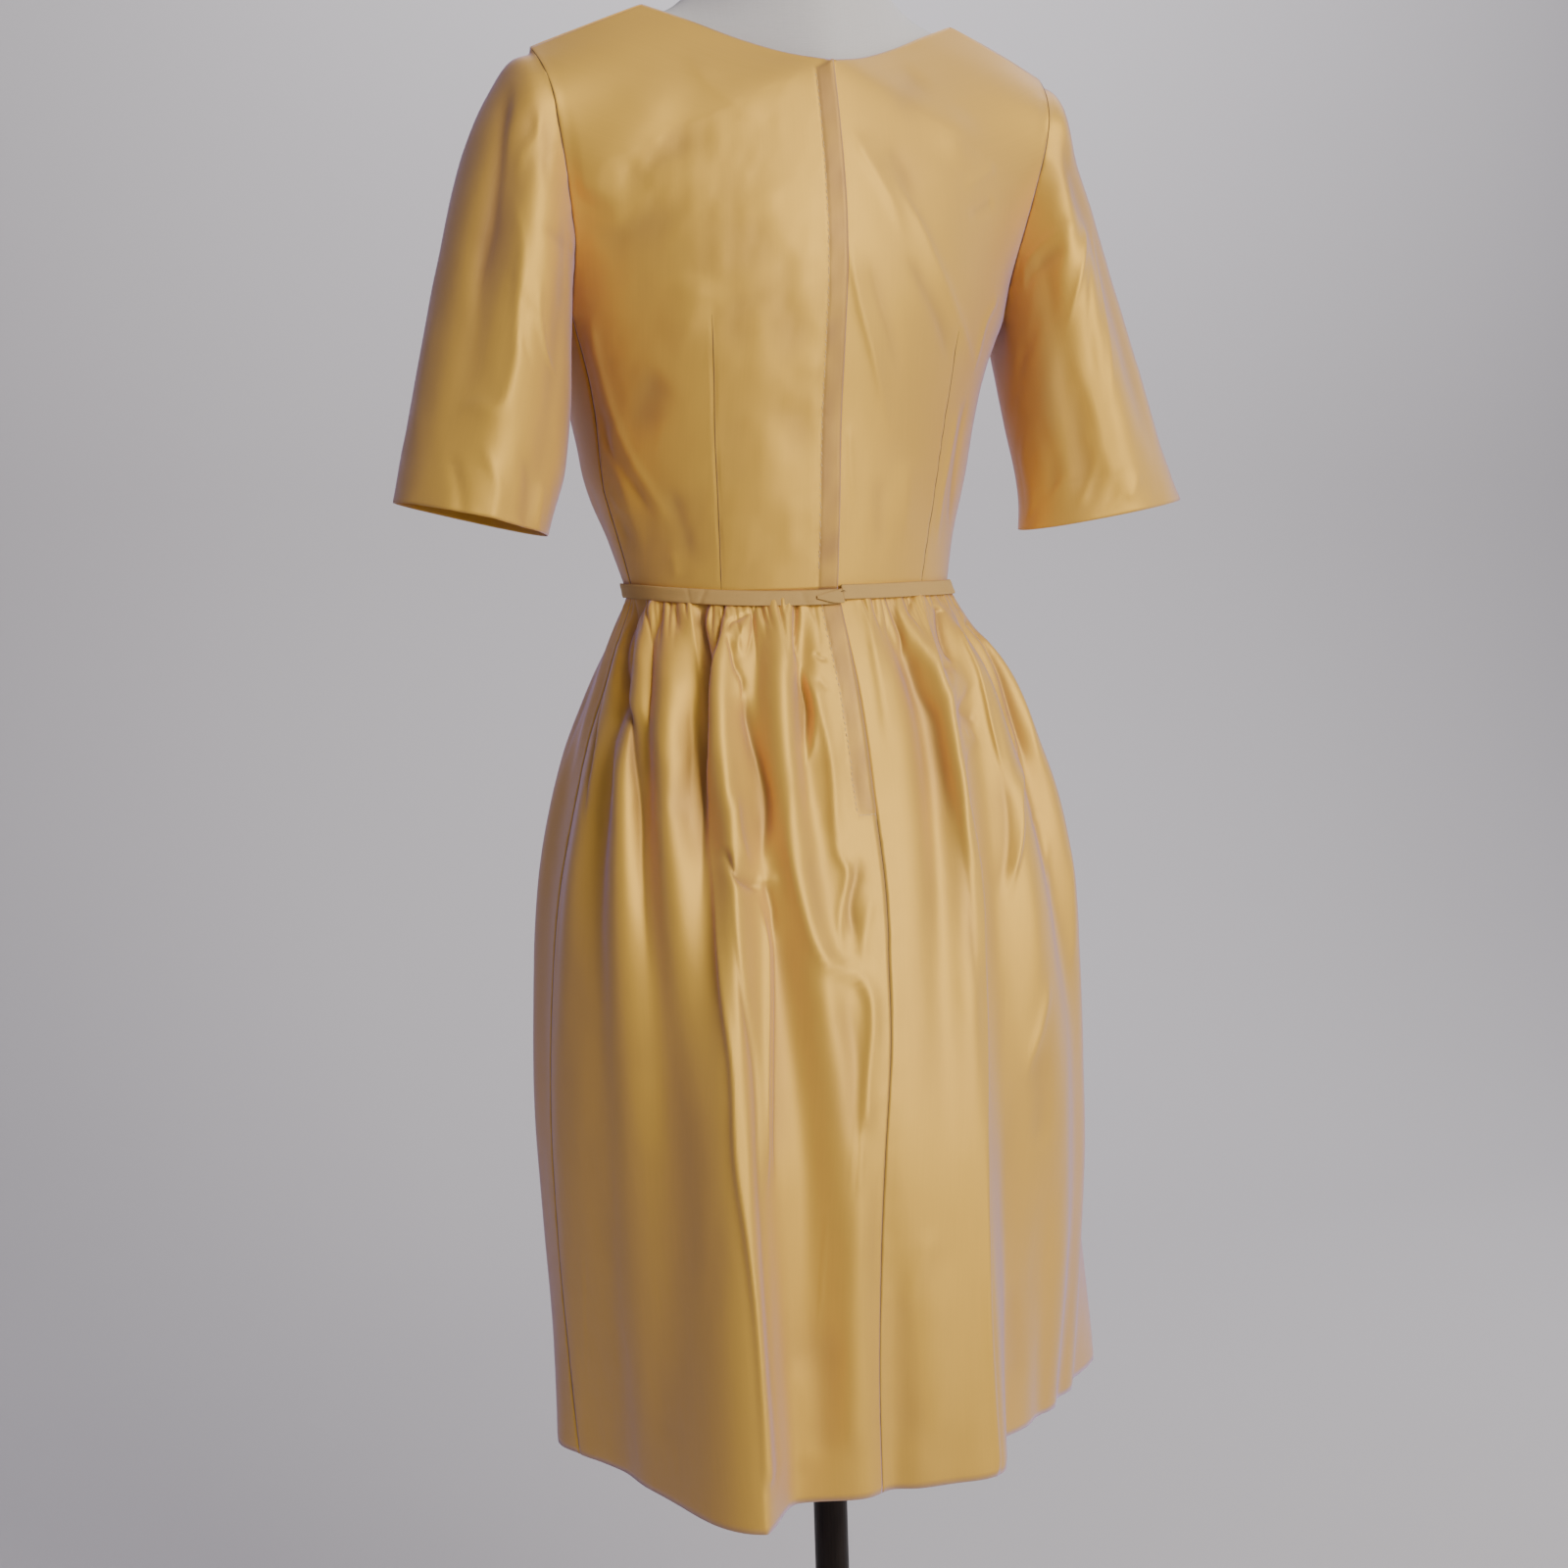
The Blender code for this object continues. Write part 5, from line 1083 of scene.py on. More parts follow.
# %% Tables of the skirt
# Height, left half width, right half width, back depth, front depth, y of the widest line, squareness
SKIRT_SECTIONS = (
    (44, 18.7, 21.6, 16.2, 16, 0, 2.2),
    (52, 19.1, 20.9, 16, 16, 0, 2.2),
    (60, 19.6, 20.3, 15.8, 16, -0.2, 2.2),
    (68, 19.9, 19.9, 15.2, 16, -0.3, 2.2),
    (76, 19.5, 19.8, 13.8, 15.8, -0.5, 2.3),
    (84, 18.5, 19.7, 11.9, 15.2, -0.7, 2.5),
    (90, 17, 18.7, 10.5, 14.2, -1, 2.6),
    (94, 15.8, 17, 10.2, 13.2, -1.3, 2.6),
    (98, 14.2, 15.1, 9.7, 11.9, -1.6, 2.5),
    (101, 13.1, 13.4, 9, 10.4, -1.9, 2.2),
    (104, 12, 12, 8.15, 8.9, -2.3, 2),
)
# Drift of the centre back seam round the skirt: height, angle
CENTRE_SEAM_DRIFT = ((44, 8.1), (51, 7.8), (58.5, 6.5), (66, 4.6), (75, 1), (80, 0), (104, 0))
FOLD_LEVELS = (102.0, 90.0, 72.0, 44.0)
# Large folds: angles and rises at the four levels, widths in degrees at the waist and the hem on each side
LARGE_FOLDS = (
    ((88, 84, 86, 95), (0.3, 0.5, 0.2, 0.8), (5, 7), (5, 7)),
    ((81, 74, 68, 76), (-0.4, -0.6, -0.3, -0.8), (4, 11), (3, 9)),
    ((73, 64, 58, 62), (0.4, 0.45, 0.25, -0.1), (4, 9), (4, 9)),
    ((68, 55, 48, 48), (-0.4, -0.65, -0.25, 0), (3, 8), (3, 8)),
    ((60, 47, 40, 40), (0.4, 0.6, 0.3, 0), (5, 9), (5, 9)),
    ((49, 34.5, 38, 42), (-0.5, -1, -0.2, 0), (4.5, 8), (3, 4)),
    ((39, 29.5, 31, 32), (0.5, 1, 1.9, 4.5), (4, 18), (4, 3)),
    ((26, 19.5, 19, 22), (-0.3, -0.7, -1, -0.2), (4, 6), (3.5, 7)),
    ((18, 14, 12, 12), (0.3, 0.5, 0.3, 0.2), (4, 6), (3, 5)),
    ((12.5, 8.5, 6, 6), (-0.5, -0.4, -0.1, -0.7), (2.5, 4), (2.5, 4)),
    ((-6, -4, -2, 0), (0.2, 0.2, 0.1, 0.2), (4, 6), (4, 6)),
    ((-14, -11.5, -8, -8), (-0.5, -0.7, -0.1, 0.5), (3, 5), (3.5, 5)),
    ((-22, -16.5, -13.5, -13), (0.4, 0.6, 0.5, 0.7), (3, 6), (4, 3)),
    ((-34, -26, -24, -25), (-0.3, -0.3, -0.8, -3.6), (5, 7), (6, 18)),
    ((-45, -34, -36, -44), (0.3, 0.6, 0.3, -2.6), (5, 10), (5, 18)),
    ((-53, -45, -52, -58), (-0.5, -0.8, -0.3, -1.9), (4, 8), (4, 8)),
    ((-62, -56, -60, -70), (0.4, 0.6, 0.4, -1.6), (5, 9), (5, 9)),
    ((-76, -74, -74, -76), (-0.4, -0.7, -0.3, -1.1), (4, 8), (4, 8)),
    ((-92, -91, -90, -91), (0.3, 0.6, 0.4, 1.2), (5, 6), (5, 6)),
    ((-106, -104, -103, -102), (-0.4, -0.8, -0.7, -1), (4, 8), (4, 8)),
    ((-122, -120, -119, -118), (0.4, 0.9, 1.1, 1.6), (5, 9), (5, 7)),
    ((-139, -137, -134, -134), (-0.5, -0.9, -1, -1.4), (4, 8), (4, 9)),
    ((-156, -154, -152, -152), (0.4, 0.8, 1.2, 1.9), (5, 9), (4, 8)),
    ((-172, -172, -170, -170), (-0.4, -0.7, -0.8, -1.1), (4, 8), (4, 8)),
    ((-187, -188, -188, -188), (0.4, 0.8, 1, 1.2), (4, 9), (5, 9)),
    ((-203, -204, -206, -206), (-0.5, -0.9, -1.1, -1.5), (4, 8), (4, 8)),
    ((-220, -222, -223, -224), (0.4, 0.9, 1.2, 1.8), (5, 9), (4, 8)),
    ((-238, -240, -241, -242), (-0.4, -0.8, -0.8, -1.2), (4, 8), (4, 8)),
    ((-255, -257, -258, -258), (0.3, 0.7, 0.6, 0.9), (5, 9), (5, 9)),
)
BELT_HEIGHT = 1.02
ZIP_END_HEIGHT = 88.8

# %% The drawn creases of the skirt's back
# rise, width on its left, width on its right, fade in, fade out, points (way round from the centre back, height)
SKIRT_CREASES = (
    # wearer's left side, from the side to the centre back
    (-0.3, 0.5, 0.18, 0, 0.3, ((15.9, 103.6), (19.8, 97.1), (20, 94.4), (20.5, 91.3), (20.9, 87.5))),
    (0.3, 0.9, 0.8, 0.1, 0.4, ((16.3, 101.8), (17.9, 98.5), (18.3, 95.3), (17.2, 91.5), (17.3, 87.1),
     (18, 81.4), (18.4, 76.2))),
    (-0.55, 0.8, 0.28, 0, 0.3, ((14.4, 103.5), (16.2, 101.8), (17, 100), (17.2, 97.9), (15.9, 95.7),
     (15.8, 93.1), (15.8, 89.6), (16.2, 85.9), (16.5, 81.3), (16.6, 78.1))),
    (0.42, 0.55, 1.7, 0, 0.4, ((13.3, 103.4), (14.4, 101.2), (14.9, 98.6), (15.2, 96.3), (14.9, 94.4),
     (14.3, 92.5))),
    (-0.3, 0.22, 0.24, 0, 0.6, ((12.8, 103.4), (13, 102.2), (13.5, 100.8))),
    (-0.14, 0.35, 0.35, 0, 0.6, ((11.9, 103.4), (11.7, 102.6), (11.5, 100.9))),
    (-0.16, 1, 0.9, 0.4, 0.4, ((15, 92.1), (13.8, 91.2), (12.9, 90.1), (12.4, 88.3), (12.4, 85.8))),
    (0.2, 0.9, 0.15, 0, 0.4, ((10.4, 103.7), (10.7, 99.4), (10.7, 97.3), (10.9, 95.6), (11.3, 92.7))),
    (-0.65, 0.42, 0.28, 0, 0.8, ((9.4, 103.7), (10, 101.4), (10, 99.4), (10.4, 97.3), (10.7, 95.1),
     (11.1, 92.1), (11.5, 88.9), (12, 85.8), (12.6, 82))),
    (-0.22, 1, 0.5, 0.3, 0.4, ((11.7, 98.5), (11.7, 95.3), (12, 91.5), (12.4, 87.7))),
    (-0.24, 0.15, 0.2, 0, 0.5, ((9.1, 103.7), (10.1, 102.4), (10.5, 101.4))),
    (0.18, 0.25, 0.25, 0, 0.4, ((8.6, 103.7), (9.4, 102.4), (9.9, 101.1))),
    (-0.4, 0.2, 0.15, 0, 0.5, ((7.9, 103.7), (8.8, 101.4), (9.4, 99.9))),
    (0.34, 0.14, 1, 0.05, 0.35, ((8.2, 103.7), (8.8, 100.9), (9.7, 98.9), (10.2, 97.3), (10.5, 95.1),
     (10.9, 92.1), (11.2, 88.9), (11.5, 86.4))),
    (-0.18, 0.14, 0.12, 0.2, 0.3, ((8.3, 101.3), (8, 101.9), (7.2, 102.3), (6.1, 102.8))),
    (0.2, 0.45, 0.35, 0.3, 0.3, ((6.7, 102.3), (7.3, 101.4), (7.8, 100.4), (7.7, 99.6))),
    (-0.26, 0.12, 0.3, 0.2, 0.3, ((8.4, 101.3), (8.3, 100.3), (8.2, 99), (7.9, 98), (8.1, 96.8))),
    (-0.16, 0.12, 0.35, 0, 0.4, ((5.8, 103.7), (6.5, 101.8), (6.9, 100.6), (7.5, 99.5))),
    (-0.46, 0.65, 0.4, 0.2, 0.3, ((7.8, 97.8), (7.8, 96), (7.6, 94.3), (7.3, 92.5), (7.1, 90.5), (7.3, 88.4),
     (8.1, 85.6))),
    (0.32, 1.1, 1, 0, 0.3, ((4, 103.7), (5.4, 99.7), (5.8, 96.2), (5.8, 93.5), (5.6, 90.9), (5.8, 88))),
    (-0.15, 0.15, 0.2, 0, 0.6, ((5.5, 103.7), (5.5, 101.9), (5.1, 101.4))),
    (-0.13, 0.14, 0.16, 0, 0.6, ((4.4, 103.7), (4.4, 102.1), (4.1, 101.6))),
    (-0.5, 0.25, 0.14, 0, 0.4, ((3.1, 103.7), (3.7, 100.4), (3.9, 98.8))),
    (-0.42, 0.5, 0.22, 0.3, 0.35, ((3.7, 99.2), (3.7, 97.6), (3.6, 96), (3.8, 94.3), (4.1, 92.9))),
    (0.16, 0.12, 0.45, 0.2, 0.3, ((3.5, 98.8), (3.2, 97), (3.2, 95.3), (3.6, 93.2), (4.3, 91.8))),
    (0.24, 0.35, 0.7, 0.1, 0.3, ((3, 98.2), (2.8, 95.9), (2.5, 93.5), (2.4, 91), (2.6, 87.8), (2.6, 85.2))),
    (-0.12, 0.14, 0.18, 0.2, 0.4, ((2.6, 99.9), (2.2, 99.4), (1.5, 99.3))),
    (-0.1, 0.14, 0.18, 0.3, 0.4, ((2.7, 98.2), (2.1, 97.5), (1.6, 97.3))),
    # the second fold down to the hem
    (0.3, 0.2, 0.55, 0.3, 0, ((10.8, 91.5), (11.3, 87.7), (11.4, 85.2), (11.6, 81.6), (11.7, 77.8),
     (11.6, 74.1), (11.8, 67.3), (11.4, 62.7), (11.1, 58.1), (10.9, 53.4), (10.7, 47.6))),
    (-0.2, 0.45, 0.2, 0.25, 0, ((10.5, 85.2), (10.6, 81.1), (10.4, 77.5), (10.2, 73.9), (10.5, 67.1),
     (10.5, 62.4), (10.5, 57.7), (10.4, 53.1), (10.2, 47.2))),
    (0.22, 0.4, 0.14, 0.2, 0.2, ((8.9, 84.4), (8.4, 82.7), (8.3, 81.3), (8.6, 78.6), (9.3, 73.6), (9.8, 69.4),
     (10.2, 64.5))),
    (-0.28, 0.15, 1.5, 0.2, 0.3, ((8, 83.3), (7.8, 81), (8.1, 77.9), (8.7, 73.5), (9.3, 68.6), (9.7, 64.2))),
    (0.2, 0.5, 0.5, 0.3, 0.3, ((9.2, 91.4), (9.4, 88.9), (9.2, 87), (8.7, 85.7))),
    (-0.3, 0.3, 0.45, 0.2, 0.2, ((10.5, 87.6), (10.3, 86.4), (9.8, 85.5), (8.8, 84.7), (8.1, 84.4))),
    (-0.24, 0.5, 0.3, 0.3, 0.3, ((8.1, 85.5), (7.8, 84.5), (7.6, 82.9), (7.8, 81))),
    (0.14, 0.35, 0.35, 0.3, 0.3, ((8.5, 84.9), (7.6, 85), (6.8, 85.1))),
    # the large U and the cloth beside the centre back
    (0.3, 0.5, 0.75, 0.2, 0, ((5.6, 90.9), (6, 87.4), (5.9, 85.1), (5.6, 82.5), (5.3, 80.8), (4.7, 79.6),
     (3.6, 78.9), (2.4, 78.3), (1.9, 77.4), (1.9, 75.6), (2.5, 72.8), (3.1, 69.3))),
    (-0.16, 0.9, 0.9, 0.3, 0.3, ((4.9, 87.3), (4.7, 84.7), (4.5, 82.5), (4, 81))),
    (0.2, 0.35, 0.4, 0.3, 0.3, ((2.8, 87.8), (2.6, 86.4), (2.2, 85.2), (2.5, 83.9), (3.1, 82.4), (3.3, 80.8),
     (2.8, 79.6))),
    (-0.28, 0.5, 0.5, 0.3, 0.3, ((1.2, 86.5), (1.5, 85.1), (2.3, 82.9), (2.2, 81.2), (2, 80.2))),
    (0.16, 0.5, 0.5, 0.3, 0.3, ((0.6, 84.1), (1.2, 82.2), (1.8, 80.3), (1.8, 78.7))),
    (-0.18, 1.6, 0.6, 0.3, 0.3, ((5.1, 77.8), (3.9, 76.8), (3.3, 74.4), (3.6, 70.7), (4.3, 66.3))),
    (0.07, 0.12, 0.3, 0.2, 0.2, ((2.6, 73.1), (3.3, 70), (3.8, 66.3), (4.2, 63.7))),
    (-0.035, 0.1, 0.1, 0.3, 0.3, ((1.9, 87.1), (0.8, 87.1), (-0.5, 87.1))),
    (0.035, 0.1, 0.1, 0.3, 0.3, ((6, 64), (6.4, 61.2), (6.9, 57.3), (7.3, 54.7))),
    (0.03, 0.1, 0.1, 0.3, 0.3, ((3.3, 71.9), (4, 68.2), (4.7, 64.4))),
    (0.14, 0.8, 0.9, 0.3, 0.1, ((3.1, 66.8), (4.2, 61.8), (4.8, 56.6), (5.1, 51.4), (5.2, 46.7))),
    (-0.14, 1.2, 1.2, 0.3, 0.2, ((6.4, 56.6), (6.9, 52.7), (7.3, 48.8), (7.6, 46.2))),
    (0.12, 1, 1, 0.3, 0.1, ((8.8, 54.2), (8.5, 50.9), (8.4, 46.3))),
    # wearer's left side, low
    (-0.16, 1.3, 1.1, 0.3, 0.3, ((23.7, 69.7), (23.7, 66.4), (23.3, 61.7), (22.3, 57.8))),
    (0.14, 1, 1.2, 0.3, 0.3, ((18.8, 73.7), (18.4, 69.9), (17.8, 66.7))),
    (-0.16, 1.4, 1.2, 0.3, 0.3, ((15.4, 73.2), (15.6, 67.5), (15.6, 62.4), (15.5, 57.3))),
    (0.12, 1, 1, 0.3, 0.3, ((24.6, 56.6), (23.7, 53.3), (22.9, 50))),
    (-0.05, 0.12, 0.12, 0.2, 0.2, ((24.9, 60), (25.6, 55), (26.5, 49.1))),
    (-0.12, 1, 1, 0.3, 0.2, ((18, 54.1), (17.9, 50.7), (17.7, 47.4))),
    # wearer's right side, from the centre back to the side
    (-0.07, 0.14, 0.14, 0.3, 0.3, ((-0.2, 101.6), (-0.8, 101.8), (-1.4, 102.1))),
    (-0.07, 0.14, 0.14, 0.3, 0.3, ((-0.5, 100.4), (-1, 100.2), (-1.5, 99.8))),
    (-0.06, 0.14, 0.14, 0.3, 0.3, ((-0.2, 99.7), (-0.8, 99.3), (-1.3, 98.6))),
    (-0.06, 0.14, 0.14, 0.3, 0.3, ((0.3, 98.5), (-0.2, 98.1), (-0.6, 97.5))),
    (0.14, 0.5, 0.8, 0, 0.3, ((-2, 103.7), (-1.7, 100), (-1.6, 96), (-1.6, 92.1))),
    (-0.16, 0.16, 0.2, 0, 0.6, ((-2.7, 103.7), (-2.7, 101.8), (-2.9, 100.9))),
    (-0.34, 0.2, 0.25, 0, 0.4, ((-3.8, 103.7), (-4.1, 102), (-4.4, 100.3), (-4.4, 98.8))),
    (-0.42, 1, 0.55, 0.2, 0.3, ((-4.3, 100.8), (-4.7, 98.8), (-5.1, 96.8), (-5.8, 94.9), (-6, 93),
     (-6.2, 90.4), (-6.1, 87.1))),
    (0.32, 0.6, 0.5, 0, 0.25, ((-6.9, 103.7), (-6.7, 100.7), (-6.5, 98.6), (-6.9, 96), (-7.1, 93.5),
     (-7.2, 90.4), (-7.1, 87), (-7.4, 83.4))),
    (-0.18, 0.16, 0.16, 0, 0.5, ((-5.5, 103.7), (-5.6, 102.3), (-5.9, 101.4), (-6.1, 100.6))),
    (-0.16, 0.14, 0.14, 0, 0.6, ((-6.6, 103.7), (-5.6, 102.4), (-5.3, 101.6))),
    (-0.42, 0.42, 0.42, 0.05, 0.3, ((-8.8, 102.5), (-8.4, 101.2), (-8.4, 99.5), (-8.8, 98.2))),
    (-0.18, 0.4, 0.4, 0.3, 0.3, ((-6.7, 98.7), (-8, 98.3), (-9, 98.4))),
    (0.26, 1.2, 1.2, 0.3, 0.3, ((-7.1, 97.7), (-8.4, 96.8), (-9, 96))),
    (-0.22, 0.55, 0.6, 0.3, 0.3, ((-7.7, 95.7), (-8.9, 94.9), (-10.1, 94.5))),
    (0.14, 0.6, 0.5, 0.3, 0.3, ((-7.9, 94.2), (-8.7, 93.4), (-9.4, 93.8))),
    (0.24, 0.6, 0.14, 0.1, 0, ((-9.4, 93.4), (-8.3, 92.6), (-7.6, 91.7), (-7.5, 90.3), (-7.6, 88.4),
     (-7.8, 86.3), (-7.9, 83.3), (-7.4, 78.7), (-6.7, 72.6), (-5.7, 66.4), (-5.2, 60.4), (-4.9, 54.9),
     (-4.9, 49.8), (-5, 44.7))),
    (-0.2, 1.4, 0.5, 0.2, 0.3, ((-6.7, 91), (-6.6, 88.4), (-6.6, 85.1), (-6.5, 80.5), (-6, 76))),
    (0.18, 0.18, 0.35, 0.1, 0.3, ((-10.2, 101.4), (-10.1, 100.2), (-10.5, 98.1), (-10.7, 95.9), (-10.8, 94.2),
     (-11, 92.6), (-11.4, 90.2))),
    (-0.34, 0.14, 0.14, 0, 0.5, ((-12, 103.7), (-12.2, 101.9))),
    (-0.42, 0.2, 0.5, 0.05, 0.3, ((-12.3, 101.6), (-13, 100.4), (-13.7, 98.3), (-14.1, 96), (-14.5, 93.6),
     (-14.9, 91.6), (-15.1, 90))),
    (0.24, 0.5, 0.6, 0.1, 0.3, ((-13, 100.7), (-14.5, 98.3), (-15.3, 95.5), (-15.7, 92.3), (-16.4, 89.5))),
    (0.24, 0.7, 0.14, 0.2, 0.2, ((-14.1, 95.2), (-14.3, 92.1), (-12.7, 89.2), (-12.2, 86.9), (-11.4, 84.6),
     (-10.4, 82.3))),
    (-0.18, 0.7, 0.5, 0.3, 0.3, ((-11.1, 91.4), (-11.2, 88), (-10.6, 84.7), (-9.5, 82.1))),
    (-0.1, 0.4, 0.3, 0.3, 0.4, ((-13.3, 86.7), (-14.8, 87.2), (-15.7, 87.6), (-16.4, 87.6))),
    (0.16, 0.3, 0.4, 0.3, 0.4, ((-15.8, 86.9), (-16, 85.4), (-15.5, 82.7), (-14.6, 80.1))),
    (0.24, 0.4, 0.6, 0.3, 0.3, ((-18, 85.8), (-17.9, 82.4), (-17.9, 78.2), (-17.6, 75.1))),
    (0.18, 0.5, 0.5, 0.3, 0.4, ((-13.5, 76.9), (-12.8, 74.3), (-11.7, 71.7), (-10.7, 69.5))),
    # wearer's right side, low
    (-0.14, 0.9, 0.9, 0.3, 0.3, ((-12.1, 72.4), (-12.5, 68.2), (-12.4, 64))),
    (0.14, 1.2, 1.2, 0.3, 0.2, ((-1.6, 59.7), (-1, 55.1), (-0.9, 50.5), (-1, 46.4))),
    (-0.14, 0.9, 1.4, 0.3, 0.2, ((0.7, 61.3), (1.2, 56.1), (1.2, 50.7), (1.1, 46))),
    (0.1, 0.7, 0.7, 0.3, 0.3, ((-1.3, 61.7), (0.1, 58.6), (1.5, 56.1))),
    (-0.1, 1, 1, 0.3, 0.3, ((-9.9, 56.1), (-10.6, 51.6), (-11.5, 47))),
    (0.1, 1, 1, 0.3, 0.3, ((-14.8, 62.1), (-15.6, 57.6), (-17.1, 52.9))),
)

# %% Skirt surface and gathers
def skirt_outline(angles, height):
    """Plain outline of the skirt at one height, without folds. Angles are degrees from the centre back."""
    left, right, back, front, widest, square = smooth(SKIRT_SECTIONS, height)
    sine = np.sin(np.radians(angles))
    cosine = np.cos(np.radians(angles))
    x = np.where(sine > 0, left, right) * np.sign(sine) * np.abs(sine) ** (2 / square)
    y = widest + np.where(cosine > 0, back, front) * np.sign(cosine) * np.abs(cosine) ** (2 / square)
    return np.stack([x, y], axis=-1)


def large_folds(angles, height):
    """How far the large folds stand out from the plain outline."""
    total = np.zeros_like(angles)
    level = np.array(FOLD_LEVELS[::-1])
    down = min(max((FOLD_LEVELS[0] - height) / (FOLD_LEVELS[0] - FOLD_LEVELS[-1]), 0.0), 1.0)
    for at, heights, left, right in LARGE_FOLDS:
        centre, size = smooth(np.column_stack([level, at[::-1], heights[::-1]]), height)
        away = (angles - centre + 180) % 360 - 180
        wide_left = left[0] + (left[1] - left[0]) * down
        wide_right = right[0] + (right[1] - right[0]) * down
        total += size * bell(away, np.where(away > 0, wide_left, wide_right))
    return total * soft_step(WAIST_HEIGHT - height, BELT_HEIGHT / 2, 4.5)


def folded_row(angles, height):
    """Points of one row of the skirt with its large folds."""
    step = 0.6
    outline = skirt_outline(angles, height)
    along = unit(skirt_outline(angles + step, height) - skirt_outline(angles - step, height))
    normal = np.stack([-along[:, 1], along[:, 0]], axis=-1)
    points = outline + normal * large_folds(angles, height)[:, None]
    return np.column_stack([points, np.full(len(points), height)])


def way_round(angles, height):
    """Centimetres round the plain outline from the centre back, plus to the wearer's left."""
    fine = np.linspace(-270.0, 270.0, 1081)
    outline = skirt_outline(fine, height)
    length = lengths_along(outline)
    return np.interp(angles, fine, length - np.interp(0.0, fine, length))


def small_gathers(first, last, seed, spread=0.012):
    """Uneven little gathers between two places on the waist seam, as rows of a crease table."""
    chance = np.random.default_rng(seed)
    rows = []
    at = first + 0.2
    while at < last - 0.2:
        length = chance.choice([1.6, 2.2, 3.2, 4.5]) * chance.uniform(0.7, 1.3)
        drift = at * spread * length + chance.uniform(-0.5, 0.5)
        middle = (at + drift * 0.5 + chance.uniform(-0.12, 0.12), 103.6 - length * 0.5)
        width = chance.uniform(0.10, 0.20)
        points = ((at, 103.8), middle, (at + drift, 103.6 - length))
        rows.append((-chance.uniform(0.08, 0.22), width, width * chance.uniform(0.8, 1.5), 0.0, 0.8, points))
        at += chance.uniform(0.35, 0.85)
    return rows


def long_gathers(first, last, seed):
    """Longer ridges and valleys for the sides that the photograph doesn't show."""
    chance = np.random.default_rng(seed)
    rows = []
    at = first + 0.6
    rise = 1
    while at < last - 0.6:
        length = chance.uniform(9.0, 26.0)
        bend = chance.uniform(-0.6, 0.6)
        points = ((at, 103.6), (at + bend, 103.6 - length * 0.33), (at + bend * 0.5, 103.6 - length))
        height = rise * chance.uniform(0.2, 0.42)
        rows.append((height, chance.uniform(0.5, 1.0), chance.uniform(0.5, 1.0), 0.0, 0.45, points))
        at += chance.uniform(0.9, 1.7)
        rise = -rise
    return rows


def slack_creases(first, last, seed, count):
    """Soft diagonal creases lower down, as cloth gets that has been folded away."""
    chance = np.random.default_rng(seed)
    rows = []
    for _ in range(count):
        x, z = chance.uniform(first, last), chance.uniform(50.0, 84.0)
        lean, length = chance.uniform(-2.2, 2.2), chance.uniform(6.0, 15.0)
        points = ((x, z + length / 2), (x + lean * 0.4, z), (x + lean, z - length / 2))
        width = chance.uniform(0.5, 1.3)
        rows.append((chance.choice([-1, 1]) * chance.uniform(0.05, 0.13), width, width * 1.3, 0.4, 0.4, points))
    return rows


# %% The three panels of the skirt
# The skirt's random unevenness: rise, slant, size round, size up, whether it keeps to the lower part
SKIRT_LUMPS = ((0.07, 0.0, 4.2, 9.0, True), (0.014, 0.15, 1.5, 4.2, True), (0.005, -0.2, 0.55, 1.5, False))
LOWER_PART = (103.0, 93.0)      # heights between which the lower part's unevenness comes in
CREASES_FADE = (12.0, 16.0)     # way round at which the drawn creases get weaker
SIDE_SHARE = 0.65               # how much of them is lost beyond it, low down
ROOM_AT_WAIST = 0.05            # how deep a valley may be at the waist seam
ROOM_BELOW = 0.35               # and how much deeper for each centimetre below it
HEM_STITCHES = 5.0              # height of the hem's stitches over its edge
SKIRT_ROWS = np.concatenate([
    np.linspace(103.985, 99.0, 44), np.linspace(99.0, 84.0, 76)[1:], np.linspace(84.0, HEM_HEIGHT, 80)[1:],
])


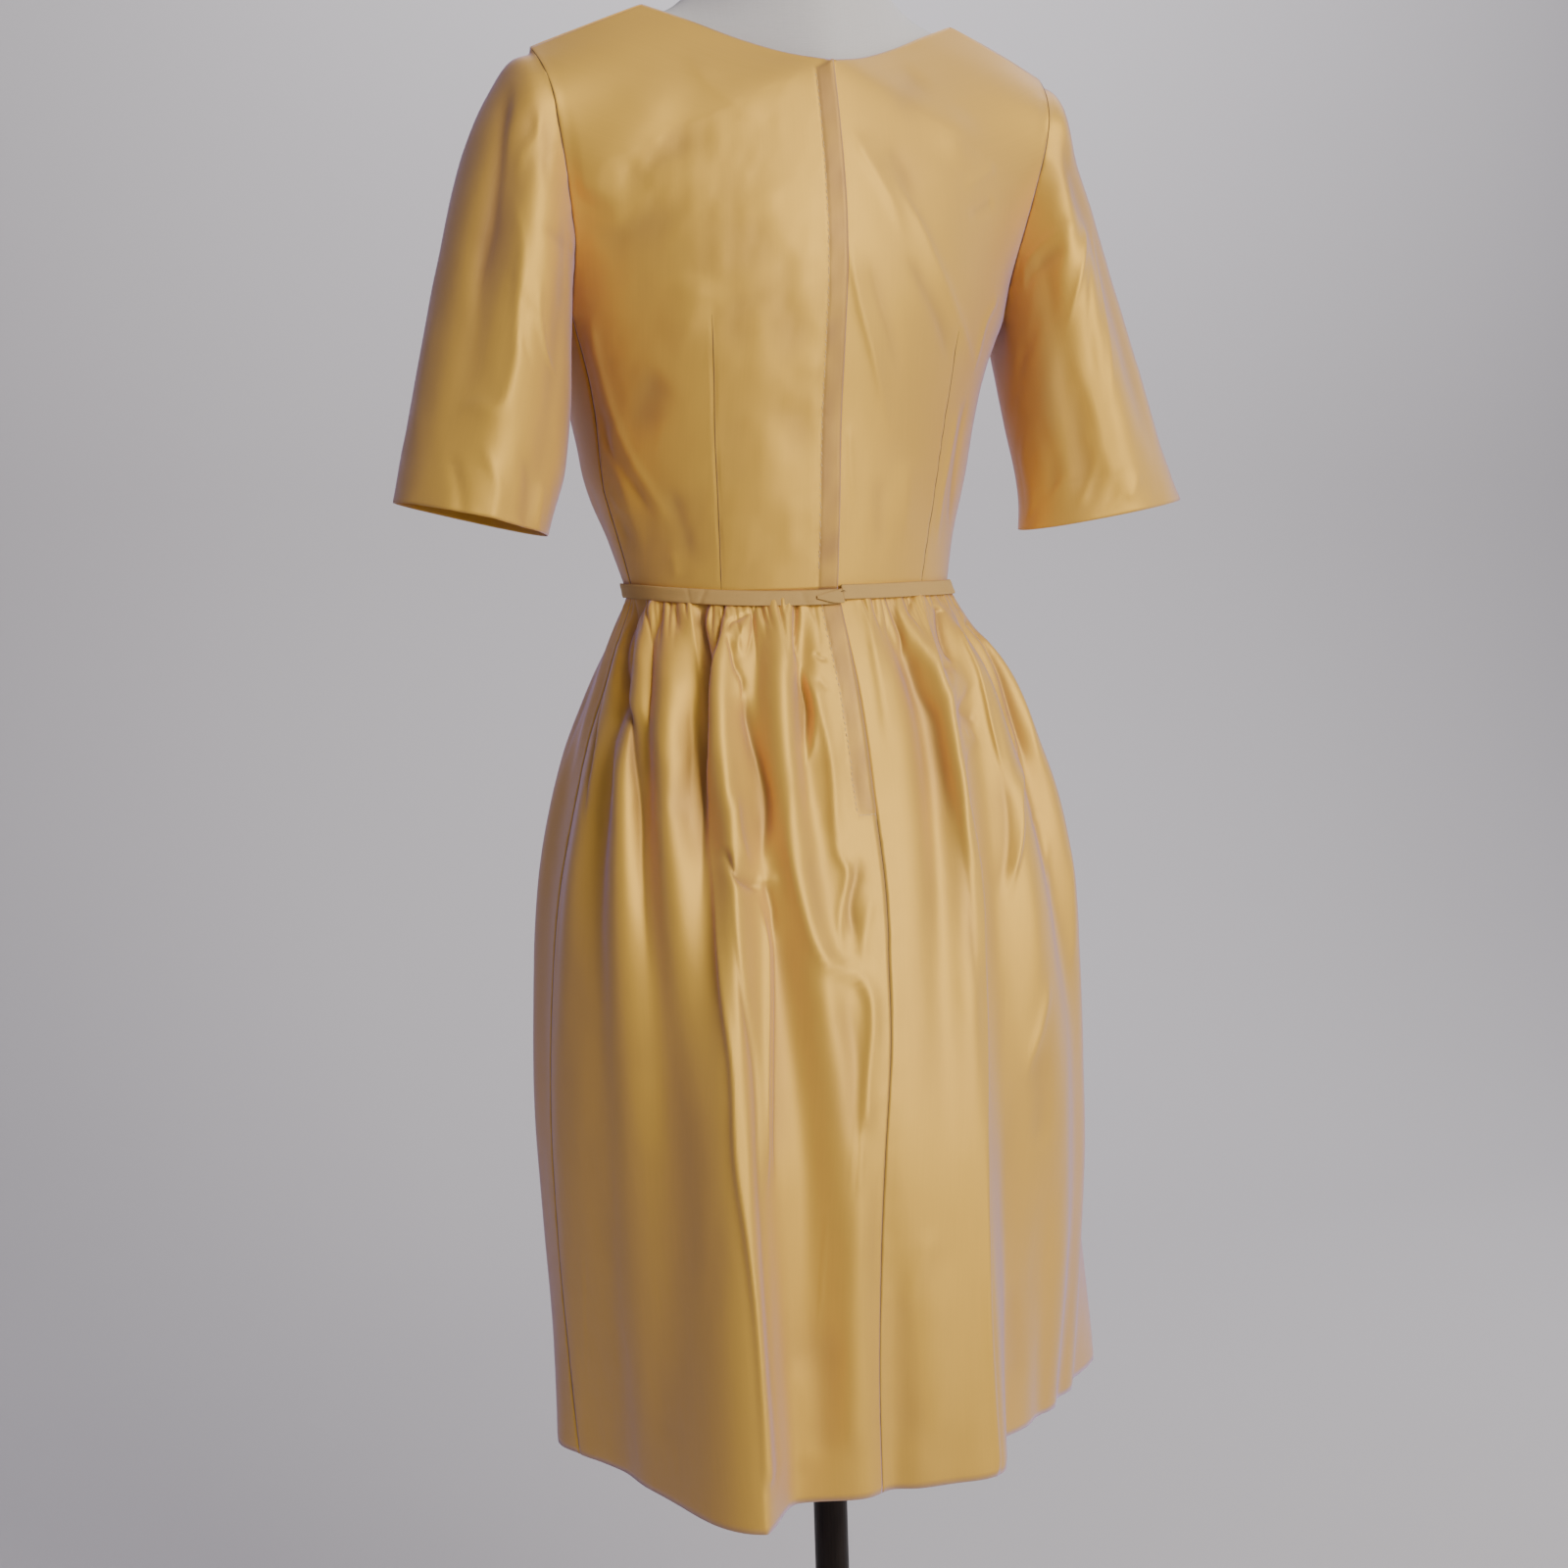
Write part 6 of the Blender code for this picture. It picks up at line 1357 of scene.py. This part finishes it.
def skirt_panel(name, start, end, columns, table, seed):
    """A panel between two seams. A seam is an angle from the centre back, or None for the centre back seam."""
    sign = 1 if end > 0 else -1
    rows = []
    ways = []
    fine = np.linspace(0, 1, 600)
    drift = smooth(CENTRE_SEAM_DRIFT, HEM_HEIGHT)[0]
    hem_start = drift if start is None else start
    hem = folded_row(hem_start + (end - hem_start) * fine, HEM_HEIGHT)
    length = lengths_along(hem)
    shares = np.interp(np.linspace(0, length[-1], columns), length, fine)
    shares = 0.5 * shares + 0.5 * np.linspace(0, 1, columns)
    for height in SKIRT_ROWS:
        low = smooth(CENTRE_SEAM_DRIFT, height)[0] if start is None else start
        angles = low + (end - low) * shares
        rows.append(folded_row(angles, height))
        ways.append(way_round(angles, height))
    grid = relaxed(np.array(rows), times=3)
    way = np.array(ways)
    height = grid[..., 2]
    normals = outward(grid, grid * np.array([0.0, 0.0, 1.0]))
    from_start = round_way(grid)
    from_end = from_start[:, -1:] - from_start

    rise = folds(way, height, table)
    rise *= 1 - SIDE_SHARE * soft_step(np.abs(way), *CREASES_FADE) * (1 - soft_step(height, 84.0, 98.0))
    lower = soft_step(LOWER_PART[0] - height, 0.0, LOWER_PART[0] - LOWER_PART[1])
    for k, (size, slant, wide, tall, keeps_low) in enumerate(SKIRT_LUMPS):
        share = lower * size if keeps_low else size
        rise += share * uneven(way + slant * height, height, wide, tall, seed + k)
    for away in (from_start, from_end):
        rise *= soft_step(away, -0.1, 1.1)
        rise += edge_groove(away) + seam_puckers(height, away, seed + 3, reach=1.0, rise=0.035)
    to_hem = height - HEM_HEIGHT
    rise += edge_groove(to_hem, width=0.12, depth=0.05)
    stitched = 0.6 + 0.4 * uneven(way, height, 1.2, 2.0, seed + 4)
    rise -= 0.018 * bell(to_hem - HEM_STITCHES, 0.15) * stitched
    rise *= 1 - 0.6 * soft_step(height, 103.1, 103.9)
    room = ROOM_AT_WAIST + ROOM_BELOW * np.clip(WAIST_HEIGHT - 0.1 - height, 0.0, None)
    rise = np.where(rise < 0, -room * np.tanh(-rise / room), rise)
    if start is None:
        zipped = soft_step(height, ZIP_END_HEIGHT - 0.5, ZIP_END_HEIGHT + 0.5)
        if name == "skirt_left_panel":
            lapped = rise * soft_step(from_start, LAP_WIDTH, LAP_WIDTH + 0.7)
            lapped += lap_shape(from_start, height, seed + 5)
            rise = rise * (1 - zipped) + lapped * zipped
            rise -= 0.05 * bell(height - ZIP_END_HEIGHT, 0.10) * (from_start < LAP_WIDTH)
        else:
            rise *= 1 - zipped * (1 - soft_step(from_start, 0.9, 1.9))
    shaped = grid + normals * rise[..., None]
    kept_panels[name] = (shaped, normals, from_start)
    uv = np.stack([from_start * (1 if way[-1, -1] > way[-1, 0] else -1), height], axis=-1)
    # Painted shade in the folds
    tone = painted_fold_shade(rise, 0.5)
    if name == "skirt_left_panel":
        tone = np.maximum(tone, lap_tone(from_start, height, seed + 7) * zipped)
    piece = panel(name, shaped, normals, uv, values=tone)
    piece.data.materials.append(SATIN)
    return piece


skirt_plain = np.array([folded_row(np.linspace(0.0, 20.0, 31), height) for height in SKIRT_ROWS])
LEFT_EDGE, RIGHT_EDGE = way_round(90.0, 103.6), way_round(-90.0, 103.6)
left_table = list(SKIRT_CREASES) + small_gathers(1.6, LEFT_EDGE, seed=71)
left_table += slack_creases(12.0, 26.0, seed=72, count=8)
right_table = list(SKIRT_CREASES) + small_gathers(RIGHT_EDGE, -0.4, seed=81)
right_table += slack_creases(-26.0, -12.0, seed=82, count=8)
front_first, front_last = way_round(90.0, 103.6), way_round(270.0, 103.6)
half_front = (front_last - front_first) / 2


def on_front(x, height):
    """Way round at a height for a place given by its distance from the centre front at the waist."""
    return float(way_round(180.0 + 90.0 * x / half_front, height)), height


front_rows = long_gathers(-half_front, half_front, seed=91)
front_rows += small_gathers(-half_front, half_front, seed=92, spread=0.0)
front_table = [(*row[:5], tuple(on_front(x, z) for x, z in row[5])) for row in front_rows]
front_table += slack_creases(front_first + 8, front_last + 22, seed=93, count=22)
skirt_left = skirt_panel("skirt_left_panel", None, 90.0, columns=206, table=left_table, seed=101)
skirt_right = skirt_panel("skirt_right_panel", None, -90.0, columns=206, table=right_table, seed=111)
skirt_front = skirt_panel("skirt_front_panel", 90.0, 270.0, columns=190, table=front_table, seed=121)
for piece, node in ((skirt_left, "skirt_back_left"), (skirt_right, "skirt_back_right"), (skirt_front, "skirt_front")):
    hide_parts(node)
    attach(piece, "root")

# %% [markdown]
# ## Belt
#
# The belt is a narrow tube of matte cloth, pressed flat. It is straight from its lower edge to its upper edge,
# a little lower behind than at the sides, and it is hooked at the centre back, where its left end is folded
# over on the slant. A pressed tube is thickest just inside its two folded edges, so its outer face is shaped
# like that, and it has the small dents that thread and wear leave.

# %% Tables of the belt
BELT_THICKNESS = 0.15
BELT_EASE = 0.05       # room between the belt and the dress
BELT_OPENING = 0.6     # degrees from the centre back to each end of the band
GATHER_ROOM = 0.04     # more room, for the gathers
SEAM = 0.03            # gap between the band and its folded end
# How far the belt lies above or below the waist seam: angle from the centre back to the left, height
BELT_SAG = (
    (0, -0.5), (12, -0.5), (35, -0.34), (60, -0.02), (88, 0.28), (120, 0.28), (180, 0.05),
    (240, 0), (272, -0.15), (330, -0.2), (360, -0.2),
)
# Folded end: angle, lower edge and upper edge as shares of the belt's height, thickness
BELT_END = (
    (-0.4, 0.08, 1.04, 0.24), (1.3, 0.09, 0.98, 0.22), (3, 0.12, 0.9, 0.2), (4.6, 0.2, 0.82, 0.18),
    (6.3, 0.31, 0.72, 0.15), (8, 0.42, 0.62, 0.12),
)
# Dents across the band: angle, depth, width in degrees, slant
BELT_DENTS = (
    (47, 0.05, 1, 2), (52.5, 0.03, 0.8, -1.5), (24, 0.02, 1.4, 1.5), (12, 0.03, 0.9, -2),
    (351, 0.03, 1, 1.5), (334, 0.02, 1.5, -1.5), (308, 0.03, 1.2, 2), (286, 0.05, 1.1, -1),
    (92, 0.03, 1.5, 2), (140, 0.03, 1.4, -2), (196, 0.04, 1.6, 1), (243, 0.03, 1.3, -1),
)

# %% Belt band and its folded end
def waist_outline(angles, height):
    """Outline of the dress in plan near the waist: the skirt's under the seam and the bodice's above it."""
    half, widest, y_back, y_front = np.moveaxis(smooth(BODICE_SECTIONS, np.maximum(height, WAIST_HEIGHT)), -1, 0)
    cosine = np.cos(np.radians(angles))
    depth = np.where(cosine > 0, y_back - widest, widest - y_front)
    above = np.stack([half * np.sin(np.radians(angles)), widest + depth * cosine], axis=-1)
    under = np.array([skirt_outline(np.array([a]), min(h, WAIST_HEIGHT))[0] for a, h in zip(angles, height)])
    return np.where((height > WAIST_HEIGHT)[:, None], above, under)


def belt_line(angles, height, ease):
    """Line round the waist in plan, clear of the cloth, with room for the lap beside the centre back."""
    points = waist_outline(angles, height)
    along = unit(waist_outline(angles + 0.5, height) - points)
    normal = np.stack([-along[:, 1], along[:, 0]], axis=-1)
    wrapped = (angles + 180) % 360 - 180
    on_lap = soft_step(wrapped, -6.0, -1.0) * (1 - soft_step(wrapped, 8.0, 13.0))
    return points + normal * (ease + LAP_RISE * on_lap)[:, None], normal


def belt_face(angles, lower, upper, room, thick, rows, seed):
    """Outer face of a stretch of belt, thickest just inside its folded edges."""
    low = WAIST_HEIGHT - BELT_HEIGHT / 2 + smooth(BELT_SAG, np.maximum(angles, 0.0))[:, 0]
    ease = BELT_EASE + GATHER_ROOM + room
    low_line, low_normal = belt_line(angles, low, ease)
    high_line, high_normal = belt_line(angles, low + BELT_HEIGHT, ease)
    across = np.linspace(0, 1, rows)[:, None]
    share = lower[None, :] * (1 - across) + upper[None, :] * across
    line = low_line[None] * (1 - share[..., None]) + high_line[None] * share[..., None]
    normal = unit(low_normal[None] * (1 - share[..., None]) + high_normal[None] * share[..., None])
    height = low[None, :] + BELT_HEIGHT * share
    way = lengths_along(low_line)[None, :] + 0 * share
    edge = np.minimum(across, 1 - across)
    plump = 0.72 + 0.28 * np.sin(np.clip(edge / 0.16, 0, 1) * math.pi / 2) - 0.10 * soft_step(edge, 0.2, 0.5)
    rise = thick[None, :] * plump + 0.012 * uneven(way, across * 1.2, 0.9, 0.5, seed)
    rise += 0.010 * uneven(way, across * 1.2, 3.0, 0.9, seed + 1)
    for at, depth, width, slant in BELT_DENTS:
        rise -= depth * bell(angles[None, :] - at + slant * (across - 0.5), width)
    flat = line + normal * rise[..., None]
    height = height + 0.02 * uneven(way, across, 2.0, 5.0, seed + 2)
    face = np.concatenate([flat, height[..., None]], axis=-1)
    normals = np.concatenate([normal, np.zeros((*normal.shape[:2], 1))], axis=-1)
    return face, normals, np.stack([way, height], axis=-1)


band_angles = np.concatenate([
    np.linspace(BELT_OPENING, 60, 130), np.linspace(60, 270, 120)[1:], np.linspace(270, 360 - BELT_OPENING, 160)[1:],
])
whole = np.ones(len(band_angles))
face, normals, uv = belt_face(
    band_angles, 0 * whole, whole, room=0.0, thick=BELT_THICKNESS * whole, rows=13, seed=131
)
belt_band = panel("belt_band_cloth", face, normals, uv, thickness=0.12)

end_angles = np.linspace(BELT_END[0][0], BELT_END[-1][0], 49)
lower, upper, thick = smooth(BELT_END, end_angles).T
face, normals, uv = belt_face(
    end_angles, lower, upper, room=BELT_THICKNESS + SEAM, thick=thick * 0.8, rows=21, seed=137
)
belt_end = panel("belt_end_fold", face, normals, uv, thickness=0.10)
for piece, node, flat in ((belt_band, "belt_band", (0.73, 0.011)), (belt_end, "belt_end", (0.022, 0.012))):
    piece.data.materials.append(BELTING)
    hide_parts(node)
    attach(piece, "root")

# %% [markdown]
# ## Stitches
#
# The lap is held by a row of small hand stitches, which run down beside it and turn square across it where the
# zip ends. One stitch is modelled once: a ball drawn out into a spindle, with its ends bent down into the
# cloth. Copies of it are set along the row, each leaning a little its own way, and joined into one piece.

# %% One stitch, and copies along a line
def spindle(name, length, thickness, bend):
    """One stitch, lying along Y with its middle up: a ball drawn out, with both ends bent down."""
    nothing_selected()
    bpy.ops.mesh.primitive_uv_sphere_add(segments=6, ring_count=6, radius=1.0, location=(0, 0, 0))
    stitch = bpy.context.object
    stitch.name = name
    bpy.ops.object.mode_set(mode="EDIT")
    bpy.ops.mesh.select_all(action="SELECT")
    bpy.ops.transform.rotate(value=math.pi / 2, orient_axis="X", center_override=(0, 0, 0))
    bpy.ops.transform.resize(value=(thickness, length / 2, thickness), center_override=(0, 0, 0))
    shape = bmesh.from_edit_mesh(stitch.data)
    for point in shape.verts:
        point.select = abs(point.co.y) > length * 0.3
    shape.select_flush_mode()
    bmesh.update_edit_mesh(stitch.data)
    bpy.ops.transform.translate(value=(0, 0, -bend))
    bpy.ops.object.mode_set(mode="OBJECT")
    bpy.ops.object.shade_smooth()
    return stitch


def copies(name, model, places):
    """Copies of a small model at the given places, each with its own mesh, joined into one piece."""
    made = []
    for place in places:
        copy = bpy.data.objects.new(name, model.data.copy())
        copy.data.transform(place)
        bpy.context.scene.collection.objects.link(copy)
        made.append(copy)
    whole = joined(made, name)
    print(name, len(made), "copies,", len(whole.data.polygons), "faces")
    return whole


def place_on(point, normal, along, lean=0.0):
    """Matrix that sets a stitch at a point in centimetres, with its length along a line on the cloth."""
    normal = Vector(normal).normalized()
    along = Vector(along)
    along = (along - normal * along.dot(normal)).normalized()
    side = along.cross(normal)
    turned = Matrix((side, along, normal)).transposed().to_4x4()
    return Matrix.Translation(Vector(point) * CM) @ turned @ Matrix.Rotation(lean, 4, "Z")


def on_panel(kept, away, height):
    """Point and direction on a panel, so far from its first column and so high."""
    shaped, normals, way = kept
    row = int(np.argmin(np.abs(shaped[:, 0, 2] - height)))
    return point_at(away, way[row], shaped[row]), point_at(away, way[row], normals[row])


STITCH_STEP = 0.42
STITCH_PROUD = 0.010     # how far a stitch lies off the cloth, in centimetres
chance = np.random.default_rng(201)
stitch = spindle("stitch", length=0.0028, thickness=0.00030, bend=0.00016)
places = []
for name, top, bottom in (("back_left_panel", 138.6, 105.0), ("skirt_left_panel", 103.0, ZIP_END_HEIGHT)):
    for height in np.arange(top, bottom, -STITCH_STEP):
        point, normal = on_panel(kept_panels[name], LAP_WIDTH + 0.04 * chance.uniform(-1, 1), height)
        places.append(place_on(point + normal * STITCH_PROUD, normal, (0.25, 0, 1), chance.uniform(-0.25, 0.25)))
for away in np.arange(0.12, LAP_WIDTH, 0.26):
    point, normal = on_panel(kept_panels["skirt_left_panel"], away, ZIP_END_HEIGHT + 0.05 * chance.uniform(-1, 1))
    places.append(place_on(point + normal * STITCH_PROUD, normal, (1, 0, 0.1), chance.uniform(-0.3, 0.3)))
lap_stitches = copies("lap_stitches", stitch, places)

# %% Thread that ties the belt's hook
HOOK_HEIGHT = WAIST_HEIGHT - 0.45
# Each thread: angle, height above the hook, lean
HOOK_THREADS = ((-0.35, 0.30, 0.5), (-0.15, 0.0, -0.4), (-0.30, -0.28, 0.2), (-0.9, 0.34, 0.1), (-1.2, -0.3, -0.2))
places = []
for at, height, lean in HOOK_THREADS:
    line, normal = belt_line(np.array([at]), np.array([HOOK_HEIGHT]), BELT_EASE + GATHER_ROOM + 0.30)
    point = (line[0][0], line[0][1], HOOK_HEIGHT + height)
    places.append(place_on(point, (*normal[0], 0.0), (1.0, 0.0, 0.6), lean))
hook_thread = copies("hook_thread", stitch, places)
bpy.data.objects.remove(stitch)
THREAD = cloth_material(
    "gold_thread", (0.80, 0.58, 0.28), (0.6, 0.4, 0.15), 0.45, 0.3, (0.9, 0.8, 0.7), 9000, 3000, 0.2, 0.3,
)
# Dark brown: the real thread of the hook, and the painted shade of the seams and darts
BROWN_THREAD_AND_SEAM_SHADE = cloth_material(
    "brown_thread_and_seam_shade", (0.22, 0.125, 0.05), (0.14, 0.08, 0.03), 0.6, 0.2, (0.7, 0.6, 0.5), 9000, 3000, 0.2, 0.3,
)
for piece, finish, slot in ((lap_stitches, THREAD, "dress_satin"), (hook_thread, BROWN_THREAD_AND_SEAM_SHADE, "belt_cloth")):
    piece.data.materials.clear()
    piece.data.materials.append(finish)
    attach(piece, "root")

# %% [markdown]
# A seam or dart shows as a fine dark line, the shade where the two cloths turn in and pull on their thread. That
# shade is painted: each one is a dark tube no thicker than a thread, half sunk in the cloth. It follows the edge
# of a panel, or the line of a dart.

# %% Seam lines of painted shade
SEAM_SHADE_RADIUS = 0.036


def on_cloth(kept, away, height):
    """Point and direction on a panel at a true height, between its rows."""
    shaped, normals, way = kept
    line = np.array([point_at(away, w, p) for w, p in zip(way, shaped)])
    facing = np.array([point_at(away, w, n) for w, n in zip(way, normals)])
    order = np.argsort(line[:, 2])
    line, facing = line[order], facing[order]
    return point_at(height, line[:, 2], line), point_at(height, line[:, 2], facing)


def seam_shade_line(name, points, normals, sign=1, size=1.0):
    """A thin dark tube along a seam, as painted shade of its crease. Sign -1 puts it on the wearer's right."""
    points, normals = np.array(points), unit(np.array(normals))
    side = unit(np.cross(np.gradient(points, axis=0), normals))
    ends = np.minimum(np.arange(len(points)), np.arange(len(points))[::-1])
    radius = (size * SEAM_SHADE_RADIUS * np.clip(0.3 + ends / 4, 0.0, 1.0))[:, None, None]
    ring = np.stack([side, normals, -side, -normals], axis=1)
    flip = np.array([sign, 1.0, 1.0])
    uv = np.zeros((len(points), 5, 2))
    uv[..., 0] = np.arange(5) * SEAM_SHADE_RADIUS
    uv[..., 1] = np.arange(len(points))[:, None] * 0.3
    return panel(name, (points[:, None] + ring * radius) * flip, ring * flip, uv, closed=True, thickness=0)


def dart_shade_line(name, dart, steps, sign):
    """A thin dark tube along a dart, as painted shade of its crease, from the points of its drawn line."""
    away, height = drawn(dart[-1], steps).T
    spots = [on_cloth(kept_panels[name], a, h) for a, h in zip(away, height)]
    return seam_shade_line("dart", *zip(*spots), sign)


seams = []
for name, sign, dart in (("back_left_panel", 1, LEFT_DART), ("back_right_panel", -1, RIGHT_DART)):
    shaped, normals, _ = kept_panels[name]
    seams.append(seam_shade_line("side_and_armhole", shaped[::2, -1], normals[::2, -1], sign))
    seams.append(dart_shade_line(name, dart[0], 14, sign))
for name, sign in (("front_panel", 1), ("front_right_half", -1)):
    for dart in (FRONT_FOLDS[0], FRONT_FOLDS[2]):
        seams.append(dart_shade_line(name, dart, 12, sign))
for name, column, size in (
    ("skirt_left_panel", 0, 0.8), ("skirt_left_panel", -1, 0.5), ("skirt_right_panel", -1, 0.5),
):
    shaped, normals, _ = kept_panels[name]
    first = int(np.argmin(np.abs(SKIRT_ROWS - (ZIP_END_HEIGHT if column == 0 else 103.0))))
    seams.append(seam_shade_line("skirt_seam", shaped[first:-1:2, column], normals[first:-1:2, column], size=size))
seam_shade_lines = joined(seams, "seam_shade_lines")
seam_shade_lines.data.materials.append(BROWN_THREAD_AND_SEAM_SHADE)
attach(seam_shade_lines, "root")
print("seam lines", len(seams), "with", len(seam_shade_lines.data.polygons), "faces")

# %% [markdown]
# ## Zip
#
# Under the lap lies a zip, from just below the neckline to 15 cm under the waist. Nothing of it shows from
# outside, and its slider is up at the neck under the lap, so it has its tape and its teeth and no more. The
# tape follows the cloth from the inside. One tooth is a small block with bevelled edges, and the teeth of the
# two sides sit between one another.

# %% Zip tape
ZIP_WIDTH = 2.4
WALL = 0.18
ZIP_ROOM = 0.07     # from the cloth's wall to the tape
ZIP_THICKNESS = 0.12
ZIP_TOP = NECK_BACK_HEIGHT - 0.8
MIDDLE = 6          # the middle one of the tape's columns
offsets = np.linspace(-ZIP_WIDTH / 2, ZIP_WIDTH / 2, 2 * MIDDLE + 1)
tape_rows = []
for grid, keep in ((skirt_plain[::-1], lambda z: z >= ZIP_END_HEIGHT), (back_grid, lambda z: z < ZIP_TOP)):
    direction = outward(grid, body_middle(grid))
    for row in range(0, len(grid), 3):
        height = grid[row, 0, 2]
        if not keep(height) or (grid is back_grid and BODICE_ROWS[row] > NECK_SHARE):
            continue
        away = np.abs(offsets)
        line = point_at(away, grid[row, :, 0], grid[row])
        facing = point_at(away, grid[row, :, 0], direction[row])
        facing = np.stack([facing[0] * np.sign(offsets), facing[1], facing[2]], axis=-1)
        tape_rows.append((np.stack([offsets, line[1], line[2]], axis=-1), unit(facing)))
tape_face = np.array([row for row, _ in tape_rows])
tape_normals = np.array([row for _, row in tape_rows])
tape_face = tape_face - tape_normals * (WALL + ZIP_ROOM)
tape_uv = np.stack([tape_face[..., 0], tape_face[..., 2]], axis=-1)
zip_tape = panel("zip_tape_cloth", tape_face, tape_normals, tape_uv, thickness=ZIP_THICKNESS * 0.8)
zip_tape.data.materials.append(TAPE)
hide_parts("zip_tape")
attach(zip_tape, "root")

# %% Zip teeth
TOOTH_SIZE = (0.0016, 0.0010, 0.0005)
TOOTH_STEP = 0.15
TOOTH_ASIDE = 0.045
TOOTH_SUNK = 0.16
nothing_selected()
bpy.ops.mesh.primitive_cube_add(size=1.0, location=(0, 0, 0))
tooth = bpy.context.object
bpy.ops.object.mode_set(mode="EDIT")
bpy.ops.mesh.select_all(action="SELECT")
bpy.ops.transform.resize(value=TOOTH_SIZE, center_override=(0, 0, 0))
bpy.ops.mesh.bevel(offset=0.00012, segments=1)
bpy.ops.object.mode_set(mode="OBJECT")
places = []
lengths = lengths_along(tape_face[:, MIDDLE])
for number, at in enumerate(np.arange(0.4, lengths[-1] - 0.3, TOOTH_STEP)):
    point = Vector(point_at(at, lengths, tape_face[:, MIDDLE]))
    facing = Vector(point_at(at, lengths, tape_normals[:, MIDDLE]))
    side = TOOTH_ASIDE if number % 2 else -TOOTH_ASIDE
    along = Vector((0, 0, 1)) - facing * facing.z
    turned = Matrix((Vector((1, 0, 0)), -facing.normalized(), along.normalized())).transposed().to_4x4()
    places.append(Matrix.Translation((point + Vector((side, 0, 0)) - facing * TOOTH_SUNK) * CM) @ turned)
zip_teeth = copies("zip_teeth", tooth, places)
bpy.data.objects.remove(tooth)

# %% [markdown]
# ## Dress form
#
# The dress stands on a form that ends at the neck and the shoulders. Its body is covered in linen. The CAD torso
# already has the right shape but is cut in large triangles, so a copy of it is merged, turned back into squares
# and subdivided, and the smooth copy stands for it.

# %% Metal and wood
GRAIN_STRETCH = (1.0, 1.0, 0.12)
GRAIN_RELIEF = 0.0002     # height of the grain in metres


def make_wear():
    """Grain and wear on Object coordinates: noise drawn out along the height, and blotches."""
    tree, start, end = node_group(
        "grain_and_wear",
        [("Vector", "Vector", None), ("Grain", "Float", 60.0), ("Blotch", "Float", 18.0)],
        [("Grain", "Float"), ("Wear", "Float")],
    )
    given = start.outputs
    stretched = add_node(tree, "VectorMath", {0: given["Vector"], 1: GRAIN_STRETCH}, operation="MULTIPLY")
    grain = {"Vector": stretched.outputs["Vector"], "Scale": given["Grain"], "Detail": 5.0}
    blotches = {"Vector": given["Vector"], "Scale": given["Blotch"], "Detail": 4.0}
    feed(tree, end, {
        "Grain": add_node(tree, "TexNoise", grain).outputs["Fac"],
        "Wear": add_node(tree, "TexNoise", blotches).outputs["Fac"],
    })
    return tree


GRAIN_AND_WEAR = make_wear()


def solid_material(name, dark, light, roughness, metallic, grain, bump):
    """Wood or metal: two tones mixed by the grain, with roughness from the wear."""
    material, tree, shader = new_material(name)
    place = add_node(tree, "TexCoord").outputs["Object"]
    marks = add_node(tree, "Group", {"Grain": grain, "Vector": place}, node_tree=GRAIN_AND_WEAR).outputs
    feed(tree, shader, {
        "Base Color": colour_ramp(tree, marks["Grain"], dark, light, 0.35, 0.65),
        "Roughness": ranged(tree, marks["Wear"], roughness - 0.12, roughness + 0.15),
        "Normal": bumped(tree, marks["Grain"], GRAIN_RELIEF, bump),
        "Metallic": metallic,
    })
    return material


DARK_METAL = solid_material("dark_metal", (0.018, 0.014, 0.013), (0.035, 0.027, 0.024), 0.38, 0.85, 90.0, 0.15)
DARK_WOOD = solid_material("dark_wood", (0.10, 0.050, 0.024), (0.20, 0.11, 0.055), 0.42, 0.0, 45.0, 0.35)
BRASS = solid_material("zip_metal", (0.42, 0.29, 0.12), (0.55, 0.40, 0.19), 0.35, 0.9, 200.0, 0.1)
zip_teeth.data.materials.append(BRASS)
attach(zip_teeth, "root")

# %% Linen body of the form
source = frame["nodes"]["form_torso"]
form_body = bpy.data.objects.new("form_body", source.data.copy())
bpy.context.scene.collection.objects.link(form_body)
nothing_selected()
form_body.select_set(True)
bpy.context.view_layer.objects.active = form_body
bpy.ops.object.mode_set(mode="EDIT")
bpy.ops.mesh.select_all(action="SELECT")
bpy.ops.mesh.remove_doubles(threshold=0.00001)
bpy.ops.mesh.tris_convert_to_quads(face_threshold=math.radians(60), shape_threshold=math.radians(60))
bpy.ops.mesh.normals_make_consistent(inside=False)
bpy.ops.object.mode_set(mode="OBJECT")
finer = form_body.modifiers.new("finer", "SUBSURF")
finer.levels = 2
finer.render_levels = 2
bpy.ops.object.modifier_apply(modifier=finer.name)
bpy.ops.object.shade_smooth()
print("form body:", len(form_body.data.polygons), "faces")

form_body.data.materials.clear()
form_body.data.materials.append(FORM_LINEN)
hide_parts("form_torso")
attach(form_body, "root")

for node, finish in (
    ("form_neck_cap", DARK_WOOD), ("form_underside", DARK_WOOD), ("form_collar", DARK_METAL),
    ("form_pole", DARK_METAL), ("form_base", DARK_METAL),
):
    solid = frame["nodes"][node]
    for index in range(len(solid.material_slots)):
        solid.material_slots[index].material = finish
print("finishes on the stand:", [m.name for m in (DARK_METAL, DARK_WOOD)])
